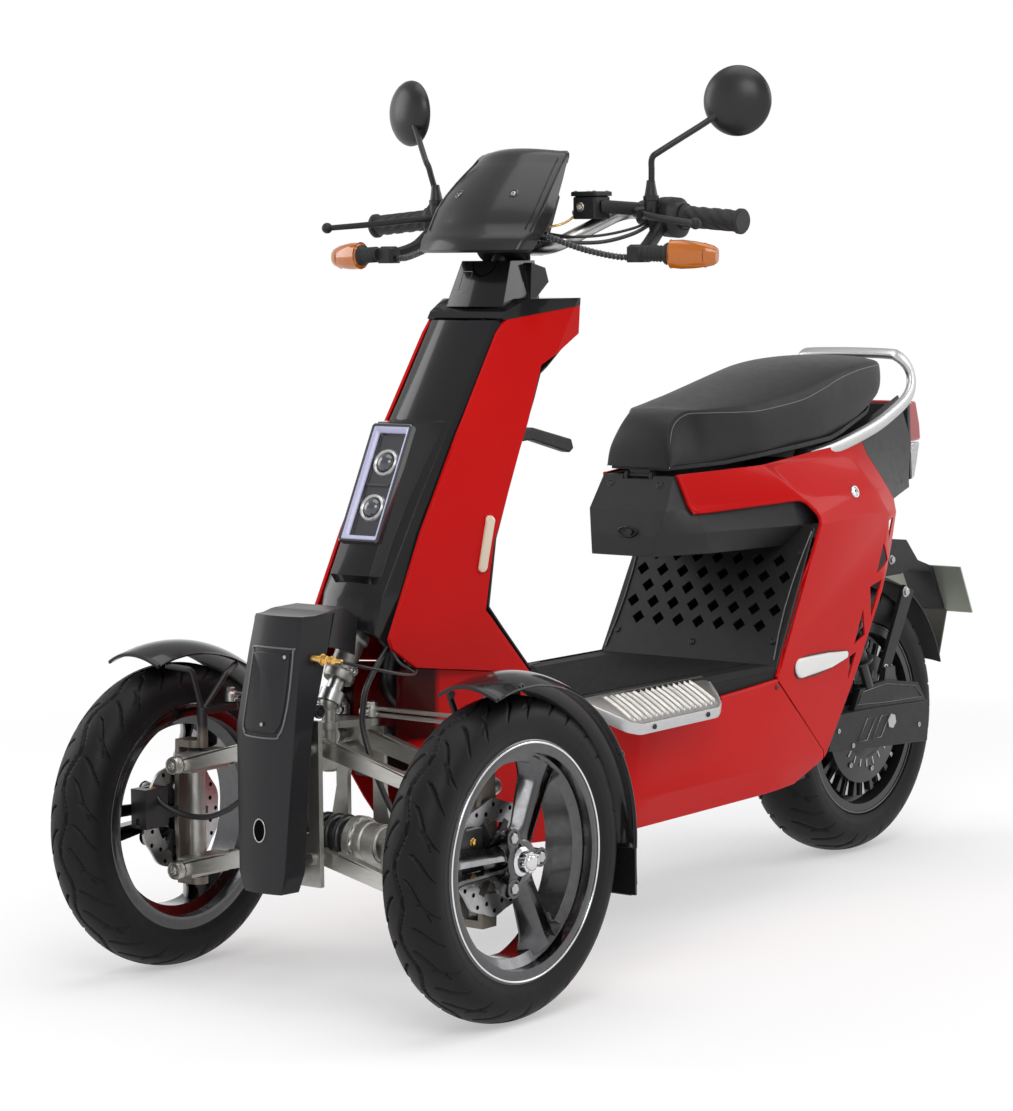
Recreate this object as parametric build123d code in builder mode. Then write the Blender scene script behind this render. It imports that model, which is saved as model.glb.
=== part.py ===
from build123d import *
from math import acos, atan2, cos, degrees, radians, sin, sqrt, tan
import os

# Tilting three-wheel scooter, in millimetres. It faces -Y, its left side is +X, the floor is Z = 0.

# Driving sizes of the whole vehicle
wheelbase = 1348.0
front_axle_y = -715.0
front_track = 623.0
seat_height = 800.0
body_half_width = 178.0
overrun = 5.0
running_gap = 0.05
seat_gap = 0.3
swing_gap = 5.0


def along(share):
    return front_axle_y + wheelbase * share


def up(share):
    return seat_height * share


def out(share):
    return body_half_width * share


def side_points(rows):
    # rows are (share of the wheelbase behind the front axle, share of the seat height)
    return [(along(a), up(z)) for a, z in rows]


def side_slab(rows, x_from, x_to, round_off=0):
    # a slab between two planes across the vehicle, cut to an outline seen from the side
    with BuildPart() as slab:
        with BuildSketch(Plane.YZ.offset(x_from)):
            with BuildLine():
                Polyline(*side_points(rows), close=True)
            make_face()
            if round_off:
                fillet(vertices(), round_off)
        extrude(amount=x_to - x_from)
    return slab.part


def front_slab(rows, y_from, y_to, round_off=0):
    # the same for a symmetric outline seen from the front, rows are (half-width share, height share)
    half = [(out(x), up(z)) for x, z in rows]
    outline = half + [(-x, z) for x, z in reversed(half)]
    with BuildPart() as slab:
        with BuildSketch(Plane.XZ.offset(-y_to)):
            with BuildLine():
                Polyline(*outline, close=True)
            make_face()
            if round_off:
                fillet(vertices(), round_off)
        extrude(amount=y_to - y_from)
    return slab.part


def plan_slab(rows, inset, z_from, z_to):
    # a slab between two levels, cut to a symmetric outline seen from above: (station, half width)
    half = [(out(x) - inset, along(a)) for a, x in rows]
    with BuildPart() as slab:
        with BuildSketch(Plane.XY.offset(z_from)):
            with BuildLine():
                Polyline(*(half + [(-x, y) for x, y in reversed(half)]), close=True)
            make_face()
        extrude(amount=z_to - z_from)
    return slab.part


def body_loft(sections, inset):
    # a hull through level sections, each a height share and rows of (station share, half-width share)
    with BuildPart() as hull:
        for level, rows in sections:
            half = [(out(x) - inset, along(a)) for a, x in rows]
            with BuildSketch(Plane.XY.offset(up(level))):
                with BuildLine():
                    Polyline(*(half + [(-x, y) for x, y in reversed(half)]), close=True)
                make_face()
        loft(ruled=True)
    return hull.part


def rod_between(start, end, radius):
    # a round rod from one point to another
    start, end = Vector(*start), Vector(*end)
    with BuildPart() as rod:
        with BuildSketch(Plane(origin=start, z_dir=end - start)):
            Circle(radius)
        extrude(amount=(end - start).length)
    return rod.part


def bent_rod(points, radius, bend):
    # a round rod along straight runs joined by arcs
    with BuildPart() as rod:
        with BuildLine() as path:
            FilletPolyline(*points, radius=bend)
        with BuildSketch(Plane(origin=path.line @ 0, z_dir=path.line % 0)):
            Circle(radius)
        sweep(path=path.line)
    return rod.part


def bow_loft(sections, inset, behind):
    # a bowed shell: (level, corner half width, corner station, bow, back half width, back station)
    with BuildPart() as hull:
        for level, half, corner, bow, wide, back in sections:
            front = along(corner) + inset
            with BuildSketch(Plane.XY.offset(up(level))):
                with BuildLine():
                    ThreePointArc((-out(half) + inset, front), (0, front - out(bow)),
                                  (out(half) - inset, front))
                    Polyline((out(half) - inset, front), (out(wide) - inset, along(back) + behind),
                             (-out(wide) + inset, along(back) + behind), (-out(half) + inset, front))
                make_face()
        loft(ruled=True)
    return hull.part


# Front wheels: 12-inch rims with low tyres
front_tyre_radius = 224.5
front_tyre_half_width = 45.0
rim_flange_radius = 166.0
rim_half_width = 40.0
rim_flange_thickness = 4.0
rim_seat_radius = 155.0
rim_well_radius = 140.0
rim_well_half_width = 16.0
rim_wall = 6.0
tyre_shoulder_radius = 207.0
tyre_shoulder_half_width = 38.0
tyre_bulge_radius = 190.0
hub_radius = 33.0
hub_inner_offset = -14.0
hub_outer_offset = 34.0
hub_bore_radius = 10.0
spoke_count = 3
spoke_hub_width = 46.0
spoke_rim_width = 66.0
spoke_slot_hub_width = 9.0
spoke_slot_rim_width = 24.0
spoke_front_hub_offset = 30.0
spoke_front_rim_offset = 24.0
spoke_back_hub_offset = 6.0
spoke_back_rim_offset = 10.0
hub_screw_circle_radius = 40.0
hub_screw_boss_radius = 14.0
hub_screw_recess_radius = 9.0
hub_screw_recess_depth = 9.0
axle_nut_radius = 13.0
axle_nut_length = 16.0
disc_radius = 82.0
disc_inner_radius = 52.0
disc_thickness = 4.0
disc_offset = -17.5
disc_hole_radius = 4.0
disc_hole_circle_radius = 68.0
disc_hole_count = 12

wheel_x = front_track / 2
wheel_y = front_axle_y
wheel_z = front_tyre_radius
# across the wheel: local x runs outwards along the axle, local y is the radius
wheel_section = Plane(origin=(wheel_x, wheel_y, wheel_z), x_dir=(1, 0, 0), z_dir=(0, -1, 0))
wheel_axle = Axis((wheel_x, wheel_y, wheel_z), (1, 0, 0))


def wheel_face(offset):
    # the plane of the wheel's face, at an offset outwards from its middle
    return Plane(origin=(wheel_x + offset, wheel_y, wheel_z), x_dir=(0, 1, 0), z_dir=(1, 0, 0))


def rim_ring(section, axle, half_width, well_half_width):
    # a drop-centre rim, its profile as (offset, radius)
    inner = rim_seat_radius - rim_wall
    with BuildPart() as ring:
        with BuildSketch(section):
            with BuildLine():
                Polyline(
                    (-half_width, inner), (-half_width, rim_flange_radius),
                    (-half_width + rim_flange_thickness, rim_flange_radius),
                    (-half_width + rim_flange_thickness, rim_seat_radius),
                    (-well_half_width - rim_wall, rim_seat_radius),
                    (-well_half_width, rim_well_radius), (well_half_width, rim_well_radius),
                    (well_half_width + rim_wall, rim_seat_radius),
                    (half_width - rim_flange_thickness, rim_seat_radius),
                    (half_width - rim_flange_thickness, rim_flange_radius),
                    (half_width, rim_flange_radius), (half_width, inner),
                    (well_half_width + rim_wall, inner),
                    (well_half_width, rim_well_radius - rim_wall),
                    (-well_half_width, rim_well_radius - rim_wall),
                    (-well_half_width - rim_wall, inner), close=True)
            make_face()
        revolve(axis=axle)
    return ring.part


def tyre_ring(section, axle, radius, half_width, shoulder_radius, shoulder_half, bulge_radius, bead_half):
    # a tyre: sidewall arcs from the bead to the shoulder, and a crowned tread
    with BuildPart() as ring:
        with BuildSketch(section):
            with BuildLine():
                Line((-bead_half, rim_seat_radius), (bead_half, rim_seat_radius))
                Line((bead_half, rim_seat_radius), (bead_half, rim_flange_radius))
                ThreePointArc((bead_half, rim_flange_radius), (half_width, bulge_radius),
                              (shoulder_half, shoulder_radius))
                ThreePointArc((shoulder_half, shoulder_radius), (0, radius),
                              (-shoulder_half, shoulder_radius))
                ThreePointArc((-shoulder_half, shoulder_radius), (-half_width, bulge_radius),
                              (-bead_half, rim_flange_radius))
                Line((-bead_half, rim_flange_radius), (-bead_half, rim_seat_radius))
            make_face()
        revolve(axis=axle)
    return ring.part


rim_body = rim_ring(wheel_section, wheel_axle, rim_half_width, rim_well_half_width)
tyre_bead_half = rim_half_width - rim_flange_thickness
tyre_body = tyre_ring(wheel_section, wheel_axle, front_tyre_radius, front_tyre_half_width,
                      tyre_shoulder_radius, tyre_shoulder_half_width, tyre_bulge_radius, tyre_bead_half)

# one spoke outline on the wheel's face, pointing along local +x, with its slot
spoke_reach = rim_well_radius - rim_wall / 2
spoke_root = hub_radius - rim_wall
with BuildPart() as spoke_blade:
    with BuildSketch(wheel_face(-rim_half_width)):
        with BuildLine():
            Polyline((spoke_root, -spoke_hub_width / 2), (spoke_reach, -spoke_rim_width / 2),
                     (spoke_reach, spoke_rim_width / 2), (spoke_root, spoke_hub_width / 2), close=True)
        make_face()
        with BuildLine():
            Polyline((hub_radius + rim_wall, -spoke_slot_hub_width / 2),
                     (spoke_reach + overrun, -spoke_slot_rim_width / 2),
                     (spoke_reach + overrun, spoke_slot_rim_width / 2),
                     (hub_radius + rim_wall, spoke_slot_hub_width / 2), close=True)
        make_face(mode=Mode.SUBTRACT)
    extrude(amount=2 * rim_half_width)
with BuildPart() as spoke_dish:
    with BuildSketch(wheel_section):
        with BuildLine():
            Polyline((spoke_back_hub_offset, 0), (spoke_back_hub_offset, spoke_root),
                     (spoke_back_rim_offset, spoke_reach), (spoke_front_rim_offset, spoke_reach),
                     (spoke_front_hub_offset, spoke_root), (spoke_front_hub_offset, 0), close=True)
        make_face()
    revolve(axis=wheel_axle)
with BuildPart() as spoke_set:
    for turn in range(spoke_count):
        add(spoke_blade.part.rotate(wheel_axle, 60 + 360 * turn / spoke_count))
    add(spoke_dish.part, mode=Mode.INTERSECT)

with BuildPart() as hub_body:
    with BuildSketch(wheel_face(hub_inner_offset)):
        Circle(hub_radius)
    extrude(amount=hub_outer_offset - hub_inner_offset)
    with BuildSketch(wheel_face(spoke_back_hub_offset)):
        with PolarLocations(hub_screw_circle_radius, spoke_count, start_angle=0):
            Circle(hub_screw_boss_radius)
    extrude(amount=spoke_front_hub_offset - spoke_back_hub_offset)
    with BuildSketch(wheel_face(hub_inner_offset - disc_thickness)):
        Circle(disc_radius)
        Circle(disc_inner_radius, mode=Mode.SUBTRACT)
        with PolarLocations(disc_hole_circle_radius, disc_hole_count):
            Circle(disc_hole_radius, mode=Mode.SUBTRACT)
        with PolarLocations((disc_inner_radius + hub_radius) / 2 - rim_wall, spoke_count * 2) as _:
            Rectangle(disc_inner_radius - hub_radius + 4 * rim_wall, 2 * rim_wall)
        Circle(hub_radius)
    extrude(amount=disc_thickness)
    with BuildSketch(wheel_face(spoke_front_hub_offset)):
        with PolarLocations(hub_screw_circle_radius, spoke_count, start_angle=0):
            Circle(hub_screw_recess_radius)
    extrude(amount=-hub_screw_recess_depth, mode=Mode.SUBTRACT)
    with BuildSketch(wheel_face(hub_inner_offset - disc_thickness - overrun)):
        Circle(hub_bore_radius)
    extrude(amount=hub_outer_offset - hub_inner_offset + disc_thickness + 2 * overrun,
            mode=Mode.SUBTRACT)

with BuildPart() as front_rim_left:
    add(rim_body)
    add(spoke_set.part)
    add(hub_body.part)
    with BuildSketch(wheel_face(spoke_front_hub_offset)):
        with PolarLocations(hub_screw_circle_radius, spoke_count, start_angle=0):
            Circle(hub_screw_recess_radius)
    extrude(amount=-hub_screw_recess_depth, mode=Mode.SUBTRACT)
    with BuildSketch(wheel_face(hub_inner_offset - disc_thickness - overrun)):
        Circle(hub_bore_radius)
    extrude(amount=hub_outer_offset - hub_inner_offset + disc_thickness + 2 * overrun,
            mode=Mode.SUBTRACT)
front_rim_left.part.label = "front_rim_left"
with BuildPart() as front_rim_right:
    mirror(front_rim_left.part, about=Plane.YZ)
front_rim_right.part.label = "front_rim_right"
with BuildPart() as front_tyre_left:
    add(tyre_body)
front_tyre_left.part.label = "front_tyre_left"
with BuildPart() as front_tyre_right:
    mirror(tyre_body, about=Plane.YZ)
front_tyre_right.part.label = "front_tyre_right"

# Rear wheel with its hub motor
rear_tyre_radius = 233.5
rear_tyre_half_width = 59.0
rear_rim_half_width = 50.0
rear_tyre_shoulder_radius = 212.0
rear_tyre_shoulder_half_width = 50.0
rear_tyre_bulge_radius = 194.0
motor_radius = 112.0
motor_half_width = 56.0
motor_cap_radius = 62.0
motor_cap_offset = 66.0
rear_axle_radius = 8.0
fin_count = 15
fin_root_width = 5.0
fin_tip_width = 11.0
fin_offset = 40.0
rear_wheel_y = front_axle_y + wheelbase
rear_wheel_z = rear_tyre_radius
rear_section = Plane(origin=(0, rear_wheel_y, rear_wheel_z), x_dir=(1, 0, 0), z_dir=(0, -1, 0))
rear_axle = Axis((0, rear_wheel_y, rear_wheel_z), (1, 0, 0))


def rear_face(offset):
    return Plane(origin=(offset, rear_wheel_y, rear_wheel_z), x_dir=(0, 1, 0), z_dir=(1, 0, 0))


rear_rim_body = rim_ring(rear_section, rear_axle, rear_rim_half_width, rim_well_half_width)
with BuildPart() as rear_rim:
    with BuildSketch(rear_section):
        with BuildLine():
            Polyline((-motor_cap_offset, 0), (-motor_cap_offset, motor_cap_radius - rim_wall),
                     (-motor_half_width, motor_cap_radius + rim_wall),
                     (-motor_half_width + rim_wall, motor_radius),
                     (-rim_wall, motor_radius), (-rim_wall, spoke_reach),
                     (rim_wall, spoke_reach), (rim_wall, motor_radius),
                     (motor_half_width - rim_wall, motor_radius),
                     (motor_half_width, motor_cap_radius + rim_wall),
                     (motor_cap_offset, motor_cap_radius - rim_wall), (motor_cap_offset, 0), close=True)
        make_face()
    revolve(axis=rear_axle)
    with BuildSketch(rear_face(-fin_offset)):
        with PolarLocations(0, fin_count):
            Polygon((motor_radius - rim_wall, -fin_root_width / 2), (spoke_reach, -fin_tip_width / 2),
                    (spoke_reach, fin_tip_width / 2), (motor_radius - rim_wall, fin_root_width / 2),
                    align=None)
    extrude(amount=2 * fin_offset)
    add(rear_rim_body)
    with BuildSketch(rear_face(-motor_cap_offset - overrun)):
        Circle(rear_axle_radius + running_gap)
    extrude(amount=2 * (motor_cap_offset + overrun), mode=Mode.SUBTRACT)
rear_rim.part.label = "rear_rim"
with BuildPart() as rear_tyre:
    add(tyre_ring(rear_section, rear_axle, rear_tyre_radius, rear_tyre_half_width,
                  rear_tyre_shoulder_radius, rear_tyre_shoulder_half_width, rear_tyre_bulge_radius,
                  rear_rim_half_width - rim_flange_thickness))
rear_tyre.part.label = "rear_tyre"

# Front suspension: two plates, two pairs of arms, two carriers, one cross damper
plate_front_offset = 70.0
plate_thickness = 8.0
plate_low = 165.0
plate_front_top = 400.0
plate_rear_top = 376.0
front_plate_half_width = 45.0
rear_plate_half_width = 62.0
plate_cut_half_width = 24.0
plate_cut_low = 240.0
plate_cut_top = 296.0
arm_inner_x = 30.0
arm_outer_x = 248.0
upper_inner_z = 360.0
upper_outer_z = 310.0
lower_inner_z = 205.0
lower_outer_z = 156.0
arm_pin_radius = 8.0
arm_eye_radius = 12.0
arm_depth = 22.0
arm_leg_thickness = 12.0
arm_leg_offset = 50.0
arm_pin_reach = 80.0
kingpin_x = 260.0
kingpin_radius = 9.0
kingpin_tube_radius = 13.0
carrier_half_length = 40.0
carrier_half_height = 14.0
knuckle_plate_thickness = 8.0
damper_z = 222.0
damper_coil_radius = 36.0
damper_wire_radius = 6.0
damper_coil_half_length = 56.0
damper_body_radius = 22.0
damper_rod_radius = 9.0
damper_eye_x = 118.0
damper_eye_radius = 12.0
damper_eye_half_width = 10.0
damper_pin_radius = 5.0
damper_lug_thickness = 6.0
arm_brace_radius = 7.0

pin_places = [(side * arm_inner_x, z) for side in (-1, 1) for z in (upper_inner_z, lower_inner_z)]
plate_rows = (
    (front_plate_half_width, plate_front_top, -plate_front_offset - plate_thickness / 2),
    (rear_plate_half_width, plate_rear_top, plate_front_offset - plate_thickness / 2),
)
with BuildPart() as plates:
    for half_width, top, setback in plate_rows:
        near = front_axle_y + setback
        with BuildSketch(Plane.XZ.offset(-near - plate_thickness)) as plate_sketch:
            with BuildLine():
                Polyline((-half_width, plate_low), (half_width, plate_low), (half_width, lower_inner_z),
                         (front_plate_half_width, (lower_inner_z + upper_inner_z) / 2),
                         (front_plate_half_width, top), (-front_plate_half_width, top),
                         (-front_plate_half_width, (lower_inner_z + upper_inner_z) / 2),
                         (-half_width, lower_inner_z), close=True)
            make_face()
            with Locations((0, (plate_cut_low + plate_cut_top) / 2)):
                Rectangle(2 * plate_cut_half_width, plate_cut_top - plate_cut_low, mode=Mode.SUBTRACT)
            with Locations((0, plate_cut_top)):
                Circle(plate_cut_half_width, mode=Mode.SUBTRACT)
            with Locations(*pin_places):
                Circle(arm_pin_radius / 2, mode=Mode.SUBTRACT)
        extrude(amount=plate_thickness)

# the block between the plates that carries the lower end of the steering
relay_radius = 10.0
relay_block_half_width = 16.0
relay_block_low = 322.0
relay_block_top = 350.0
with BuildPart() as relay_block:
    with BuildSketch(Plane.XY.offset(relay_block_low)):
        with Locations((0, front_axle_y)):
            Rectangle(2 * relay_block_half_width, 2 * plate_front_offset - plate_thickness)
            Circle(relay_radius + running_gap, mode=Mode.SUBTRACT)
    extrude(amount=relay_block_top - relay_block_low)


def arm_leg(inner_z, outer_z, at_y):
    # one flat leg of an arm, seen from the front, with its two eyes
    reach = sqrt((arm_outer_x - arm_inner_x) ** 2 + (inner_z - outer_z) ** 2)
    slope = degrees(atan2(outer_z - inner_z, arm_outer_x - arm_inner_x))
    middle = ((arm_inner_x + arm_outer_x) / 2, (inner_z + outer_z) / 2)
    with BuildPart() as leg:
        with BuildSketch(Plane.XZ.offset(-at_y - arm_leg_thickness / 2)):
            with Locations(Location(middle, slope)):
                Rectangle(reach, arm_depth)
            with Locations((arm_inner_x, inner_z), (arm_outer_x, outer_z)):
                Circle(arm_eye_radius)
                Circle(arm_pin_radius + seat_gap / 2, mode=Mode.SUBTRACT)
        extrude(amount=arm_leg_thickness)
    return leg.part


def arm_pair(inner_z, outer_z, brace_share):
    # the two legs of one arm with a cross brace and the two inner pins
    legs = [arm_leg(inner_z, outer_z, front_axle_y + side * arm_leg_offset) for side in (-1, 1)]
    brace_x = arm_inner_x + (arm_outer_x - arm_inner_x) * brace_share
    brace_z = inner_z + (outer_z - inner_z) * brace_share
    with BuildPart() as arm:
        for leg in legs:
            add(leg)
        with BuildSketch(Plane.XZ.offset(-front_axle_y - arm_leg_offset)):
            with Locations((brace_x, brace_z)):
                Circle(arm_brace_radius)
        extrude(amount=2 * arm_leg_offset)
    return arm.part, brace_x, brace_z


upper_brace_share = 0.62
upper_arm, upper_brace_x, upper_brace_z = arm_pair(upper_inner_z, upper_outer_z, upper_brace_share)
lower_brace_share = (damper_eye_x - arm_inner_x) / (arm_outer_x - arm_inner_x)
lower_arm, lower_brace_x, lower_brace_z = arm_pair(lower_inner_z, lower_outer_z, lower_brace_share)
with BuildPart() as upper_arms:
    add(upper_arm)
    mirror(upper_arm, about=Plane.YZ)
upper_arms.part.label = "upper_arms"

lug_inner = damper_eye_half_width + seat_gap
with BuildPart() as lower_arm_left:
    add(lower_arm)
    for side in (-1, 1):
        edge = front_axle_y + side * lug_inner
        with BuildSketch(Plane.XZ.offset(-edge)):
            with Locations((damper_eye_x, (damper_z + lower_brace_z) / 2)):
                Rectangle(2 * damper_eye_radius, damper_z - lower_brace_z)
            with Locations((damper_eye_x, damper_z)):
                Circle(damper_eye_radius)
        extrude(amount=-side * damper_lug_thickness)
    with BuildSketch(Plane.XZ.offset(-front_axle_y - lug_inner - damper_lug_thickness)):
        with Locations((damper_eye_x, damper_z)):
            Circle(damper_pin_radius)
    extrude(amount=2 * (lug_inner + damper_lug_thickness))
with BuildPart() as lower_arms:
    add(lower_arm_left.part)
    mirror(lower_arm_left.part, about=Plane.YZ)
lower_arms.part.label = "lower_arms"

with BuildPart() as bulkhead_plates:
    add(plates.part)
    add(relay_block.part)
    for x, z in pin_places:
        for side in (-1, 1):
            start = side * (arm_leg_offset - arm_leg_thickness / 2)
            finish = side * arm_pin_reach
            with BuildSketch(Plane.XZ.offset(-front_axle_y - start)):
                with Locations((x, z)):
                    Circle(arm_pin_radius)
            extrude(amount=-(finish - start))
bulkhead_plates.part.label = "bulkhead_plates"

# the cross damper lies between the two lower arms
coil_turns = 6
coil_pitch = (2 * damper_coil_half_length - 2 * damper_wire_radius) / (coil_turns - 1)
damper_axis = Plane(origin=(0, front_axle_y, damper_z), x_dir=(0, 1, 0), z_dir=(1, 0, 0))
with BuildPart() as damper:
    with BuildSketch(damper_axis.offset(-damper_eye_x + damper_eye_radius / 2)):
        Circle(damper_rod_radius)
    extrude(amount=2 * damper_eye_x - damper_eye_radius)
    with BuildSketch(damper_axis.offset(damper_coil_half_length - damper_wire_radius)):
        Circle(damper_coil_radius)
    extrude(amount=2 * damper_wire_radius)
    with BuildSketch(damper_axis.offset(-damper_coil_half_length - damper_wire_radius)):
        Circle(damper_coil_radius)
    extrude(amount=2 * damper_wire_radius)
    with BuildSketch(damper_axis.offset(damper_coil_half_length)):
        Circle(damper_body_radius + damper_wire_radius)
    extrude(amount=damper_eye_x - damper_coil_half_length - damper_eye_radius - damper_wire_radius)
    with BuildSketch(damper_axis.offset(-damper_coil_half_length)):
        Circle(damper_body_radius)
    extrude(amount=2 * damper_coil_half_length)
    with BuildSketch(Plane.XZ.offset(-front_axle_y - damper_eye_half_width)):
        with Locations((-damper_eye_x, damper_z), (damper_eye_x, damper_z)):
            Circle(damper_eye_radius)
    extrude(amount=2 * damper_eye_half_width)
    with BuildSketch(Plane.XZ.offset(-front_axle_y - damper_eye_half_width - overrun)):
        with Locations((-damper_eye_x, damper_z), (damper_eye_x, damper_z)):
            Circle(damper_pin_radius + seat_gap / 2)
    extrude(amount=2 * (damper_eye_half_width + overrun), mode=Mode.SUBTRACT)
damper.part.label = "damper"
with BuildPart() as damper_spring:
    for turn in range(1, coil_turns - 1):
        ring_x = -damper_coil_half_length + damper_wire_radius + coil_pitch * turn
        with BuildSketch(Plane.XY.offset(damper_z)):
            with Locations((ring_x, front_axle_y + damper_coil_radius - damper_wire_radius)):
                Circle(damper_wire_radius)
        revolve(axis=Axis((0, front_axle_y, damper_z), (1, 0, 0)))
    with BuildSketch(damper_axis.offset(-damper_coil_half_length + damper_wire_radius)):
        Circle(damper_coil_radius - damper_wire_radius)
        Circle(damper_body_radius + seat_gap, mode=Mode.SUBTRACT)
    extrude(amount=2 * (damper_coil_half_length - damper_wire_radius))
damper_spring.part.label = "damper_spring"

# carriers: a kingpin tube between two yokes that the arms hold by short pins
carrier_top = upper_outer_z + carrier_half_height
carrier_low = lower_outer_z - carrier_half_height
with BuildPart() as carrier:
    with BuildSketch(Plane.XY.offset(carrier_low)):
        with Locations((kingpin_x, front_axle_y)):
            Circle(kingpin_tube_radius)
    extrude(amount=carrier_top - carrier_low)
    for eye_z in (upper_outer_z, lower_outer_z):
        with BuildSketch(Plane.XZ.offset(-front_axle_y - carrier_half_length)):
            with Locations((arm_outer_x, eye_z)):
                Rectangle(2 * carrier_half_height, 2 * carrier_half_height)
        extrude(amount=2 * carrier_half_length)
        with BuildSketch(Plane.XZ.offset(-front_axle_y - arm_leg_offset - arm_leg_thickness)):
            with Locations((arm_outer_x, eye_z)):
                Circle(arm_pin_radius)
        extrude(amount=2 * (arm_leg_offset + arm_leg_thickness))
    with BuildSketch(Plane.XY.offset(carrier_low - overrun)):
        with Locations((kingpin_x, front_axle_y)):
            Circle(kingpin_radius + running_gap)
    extrude(amount=carrier_top - carrier_low + 2 * overrun, mode=Mode.SUBTRACT)
with BuildPart() as carriers:
    add(carrier.part)
    mirror(carrier.part, about=Plane.YZ)
carriers.part.label = "carriers"

# Knuckles: kingpin, outboard plate, stub axle, steering arm and brake caliper
knuckle_cap_height = 11.0
knuckle_cap_radius = 15.0
steer_arm_x = 246.0
steer_arm_back = 62.0
steer_post_x = 246.0
steer_post_radius = 8.0
steer_arm_half_height = 5.0
link_z = 396.0
link_radius = 7.0
link_eye_radius = 11.0
link_pin_radius = 5.0
stub_axle_length = 60.0
caliper_width = 46.0
caliper_height = 58.0
caliper_gap = 2.5
caliper_wall = 9.0
knuckle_low = carrier_low - swing_gap - knuckle_cap_height
knuckle_top = carrier_top + swing_gap + knuckle_cap_height
knuckle_plate_x = kingpin_x + kingpin_tube_radius + swing_gap + 1
knuckle_plate_half = 20.0
disc_x = wheel_x + hub_inner_offset - disc_thickness
with BuildPart() as knuckle:
    with BuildSketch(Plane.XY.offset(knuckle_low)):
        with Locations((kingpin_x, front_axle_y)):
            Circle(kingpin_radius)
    extrude(amount=knuckle_top - knuckle_low)
    for cap_low in (knuckle_low, knuckle_top - knuckle_cap_height):
        with BuildSketch(Plane.XY.offset(cap_low)):
            with Locations((kingpin_x, front_axle_y)):
                Circle(knuckle_cap_radius)
            with Locations(((kingpin_x + knuckle_plate_x) / 2, front_axle_y)):
                Rectangle(knuckle_plate_x - kingpin_x, 2 * knuckle_cap_radius)
        extrude(amount=knuckle_cap_height)
    with BuildSketch(Plane.YZ.offset(knuckle_plate_x)):
        with BuildLine():
            Polyline((front_axle_y - knuckle_cap_radius, knuckle_low),
                     (front_axle_y + knuckle_cap_radius, knuckle_low),
                     (front_axle_y + knuckle_plate_half, wheel_z),
                     (front_axle_y + knuckle_cap_radius, knuckle_top),
                     (front_axle_y - knuckle_cap_radius, knuckle_top),
                     (front_axle_y - knuckle_plate_half, wheel_z), close=True)
        make_face()
    extrude(amount=knuckle_plate_thickness)
    with BuildSketch(Plane.YZ.offset(knuckle_plate_x)):
        with Locations((front_axle_y, wheel_z)):
            Circle(hub_bore_radius - running_gap)
    extrude(amount=stub_axle_length)
    with BuildSketch(Plane.XY.offset(knuckle_top - knuckle_cap_height)):
        with Locations(((steer_post_x + kingpin_x) / 2, front_axle_y)):
            Rectangle(kingpin_x - steer_post_x, 2 * steer_post_radius)
        with Locations((steer_post_x, front_axle_y)):
            Circle(steer_post_radius)
    extrude(amount=knuckle_cap_height)
    with BuildSketch(Plane.XY.offset(knuckle_top - knuckle_cap_height)):
        with Locations((steer_post_x, front_axle_y)):
            Circle(steer_post_radius)
    extrude(amount=link_z - link_radius - 1 - knuckle_top + knuckle_cap_height)
    with BuildSketch(Plane.XY.offset(link_z - 2 * steer_arm_half_height - link_radius - 1)):
        with BuildLine():
            Polyline((steer_post_x + steer_post_radius, front_axle_y),
                     (steer_arm_x + link_eye_radius, front_axle_y + steer_arm_back),
                     (steer_arm_x - link_eye_radius, front_axle_y + steer_arm_back),
                     (steer_post_x - steer_post_radius, front_axle_y), close=True)
        make_face()
        with Locations((steer_arm_x, front_axle_y + steer_arm_back)):
            Circle(link_eye_radius)
        with Locations((steer_post_x, front_axle_y)):
            Circle(steer_post_radius)
    extrude(amount=2 * steer_arm_half_height)

# Steering: the inclined stem turns the vertical relay through a ball, and two rods turn the knuckles
column_tilt = 33.0
ball_z = 414.0
ball_radius = 13.0
cup_wall = 4.0
stem_radius = 12.0
head_tube_radius = 19.0
head_tube_low_share = 0.30
head_tube_top_share = 0.86
pitman_x = 28.0
pitman_back = 62.0
pitman_half_height = 5.0
link_end_gap = 1.0
pitman_z = link_z - link_radius - 1 - pitman_half_height
column_way = Vector(0, sin(radians(column_tilt)), cos(radians(column_tilt)))
ball_point = Vector(0, front_axle_y, ball_z)


def column_point(height):
    # the point of the steering axis at a height
    return ball_point + column_way * ((height - ball_z) / column_way.Z)


with BuildPart() as relay:
    with BuildSketch(Plane.XY.offset(relay_block_low - overrun)):
        with Locations((0, front_axle_y)):
            Circle(relay_radius)
    extrude(amount=ball_z - relay_block_low + overrun)
    with BuildSketch(Plane.XY.offset(pitman_z - pitman_half_height)):
        with BuildLine():
            Polyline((-steer_post_radius, front_axle_y), (steer_post_radius, front_axle_y),
                     (pitman_x + link_eye_radius, front_axle_y + pitman_back),
                     (-pitman_x - link_eye_radius, front_axle_y + pitman_back), close=True)
        make_face()
        with Locations((0, front_axle_y)):
            Circle(kingpin_tube_radius + 2)
        with Locations((pitman_x, front_axle_y + pitman_back), (-pitman_x, front_axle_y + pitman_back)):
            Circle(link_eye_radius)
    extrude(amount=2 * pitman_half_height)
    with BuildSketch(Plane.XY.offset(pitman_z)):
        with Locations((pitman_x, front_axle_y + pitman_back), (-pitman_x, front_axle_y + pitman_back)):
            Circle(link_pin_radius)
    extrude(amount=link_z + link_radius + 3 - pitman_z)
    with Locations(ball_point):
        Sphere(ball_radius)
relay.part.label = "relay"

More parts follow.
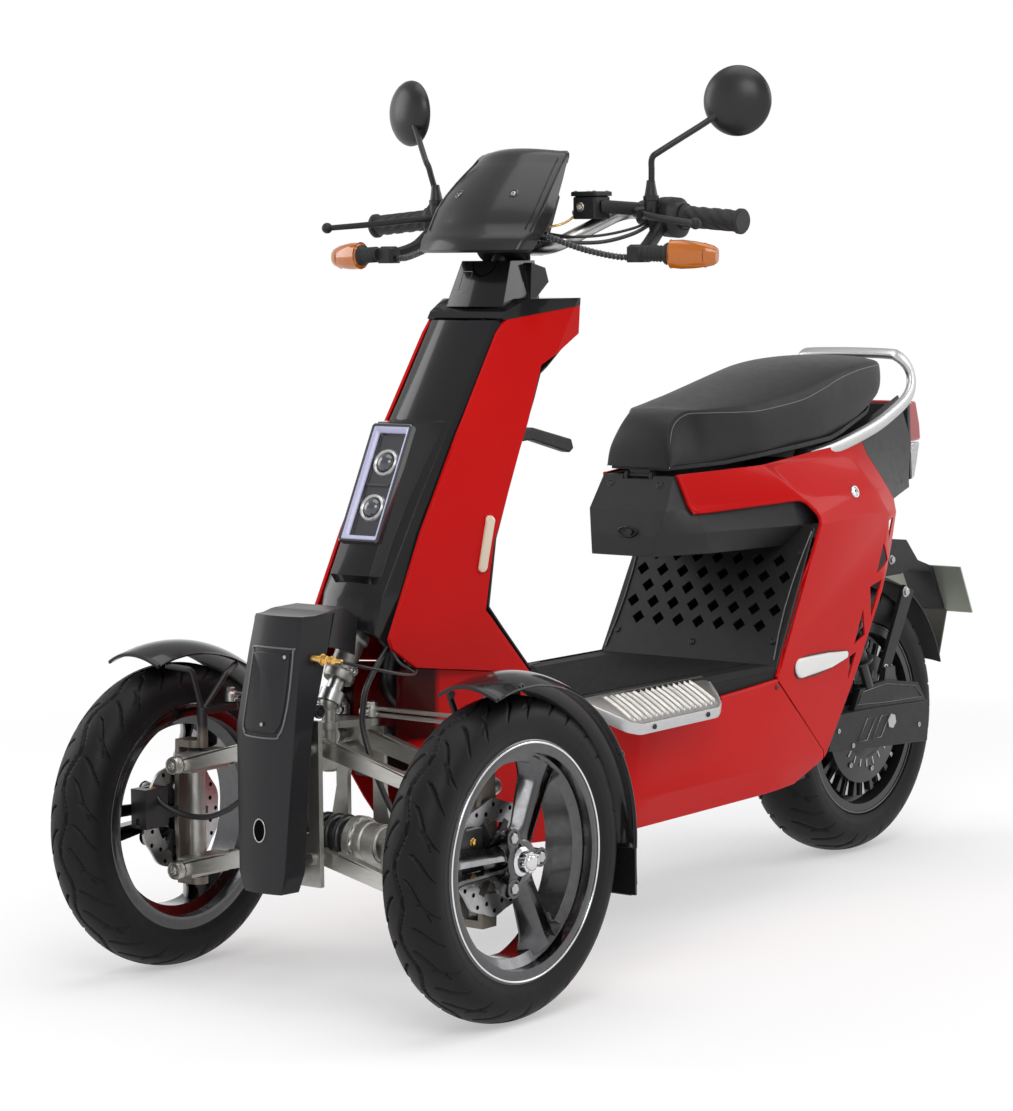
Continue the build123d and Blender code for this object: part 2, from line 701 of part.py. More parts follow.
cup_radius = ball_radius + 1
with BuildPart() as steering_stem:
    with BuildSketch(Plane(origin=ball_point, z_dir=column_way)):
        Circle(cup_radius + cup_wall)
    extrude(amount=cup_radius + cup_wall)
    add(rod_between(ball_point + column_way * cup_radius, column_point(up(1.308)), stem_radius))
    with Locations(ball_point):
        Sphere(cup_radius, mode=Mode.SUBTRACT)
steering_stem.part.label = "steering_stem"

with BuildPart() as head_tube:
    add(rod_between(column_point(up(0.681)), column_point(up(1.169)), head_tube_radius))
    add(rod_between(column_point(up(0.675)), column_point(up(1.175)), stem_radius + running_gap),
        mode=Mode.SUBTRACT)

link_length = sqrt((steer_arm_x - pitman_x) ** 2 + (steer_arm_back - pitman_back) ** 2)
with BuildPart() as tie_rod_left:
    with BuildSketch(Plane.XY.offset(link_z - link_radius)):
        with Locations((pitman_x, front_axle_y + pitman_back),
                       (steer_arm_x, front_axle_y + steer_arm_back)):
            Circle(link_eye_radius)
    extrude(amount=2 * link_radius)
    add(rod_between((pitman_x, front_axle_y + pitman_back, link_z),
                    (steer_arm_x, front_axle_y + steer_arm_back, link_z), link_radius - 1))
    with BuildSketch(Plane.XY.offset(link_z - link_radius - overrun)):
        with Locations((pitman_x, front_axle_y + pitman_back)):
            Circle(link_pin_radius + running_gap)
    extrude(amount=2 * link_radius + 2 * overrun, mode=Mode.SUBTRACT)
    with BuildSketch(Plane.XY.offset(link_z)):
        with Locations((steer_arm_x, front_axle_y + steer_arm_back)):
            RegularPolygon(link_pin_radius + link_end_gap, 6)
    extrude(amount=link_radius + 3)
tie_rod_left.part.label = "tie_rod_left"
with BuildPart() as tie_rod_right:
    mirror(tie_rod_left.part, about=Plane.YZ)
tie_rod_right.part.label = "tie_rod_right"

# Brake calipers, on the forward side of each knuckle plate
caliper_forward = 64.0
caliper_up = 20.0
with BuildPart() as caliper_left:
    with BuildSketch(Plane.YZ.offset(knuckle_plate_x)):
        with Locations((front_axle_y - caliper_forward, wheel_z + caliper_up)):
            Rectangle(caliper_width, caliper_height)
    extrude(amount=disc_x + disc_thickness + caliper_gap + caliper_wall - knuckle_plate_x)
    with BuildSketch(Plane.YZ.offset(knuckle_plate_x)):
        with Locations((front_axle_y - caliper_forward / 2, wheel_z + caliper_up / 2)):
            Rectangle(caliper_forward - 2 * knuckle_plate_half + caliper_width / 2 + 12, 16)
    extrude(amount=knuckle_plate_thickness - 2)
    with BuildSketch(wheel_face(disc_x - caliper_gap - wheel_x)):
        Circle(disc_radius + overrun)
    extrude(amount=disc_thickness + 2 * caliper_gap, mode=Mode.SUBTRACT)
    add(knuckle.part, mode=Mode.SUBTRACT)
caliper_left.part.label = "caliper_left"
with BuildPart() as caliper_right:
    mirror(caliper_left.part, about=Plane.YZ)
caliper_right.part.label = "caliper_right"

# Front fenders, curved over the tyres, with their bent stays and flaps
fender_ahead = 18.0
fender_behind = 95.0
fender_crown_radius = 258.0
fender_edge_radius = 242.0
fender_half_width = 50.0
fender_thickness = 3.0
flap_length = 66.0
flap_thickness = 4.0
stay_radius = 4.5


def radius_plane(origin, angle):
    # a plane through the axle: local x outwards, local y the radius, turned back from the top
    turn = radians(angle)
    return Plane(origin=origin, x_dir=(1, 0, 0), z_dir=(0, -cos(turn), sin(turn)))


wheel_centre = (wheel_x, wheel_y, wheel_z)
with BuildPart() as fender_left:
    with BuildSketch(radius_plane(wheel_centre, fender_behind)):
        with BuildLine():
            ThreePointArc((-fender_half_width, fender_edge_radius), (0, fender_crown_radius),
                          (fender_half_width, fender_edge_radius))
            Line((fender_half_width, fender_edge_radius),
                 (fender_half_width - fender_thickness, fender_edge_radius - fender_thickness))
            ThreePointArc((fender_half_width - fender_thickness, fender_edge_radius - fender_thickness),
                          (0, fender_crown_radius - fender_thickness),
                          (fender_thickness - fender_half_width, fender_edge_radius - fender_thickness))
            Line((fender_thickness - fender_half_width, fender_edge_radius - fender_thickness),
                 (-fender_half_width, fender_edge_radius))
        make_face()
    revolve(axis=wheel_axle, revolution_arc=fender_ahead + fender_behind)
    flap_y = wheel_y + fender_edge_radius * cos(radians(fender_behind - 90)) - fender_thickness
    with BuildSketch(Plane.XZ.offset(-flap_y - flap_thickness)):
        with Locations((wheel_x, wheel_z - fender_edge_radius * sin(radians(fender_behind - 90))
                        - flap_length / 2 + fender_thickness)):
            Rectangle(2 * fender_half_width, flap_length)
    extrude(amount=flap_thickness)
fender_left.part.label = "fender_left"
with BuildPart() as fender_right:
    mirror(fender_left.part, about=Plane.YZ)
fender_right.part.label = "fender_right"

stay_foot = (steer_post_x, front_axle_y, link_z - link_radius)
stay_inner_x = wheel_x - fender_half_width
with BuildPart() as knuckle_left:
    add(knuckle.part)
    for reach_y, reach_z in ((-52.0, 236.0), (96.0, 222.0)):
        add(bent_rod([(steer_post_x, front_axle_y, link_z - 2 * link_radius),
                      (steer_post_x - 4, front_axle_y + reach_y / 2, wheel_z + reach_z - 14),
                      (stay_inner_x + 6, front_axle_y + reach_y, wheel_z + reach_z - 7)],
                     stay_radius, stay_radius * 2))
    add(fender_left.part, mode=Mode.SUBTRACT)
knuckle_left.part.label = "knuckle_left"
with BuildPart() as knuckle_right:
    mirror(knuckle_left.part, about=Plane.YZ)
knuckle_right.part.label = "knuckle_right"

# Fork cover: the tower in front of the plates, bent back over the steering to the nose
panel_wall = 3.5
fork_sections = (
    (0.206, 0.191, -0.107, 0.028, 0.213, -0.083), (0.240, 0.236, -0.108, 0.034, 0.258, -0.080), (0.494, 0.303, -0.099, 0.051, 0.337, -0.077),
    (0.630, 0.264, -0.083, 0.045, 0.331, -0.050), (0.686, 0.242, -0.076, 0.039, 0.303, -0.037),
)
hood_rows = ((-0.083, 0.630), (-0.076, 0.682), (-0.040, 0.691), (-0.011, 0.694), (0.016, 0.670), (0.009, 0.605), (-0.022, 0.623), (-0.049, 0.630))
hood_core_rows = ((-0.077, 0.600), (-0.073, 0.677), (-0.040, 0.686), (-0.011, 0.689), (0.019, 0.665), (0.019, 0.588), (-0.049, 0.588))
hood_plan = ((-0.083, 0.242), (-0.045, 0.292), (0.016, 0.213))
hood_core_half = 0.202
cover_hole_z = 0.316
cover_hole_radius = 9.0
tower = bow_loft(fork_sections, 0, 0)
with BuildPart() as hood:
    add(side_slab(hood_rows, -body_half_width, body_half_width))
    add(plan_slab(hood_plan, 0, up(0.562), up(0.750)), mode=Mode.INTERSECT)
with BuildPart() as crown:
    add(tower)
    add(side_slab(((-0.096, 0.682), (-0.030, 0.682), (-0.030, 0.686), (-0.096, 0.686)), -body_half_width, body_half_width),
        mode=Mode.INTERSECT)
with BuildPart() as fork_cover:
    add(tower)
    add(hood.part)
    add(bow_loft(fork_sections, panel_wall, 2 * overrun), mode=Mode.SUBTRACT)
    add(side_slab(hood_core_rows, -out(hood_core_half), out(hood_core_half)), mode=Mode.SUBTRACT)
    add(crown.part)
    with BuildSketch(Plane.XZ.offset(-along(-0.119))):
        with Locations((0, up(cover_hole_z))):
            Circle(cover_hole_radius)
    extrude(amount=-out(0.169), mode=Mode.SUBTRACT)
    for boss_z in (up(0.237), up(0.475)):
        with BuildSketch(Plane.XZ.offset(-front_axle_y + plate_front_offset + plate_thickness / 2)):
            with Locations((0, boss_z)):
                Circle(arm_eye_radius)
        extrude(amount=-along(-0.106) + front_axle_y - plate_front_offset - plate_thickness / 2)
fork_cover.part.label = "fork_cover"

# Leg shield: two side panels, the front cover with its lamp housing, the inner shield and the cap
leg_sections = (
    (0.531, ((0.013, 0.438), (0.237, 0.685), (0.319, 0.753))),
    (0.631, ((0.031, 0.449), (0.171, 0.629), (0.319, 0.719))),
    (0.812, ((0.088, 0.433), (0.185, 0.629), (0.319, 0.685))),
    (1.000, ((0.160, 0.416), (0.241, 0.629), (0.356, 0.652))),
    (1.231, ((0.252, 0.393), (0.338, 0.618), (0.386, 0.629))),
)
leg_panel_rows = ((0.240, 1.185), (0.226, 1.161), (0.164, 1.008), (0.106, 0.870), (0.047, 0.705), (0.031, 0.631),
                  (0.035, 0.613), (0.066, 0.576), (0.231, 0.541), (0.165, 0.665), (0.180, 0.790), (0.225, 0.949),
                  (0.271, 1.101), (0.333, 1.156), (0.337, 1.208))
leg_hull = body_loft(leg_sections, 0)
leg_core = body_loft(leg_sections, out(0.067) / 2)
leg_outline = side_slab(leg_panel_rows, running_gap, body_half_width)
with BuildPart() as leg_panel_left:
    add(leg_hull)
    add(leg_core, mode=Mode.SUBTRACT)
    add(leg_outline, mode=Mode.INTERSECT)
leg_panel_left.part.label = "leg_panel_left"
with BuildPart() as leg_panel_right:
    mirror(leg_panel_left.part, about=Plane.YZ)
leg_panel_right.part.label = "leg_panel_right"

band_sections = (
    (0.608, 0.292, 0.025, 0.056, 0.371, 0.046), (0.705, 0.309, 0.042, 0.067, 0.399, 0.059), (0.870, 0.326, 0.101, 0.073, 0.393, 0.119),
    (1.008, 0.326, 0.158, 0.073, 0.393, 0.175), (1.049, 0.326, 0.176, 0.073, 0.399, 0.192), (1.184, 0.326, 0.231, 0.079, 0.404, 0.249),
)
band_rows = ((0.245, 1.184), (0.134, 1.184), (0.007, 0.804), (0.007, 0.688), (0.045, 0.608), (0.067, 0.608), (0.267, 1.184))
housing_sections = (
    (0.723, 0.191, 0.043, 0.011, 0.258, 0.067), (0.740, 0.208, 0.037, 0.011, 0.275, 0.067), (0.796, 0.202, 0.054, 0.011, 0.281, 0.096),
    (1.005, 0.191, 0.116, 0.011, 0.287, 0.159),
)
housing = bow_loft(housing_sections, 0, 0)
# the lamp in the housing: a lit frame round two round units
lamp_tilt = 26.6
lamp_height = 176.0
lamp_half_width = 33.0
lamp_frame_width = 9.0
lamp_depth = 10.0
lamp_unit_radius = 19.0
lamp_unit_spacing = 66.0
lamp_middle = Vector(0, along(0.083), up(0.897))
lamp_plane = Plane(origin=lamp_middle, x_dir=(1, 0, 0),
                   z_dir=(0, -cos(radians(lamp_tilt)), sin(radians(lamp_tilt))))
with BuildPart() as headlamp:
    with BuildSketch(lamp_plane.offset(-lamp_depth)):
        Rectangle(2 * lamp_half_width, lamp_height)
    extrude(amount=lamp_depth + 4)
    with BuildSketch(lamp_plane.offset(4)):
        Rectangle(2 * (lamp_half_width - lamp_frame_width), lamp_height - 2 * lamp_frame_width)
    extrude(amount=-lamp_depth / 2, mode=Mode.SUBTRACT)
    with BuildSketch(lamp_plane.offset(-lamp_depth / 2)):
        with GridLocations(0, lamp_unit_spacing, 1, 2):
            Circle(lamp_unit_radius)
    extrude(amount=lamp_depth * 0.7)
headlamp.part.label = "headlamp"
with BuildPart() as lamp_pocket:
    with BuildSketch(lamp_plane.offset(-lamp_depth)):
        Rectangle(2 * lamp_half_width, lamp_height)
    extrude(amount=lamp_depth + 4 * overrun)
with BuildPart() as housing_lid:
    add(housing)
    add(side_slab(((0.074, 1.000), (0.193, 1.000), (0.193, 1.005), (0.074, 1.005)), -body_half_width, body_half_width),
        mode=Mode.INTERSECT)
with BuildPart() as front_cover:
    add(bow_loft(band_sections, 0, 0))
    add(side_slab(band_rows, -body_half_width, body_half_width), mode=Mode.INTERSECT)
    add(housing)
    add(bow_loft(band_sections, panel_wall, 2 * overrun), mode=Mode.SUBTRACT)
    add(bow_loft(housing_sections, panel_wall, 2 * overrun), mode=Mode.SUBTRACT)
    add(housing_lid.part)
    add(lamp_pocket.part, mode=Mode.SUBTRACT)
front_cover.part.label = "front_cover"

# the shield that faces the rider, a band between the side panels, with the bag hook
shield_thickness = 4.0
shield_rows = ((0.335, 1.202), (0.326, 1.150), (0.272, 1.085), (0.231, 0.955), (0.188, 0.792), (0.175, 0.670), (0.239, 0.545))
shield_line = side_points(shield_rows)
shield_face = shield_line + [(y - shield_thickness, z) for y, z in reversed(shield_line)]
with BuildPart() as inner_shield:
    with BuildSketch(Plane.YZ.offset(-body_half_width)):
        with BuildLine():
            Polyline(*shield_face, close=True)
        make_face()
    extrude(amount=2 * body_half_width)
    add(body_loft(leg_sections, out(0.067) / 2 + seat_gap), mode=Mode.INTERSECT)
inner_shield.part.label = "inner_shield"
cap_thickness = 6.0
cap_rows = ((0.236, 1.185), (0.240, 1.185), (0.337, 1.208), (0.338, 1.222), (0.272, 1.222), (0.233, 1.195))
with BuildPart() as leg_cap:
    add(side_slab(cap_rows, -body_half_width, body_half_width))
    add(leg_hull, mode=Mode.INTERSECT)
    add(rod_between(column_point(up(1.125)), column_point(up(1.275)), head_tube_radius + seat_gap),
        mode=Mode.SUBTRACT)
hook_half_width = 9.0
hook_rows = ((0.231, 0.963), (0.349, 0.976), (0.420, 0.948), (0.424, 0.930), (0.417, 0.922), (0.346, 0.953), (0.231, 0.940))
with BuildPart() as bag_hook:
    add(side_slab(hook_rows, -hook_half_width, hook_half_width))
    add(inner_shield.part, mode=Mode.SUBTRACT)
bag_hook.part.label = "bag_hook"

# Neck cover between the cap and the bars
neck_sections = ((1.208, 0.303, 0.252, 0.056, 0.326, 0.315), (1.292, 0.258, 0.274, 0.045, 0.247, 0.319))
neck_ear = ((0.297, 1.208), (0.331, 1.252), (0.325, 1.278), (0.300, 1.288))
with BuildPart() as neck_cover:
    add(bow_loft(neck_sections, 0, 0))
    add(side_slab(neck_ear, -out(0.326), out(0.326)))
    add(rod_between(column_point(up(1.175)), column_point(up(1.325)), stem_radius + swing_gap),
        mode=Mode.SUBTRACT)
    add(leg_cap.part)
neck_cover.part.label = "neck_cover"

# Frame: head tube, down tube, spine, floor rails, pivot plates and seat rails
tube_radius = 17.0
rail_x = 70.0
spine_rows = ((0.052, 0.412), (0.141, 0.375), (0.245, 0.362))
post_radius = 12.0
post_rows = ((0.356, 0.362, 0.469), (0.608, 0.362, 0.469), (0.849, 0.640, 0.708))
with BuildPart() as main_frame:
    add(head_tube.part)
    for place, low, top in post_rows:
        for side in (-1, 1):
            add(rod_between((side * rail_x, along(place), up(low)), (side * rail_x, along(place), up(top)), post_radius))
    for side in (-1, 1):
        x = side * rail_x
        add(bent_rod([(side * 12, *side_points(((0.171, 0.900),))[0]), (side * 24, *side_points(((0.119, 0.525),))[0]),
                      (x, *side_points(((0.245, 0.362),))[0]), (x, *side_points(((0.734, 0.362),))[0]),
                      (x, *side_points(((0.816, 0.625),))[0]), (x, *side_points(((0.920, 0.670),))[0]),
                      (x, *side_points(((0.998, 0.863),))[0])],
                     tube_radius, tube_radius * 2))
        with BuildSketch(Plane.YZ.offset(x - side * 6)):
            with BuildLine():
                Polyline(*side_points(((0.697, 0.375), (0.697, 0.294), (0.757, 0.294), (0.772, 0.412))), close=True)
            make_face()
        extrude(amount=side * 12)
    with BuildSketch(Plane.XY.offset(up(0.365))):
        with Locations((0, along(0.252)), (0, along(0.727))):
            Rectangle(2 * rail_x, 2 * tube_radius)
    extrude(amount=tube_radius)
    with BuildSketch(Plane.XZ.offset(-front_axle_y - plate_front_offset - plate_thickness / 2)):
        with Locations((0, up(0.412))):
            Rectangle(2 * relay_block_half_width, up(0.075))
    extrude(amount=-along(0.194) + front_axle_y + plate_front_offset + plate_thickness / 2)
    brace = side_points(((0.185, 0.439),))[0]
    with BuildSketch(Plane.YZ.offset(-rail_x * 0.68)):
        with Locations(brace):
            Circle(tube_radius * 0.7)
    extrude(amount=2 * rail_x * 0.68)
main_frame.part.label = "main_frame"

# Lower body: belly panels, the tray that closes them and the battery
body_wall = 3.5
hull_sections = (
    (0.206, ((0.174, 0.393), (0.371, 0.831), (0.668, 0.927), (0.816, 0.843), (1.068, 0.618))),
    (0.278, ((0.111, 0.393), (0.371, 0.966), (0.668, 0.989), (0.853, 0.910), (1.068, 0.618))),
    (0.453, ((0.056, 0.348), (0.386, 1.000), (0.660, 1.000), (0.890, 0.933), (1.068, 0.618))),
)
belly_sections = hull_sections + ((0.588, ((0.056, 0.371), (0.237, 0.663), (0.660, 1.000), (0.890, 0.933), (1.068, 0.618))),)
rear_sections = hull_sections + (
    (0.750, ((0.512, 0.326), (0.593, 0.562), (0.739, 0.966), (0.927, 0.899), (1.068, 0.539))),
    (0.802, ((0.512, 0.421), (0.582, 0.449), (0.743, 0.876), (0.912, 0.820), (1.068, 0.506))),
    (0.875, ((0.512, 0.337), (0.562, 0.399), (0.701, 0.640), (0.883, 0.680), (1.068, 0.494))),
    (1.000, ((0.512, 0.281), (0.562, 0.348), (0.705, 0.562), (0.883, 0.629), (1.068, 0.472))),
)
belly_rows = ((0.056, 0.569), (0.056, 0.431), (0.119, 0.312), (0.178, 0.219), (0.371, 0.212), (0.625, 0.223), (0.705, 0.230),
              (0.767, 0.266), (0.765, 0.284), (0.653, 0.451), (0.536, 0.440), (0.512, 0.455), (0.297, 0.472),
              (0.239, 0.537), (0.231, 0.540), (0.066, 0.575))
belly_hull = body_loft(belly_sections, 0)
belly_core = body_loft(belly_sections, body_wall)
with BuildPart() as belly_panel_left:
    add(belly_hull)
    add(belly_core, mode=Mode.SUBTRACT)
    add(side_slab(belly_rows, running_gap, body_half_width + overrun), mode=Mode.INTERSECT)
belly_panel_left.part.label = "belly_panel_left"
with BuildPart() as belly_panel_right:
    mirror(belly_panel_left.part, about=Plane.YZ)
belly_panel_right.part.label = "belly_panel_right"

rear_rows = ((0.562, 0.866), (0.582, 0.787), (0.738, 0.802), (0.764, 0.765), (0.752, 0.731), (0.665, 0.481), (0.654, 0.454),
             (0.766, 0.285), (0.769, 0.268), (0.827, 0.399), (0.867, 0.497), (0.935, 0.659), (0.973, 0.775),
             (0.916, 0.910), (0.874, 0.902), (0.691, 0.874))
rear_cuts = (
    ((0.928, 0.736), (0.949, 0.740), (0.929, 0.694)), ((0.912, 0.690), (0.927, 0.654), (0.894, 0.631)),
    ((0.877, 0.605), (0.906, 0.615), (0.878, 0.541)), ((0.859, 0.561), (0.862, 0.507), (0.836, 0.492)),
    ((0.824, 0.468), (0.840, 0.475), (0.821, 0.422)),
)
rear_hull = body_loft(rear_sections, 0)
rear_core = body_loft(rear_sections, body_wall)
with BuildPart() as rear_panel_left:
    add(rear_hull)
    add(rear_core, mode=Mode.SUBTRACT)
    add(side_slab(rear_rows, running_gap, body_half_width + overrun), mode=Mode.INTERSECT)
    for cut_rows in rear_cuts:
        add(side_slab(cut_rows, running_gap, body_half_width + overrun), mode=Mode.SUBTRACT)
rear_panel_left.part.label = "rear_panel_left"
with BuildPart() as rear_panel_right:
    mirror(rear_panel_left.part, about=Plane.YZ)
rear_panel_right.part.label = "rear_panel_right"

tail_rows = ((0.916, 0.910), (0.973, 0.775), (1.053, 0.790), (1.068, 0.890), (1.035, 0.990), (0.957, 0.953))
with BuildPart() as tail_bridge:
    add(rear_hull)
    add(side_slab(((1.061, 0.806), (1.068, 0.806), (1.068, 0.969), (1.061, 0.969)), -body_half_width, body_half_width),
        mode=Mode.INTERSECT)
with BuildPart() as tail_panels:
    add(rear_hull)
    add(rear_core, mode=Mode.SUBTRACT)
    add(side_slab(tail_rows, -body_half_width, body_half_width), mode=Mode.INTERSECT)
    add(tail_bridge.part)
tail_panels.part.label = "tail_panels"
lamp_rows = ((1.068, 0.800), (1.088, 0.805), (1.102, 0.890), (1.091, 0.973), (1.068, 0.975))
tail_lamp_half_width = 80.0
with BuildPart() as tail_lamp:
    add(side_slab(lamp_rows, -tail_lamp_half_width, tail_lamp_half_width))
    fillet(edges().filter_by(Axis.Z), overrun)
tail_lamp.part.label = "tail_lamp"

tray_thickness = 4.0
with BuildPart() as belly_tray:
    add(side_slab(((0.182, 0.223), (0.371, 0.215), (0.625, 0.225), (0.734, 0.235), (0.734, 0.241), (0.625, 0.231),
                   (0.371, 0.221), (0.182, 0.229)), -body_half_width, body_half_width))
    add(body_loft(belly_sections, body_wall + seat_gap), mode=Mode.INTERSECT)
belly_tray.part.label = "belly_tray"
battery_rows = ((0.319, 0.223), (0.371, 0.220), (0.625, 0.230), (0.668, 0.234), (0.668, 0.333), (0.319, 0.333))
battery_half_width = 100.0
with BuildPart() as battery_block:
    add(side_slab(battery_rows, -battery_half_width, battery_half_width))
    add(belly_tray.part, mode=Mode.SUBTRACT)
battery_block.part.label = "battery_block"

# Floor: the board with its ribbed mat, and the two ribbed footrests
floor_rows = ((0.240, 0.550), (0.245, 0.540), (0.298, 0.481), (0.653, 0.481), (0.653, 0.469), (0.295, 0.469), (0.234, 0.535), (0.234, 0.542))
with BuildPart() as floor_board:
    add(side_slab(floor_rows, -body_half_width, body_half_width))
    add(body_loft(belly_sections, body_wall + seat_gap), mode=Mode.INTERSECT)
    add(inner_shield.part, mode=Mode.SUBTRACT)
floor_board.part.label = "floor_board"
foot_rows = ((0.252, 0.831, 0.505), (0.269, 1.264, 0.465), (0.486, 1.264, 0.465), (0.513, 1.011, 0.468), (0.513, 0.843, 0.468), (0.252, 0.674, 0.505))
footrest_top = up(0.475)
footrest_thickness = 5.0
footrest_lip = 26.0
footrest_plan = ((0.282, 0.899), (0.312, 1.264), (0.482, 1.264), (0.515, 0.955), (0.515, 0.843), (0.282, 0.843))
with BuildPart() as footrest_left:
    with BuildSketch(Plane.XY.offset(footrest_top + 6 - footrest_thickness)):
        with BuildLine():
            Polyline(*[(out(x), along(a)) for a, x in footrest_plan], close=True)
        make_face()
    extrude(amount=footrest_thickness)
    with BuildSketch(Plane.XY.offset(footrest_top + 6 - footrest_lip)):
        with BuildLine():
            Polyline(*[(out(x), along(a)) for a, x in footrest_plan[:4]])
            offset(amount=-footrest_thickness, side=Side.RIGHT)
        make_face()
    extrude(amount=footrest_lip)
    add(belly_hull, mode=Mode.SUBTRACT)
with BuildPart() as footrests:
    add(footrest_left.part)
    mirror(footrest_left.part, about=Plane.YZ)
footrests.part.label = "footrests"

# Storage tub under the seat, its front wall showing between the red panels
tub_wall = 4.0
tub_sections = (
    (0.708, ((0.524, 0.326), (0.601, 0.562), (0.742, 0.697), (0.794, 0.708), (0.909, 0.629))),
    (0.750, ((0.528, 0.360), (0.593, 0.551), (0.731, 0.820), (0.779, 0.831), (0.912, 0.674))),
    (0.797, ((0.536, 0.416), (0.582, 0.427), (0.731, 0.798), (0.786, 0.798), (0.914, 0.674))),
    (0.863, ((0.559, 0.382), (0.571, 0.393), (0.694, 0.596), (0.786, 0.629), (0.915, 0.629))),
)
tub_outer = body_loft(tub_sections, 0)
tub_inner = body_loft(tub_sections, tub_wall)
with BuildPart() as tub_room:
    with BuildSketch(Plane.XY.offset(up(0.708) + tub_wall)):
        with Locations((0, (along(0.568) + along(0.912)) / 2)):
            Rectangle(2 * body_half_width, along(0.912) - along(0.568))
    extrude(amount=up(0.250))
    add(tub_inner, mode=Mode.INTERSECT)
seat_hinge = side_points(((0.563, 0.863),))[0]
seat_hinge_radius = 4.0
seat_hinge_half_width = 28.0
seat_lug_x = 24.0
seat_lug_width = 6.0
seat_lug_radius = 7.0
with BuildPart() as seat_box:
    add(tub_outer)
    add(tub_room.part, mode=Mode.SUBTRACT)
    add(rear_panel_left.part, mode=Mode.SUBTRACT)
    add(rear_panel_right.part, mode=Mode.SUBTRACT)
    add(side_slab(((0.553, 0.856), (0.575, 0.856), (0.575, 0.875), (0.553, 0.875)),
                  -seat_hinge_half_width - 1, seat_hinge_half_width + 1), mode=Mode.SUBTRACT)
    for side in (-1, 1):
        with BuildSketch(Plane.YZ.offset(side * seat_lug_x - seat_lug_width / 2)):
            with Locations((seat_hinge[0], seat_hinge[1] - seat_lug_radius / 2)):
                Rectangle(2 * seat_lug_radius, seat_lug_radius + overrun)
            with Locations(seat_hinge):
                Circle(seat_lug_radius)
                Circle(seat_hinge_radius + running_gap, mode=Mode.SUBTRACT)
        extrude(amount=seat_lug_width)
seat_box.part.label = "seat_box"

# the pierced panel between the floor and the seat box
grille_thickness = 4.0
grille_pitch = 40.0
grille_line_pitch = 58.0
grille_lift = 6.0
grille_hole = 17.0
grille_columns = 7
grille_lines = 3
grille_foot = Vector(0, along(0.654), up(0.472))
grille_head = Vector(0, along(0.745), up(0.745))
grille_way = (grille_head - grille_foot).normalized()
grille_plane = Plane(origin=(grille_foot + grille_head) * 0.5, x_dir=(1, 0, 0), z_dir=Vector(1, 0, 0).cross(grille_way))
with BuildPart() as grille_panel:
    with BuildSketch(grille_plane):
        Rectangle(2 * body_half_width, (grille_head - grille_foot).length)
        for columns, rows in ((grille_columns, grille_lines), (grille_columns + 1, grille_lines - 1)):
            with Locations((0, grille_lift)):
                with GridLocations(grille_pitch, grille_line_pitch, columns, rows):
                    Rectangle(grille_hole, grille_hole, rotation=45, mode=Mode.SUBTRACT)
    extrude(amount=-grille_thickness)
    add(body_loft(rear_sections, body_wall + seat_gap), mode=Mode.INTERSECT)
    add(tub_outer, mode=Mode.SUBTRACT)
grille_panel.part.label = "grille_panel"


# Seat: a pan hinged at its front edge, with the cushion on it
seat_pan_rows = ((0.562, 0.874), (0.645, 0.879), (0.742, 0.896), (0.838, 0.912), (0.927, 0.956), (0.957, 0.983),
                 (0.957, 0.991), (0.927, 0.965), (0.838, 0.921), (0.742, 0.905), (0.645, 0.887), (0.562, 0.882))
cushion_top_rows = ((0.562, 1.001), (0.576, 1.009), (0.665, 1.021), (0.772, 1.058), (0.850, 1.080), (0.926, 1.085), (0.978, 1.077))
cushion_low_rows = ((0.978, 1.077), (0.990, 1.060), (0.978, 1.015), (0.957, 0.993), (0.927, 0.966), (0.838, 0.922), (0.742, 0.905),
                    (0.645, 0.887), (0.558, 0.882), (0.562, 1.001))
cushion_round = 12.0
seat_plan = ((0.558, 0.337), (0.606, 0.438), (0.700, 0.607), (0.772, 0.685), (0.860, 0.719), (0.935, 0.663), (0.979, 0.506), (0.993, 0.281))

seat_pan_inset = 6.0
seat_web_half_width = 20.0
seat_web_height = 10.5
with BuildPart() as seat_pan:
    add(side_slab(seat_pan_rows, -body_half_width, body_half_width))
    add(plan_slab(seat_plan, seat_pan_inset, up(0.800), up(1.125)), mode=Mode.INTERSECT)
    with BuildSketch(Plane.YZ.offset(-seat_hinge_half_width)):
        with Locations(seat_hinge):
            Circle(seat_hinge_radius)
    extrude(amount=2 * seat_hinge_half_width)
    with BuildSketch(Plane.YZ.offset(-seat_web_half_width)):
        with Locations((seat_hinge[0], seat_hinge[1] + seat_web_height / 2)):
            Rectangle(seat_hinge_radius, seat_web_height)
    extrude(amount=2 * seat_web_half_width)
seat_pan.part.label = "seat_pan"
with BuildPart() as cushion_plan:
    with BuildSketch(Plane.XY.offset(up(0.800))):
        with BuildLine():
            right_side = Spline(*[(out(x), along(a)) for a, x in seat_plan])
            left_side = Spline(*[(-out(x), along(a)) for a, x in seat_plan])
            Line(right_side @ 0, left_side @ 0)
            Line(right_side @ 1, left_side @ 1)
        make_face()
    extrude(amount=up(0.325))
with BuildPart() as seat_cushion:
    with BuildSketch(Plane.YZ.offset(-body_half_width)):
        with BuildLine():
            Spline(*side_points(cushion_top_rows))
            Polyline(*side_points(cushion_low_rows))
        make_face()
    extrude(amount=2 * body_half_width)
    add(cushion_plan.part, mode=Mode.INTERSECT)
    fillet([edge for edge in seat_cushion.edges() if edge.center().Z > up(1.000)], cushion_round)
seat_cushion.part.label = "seat_cushion"
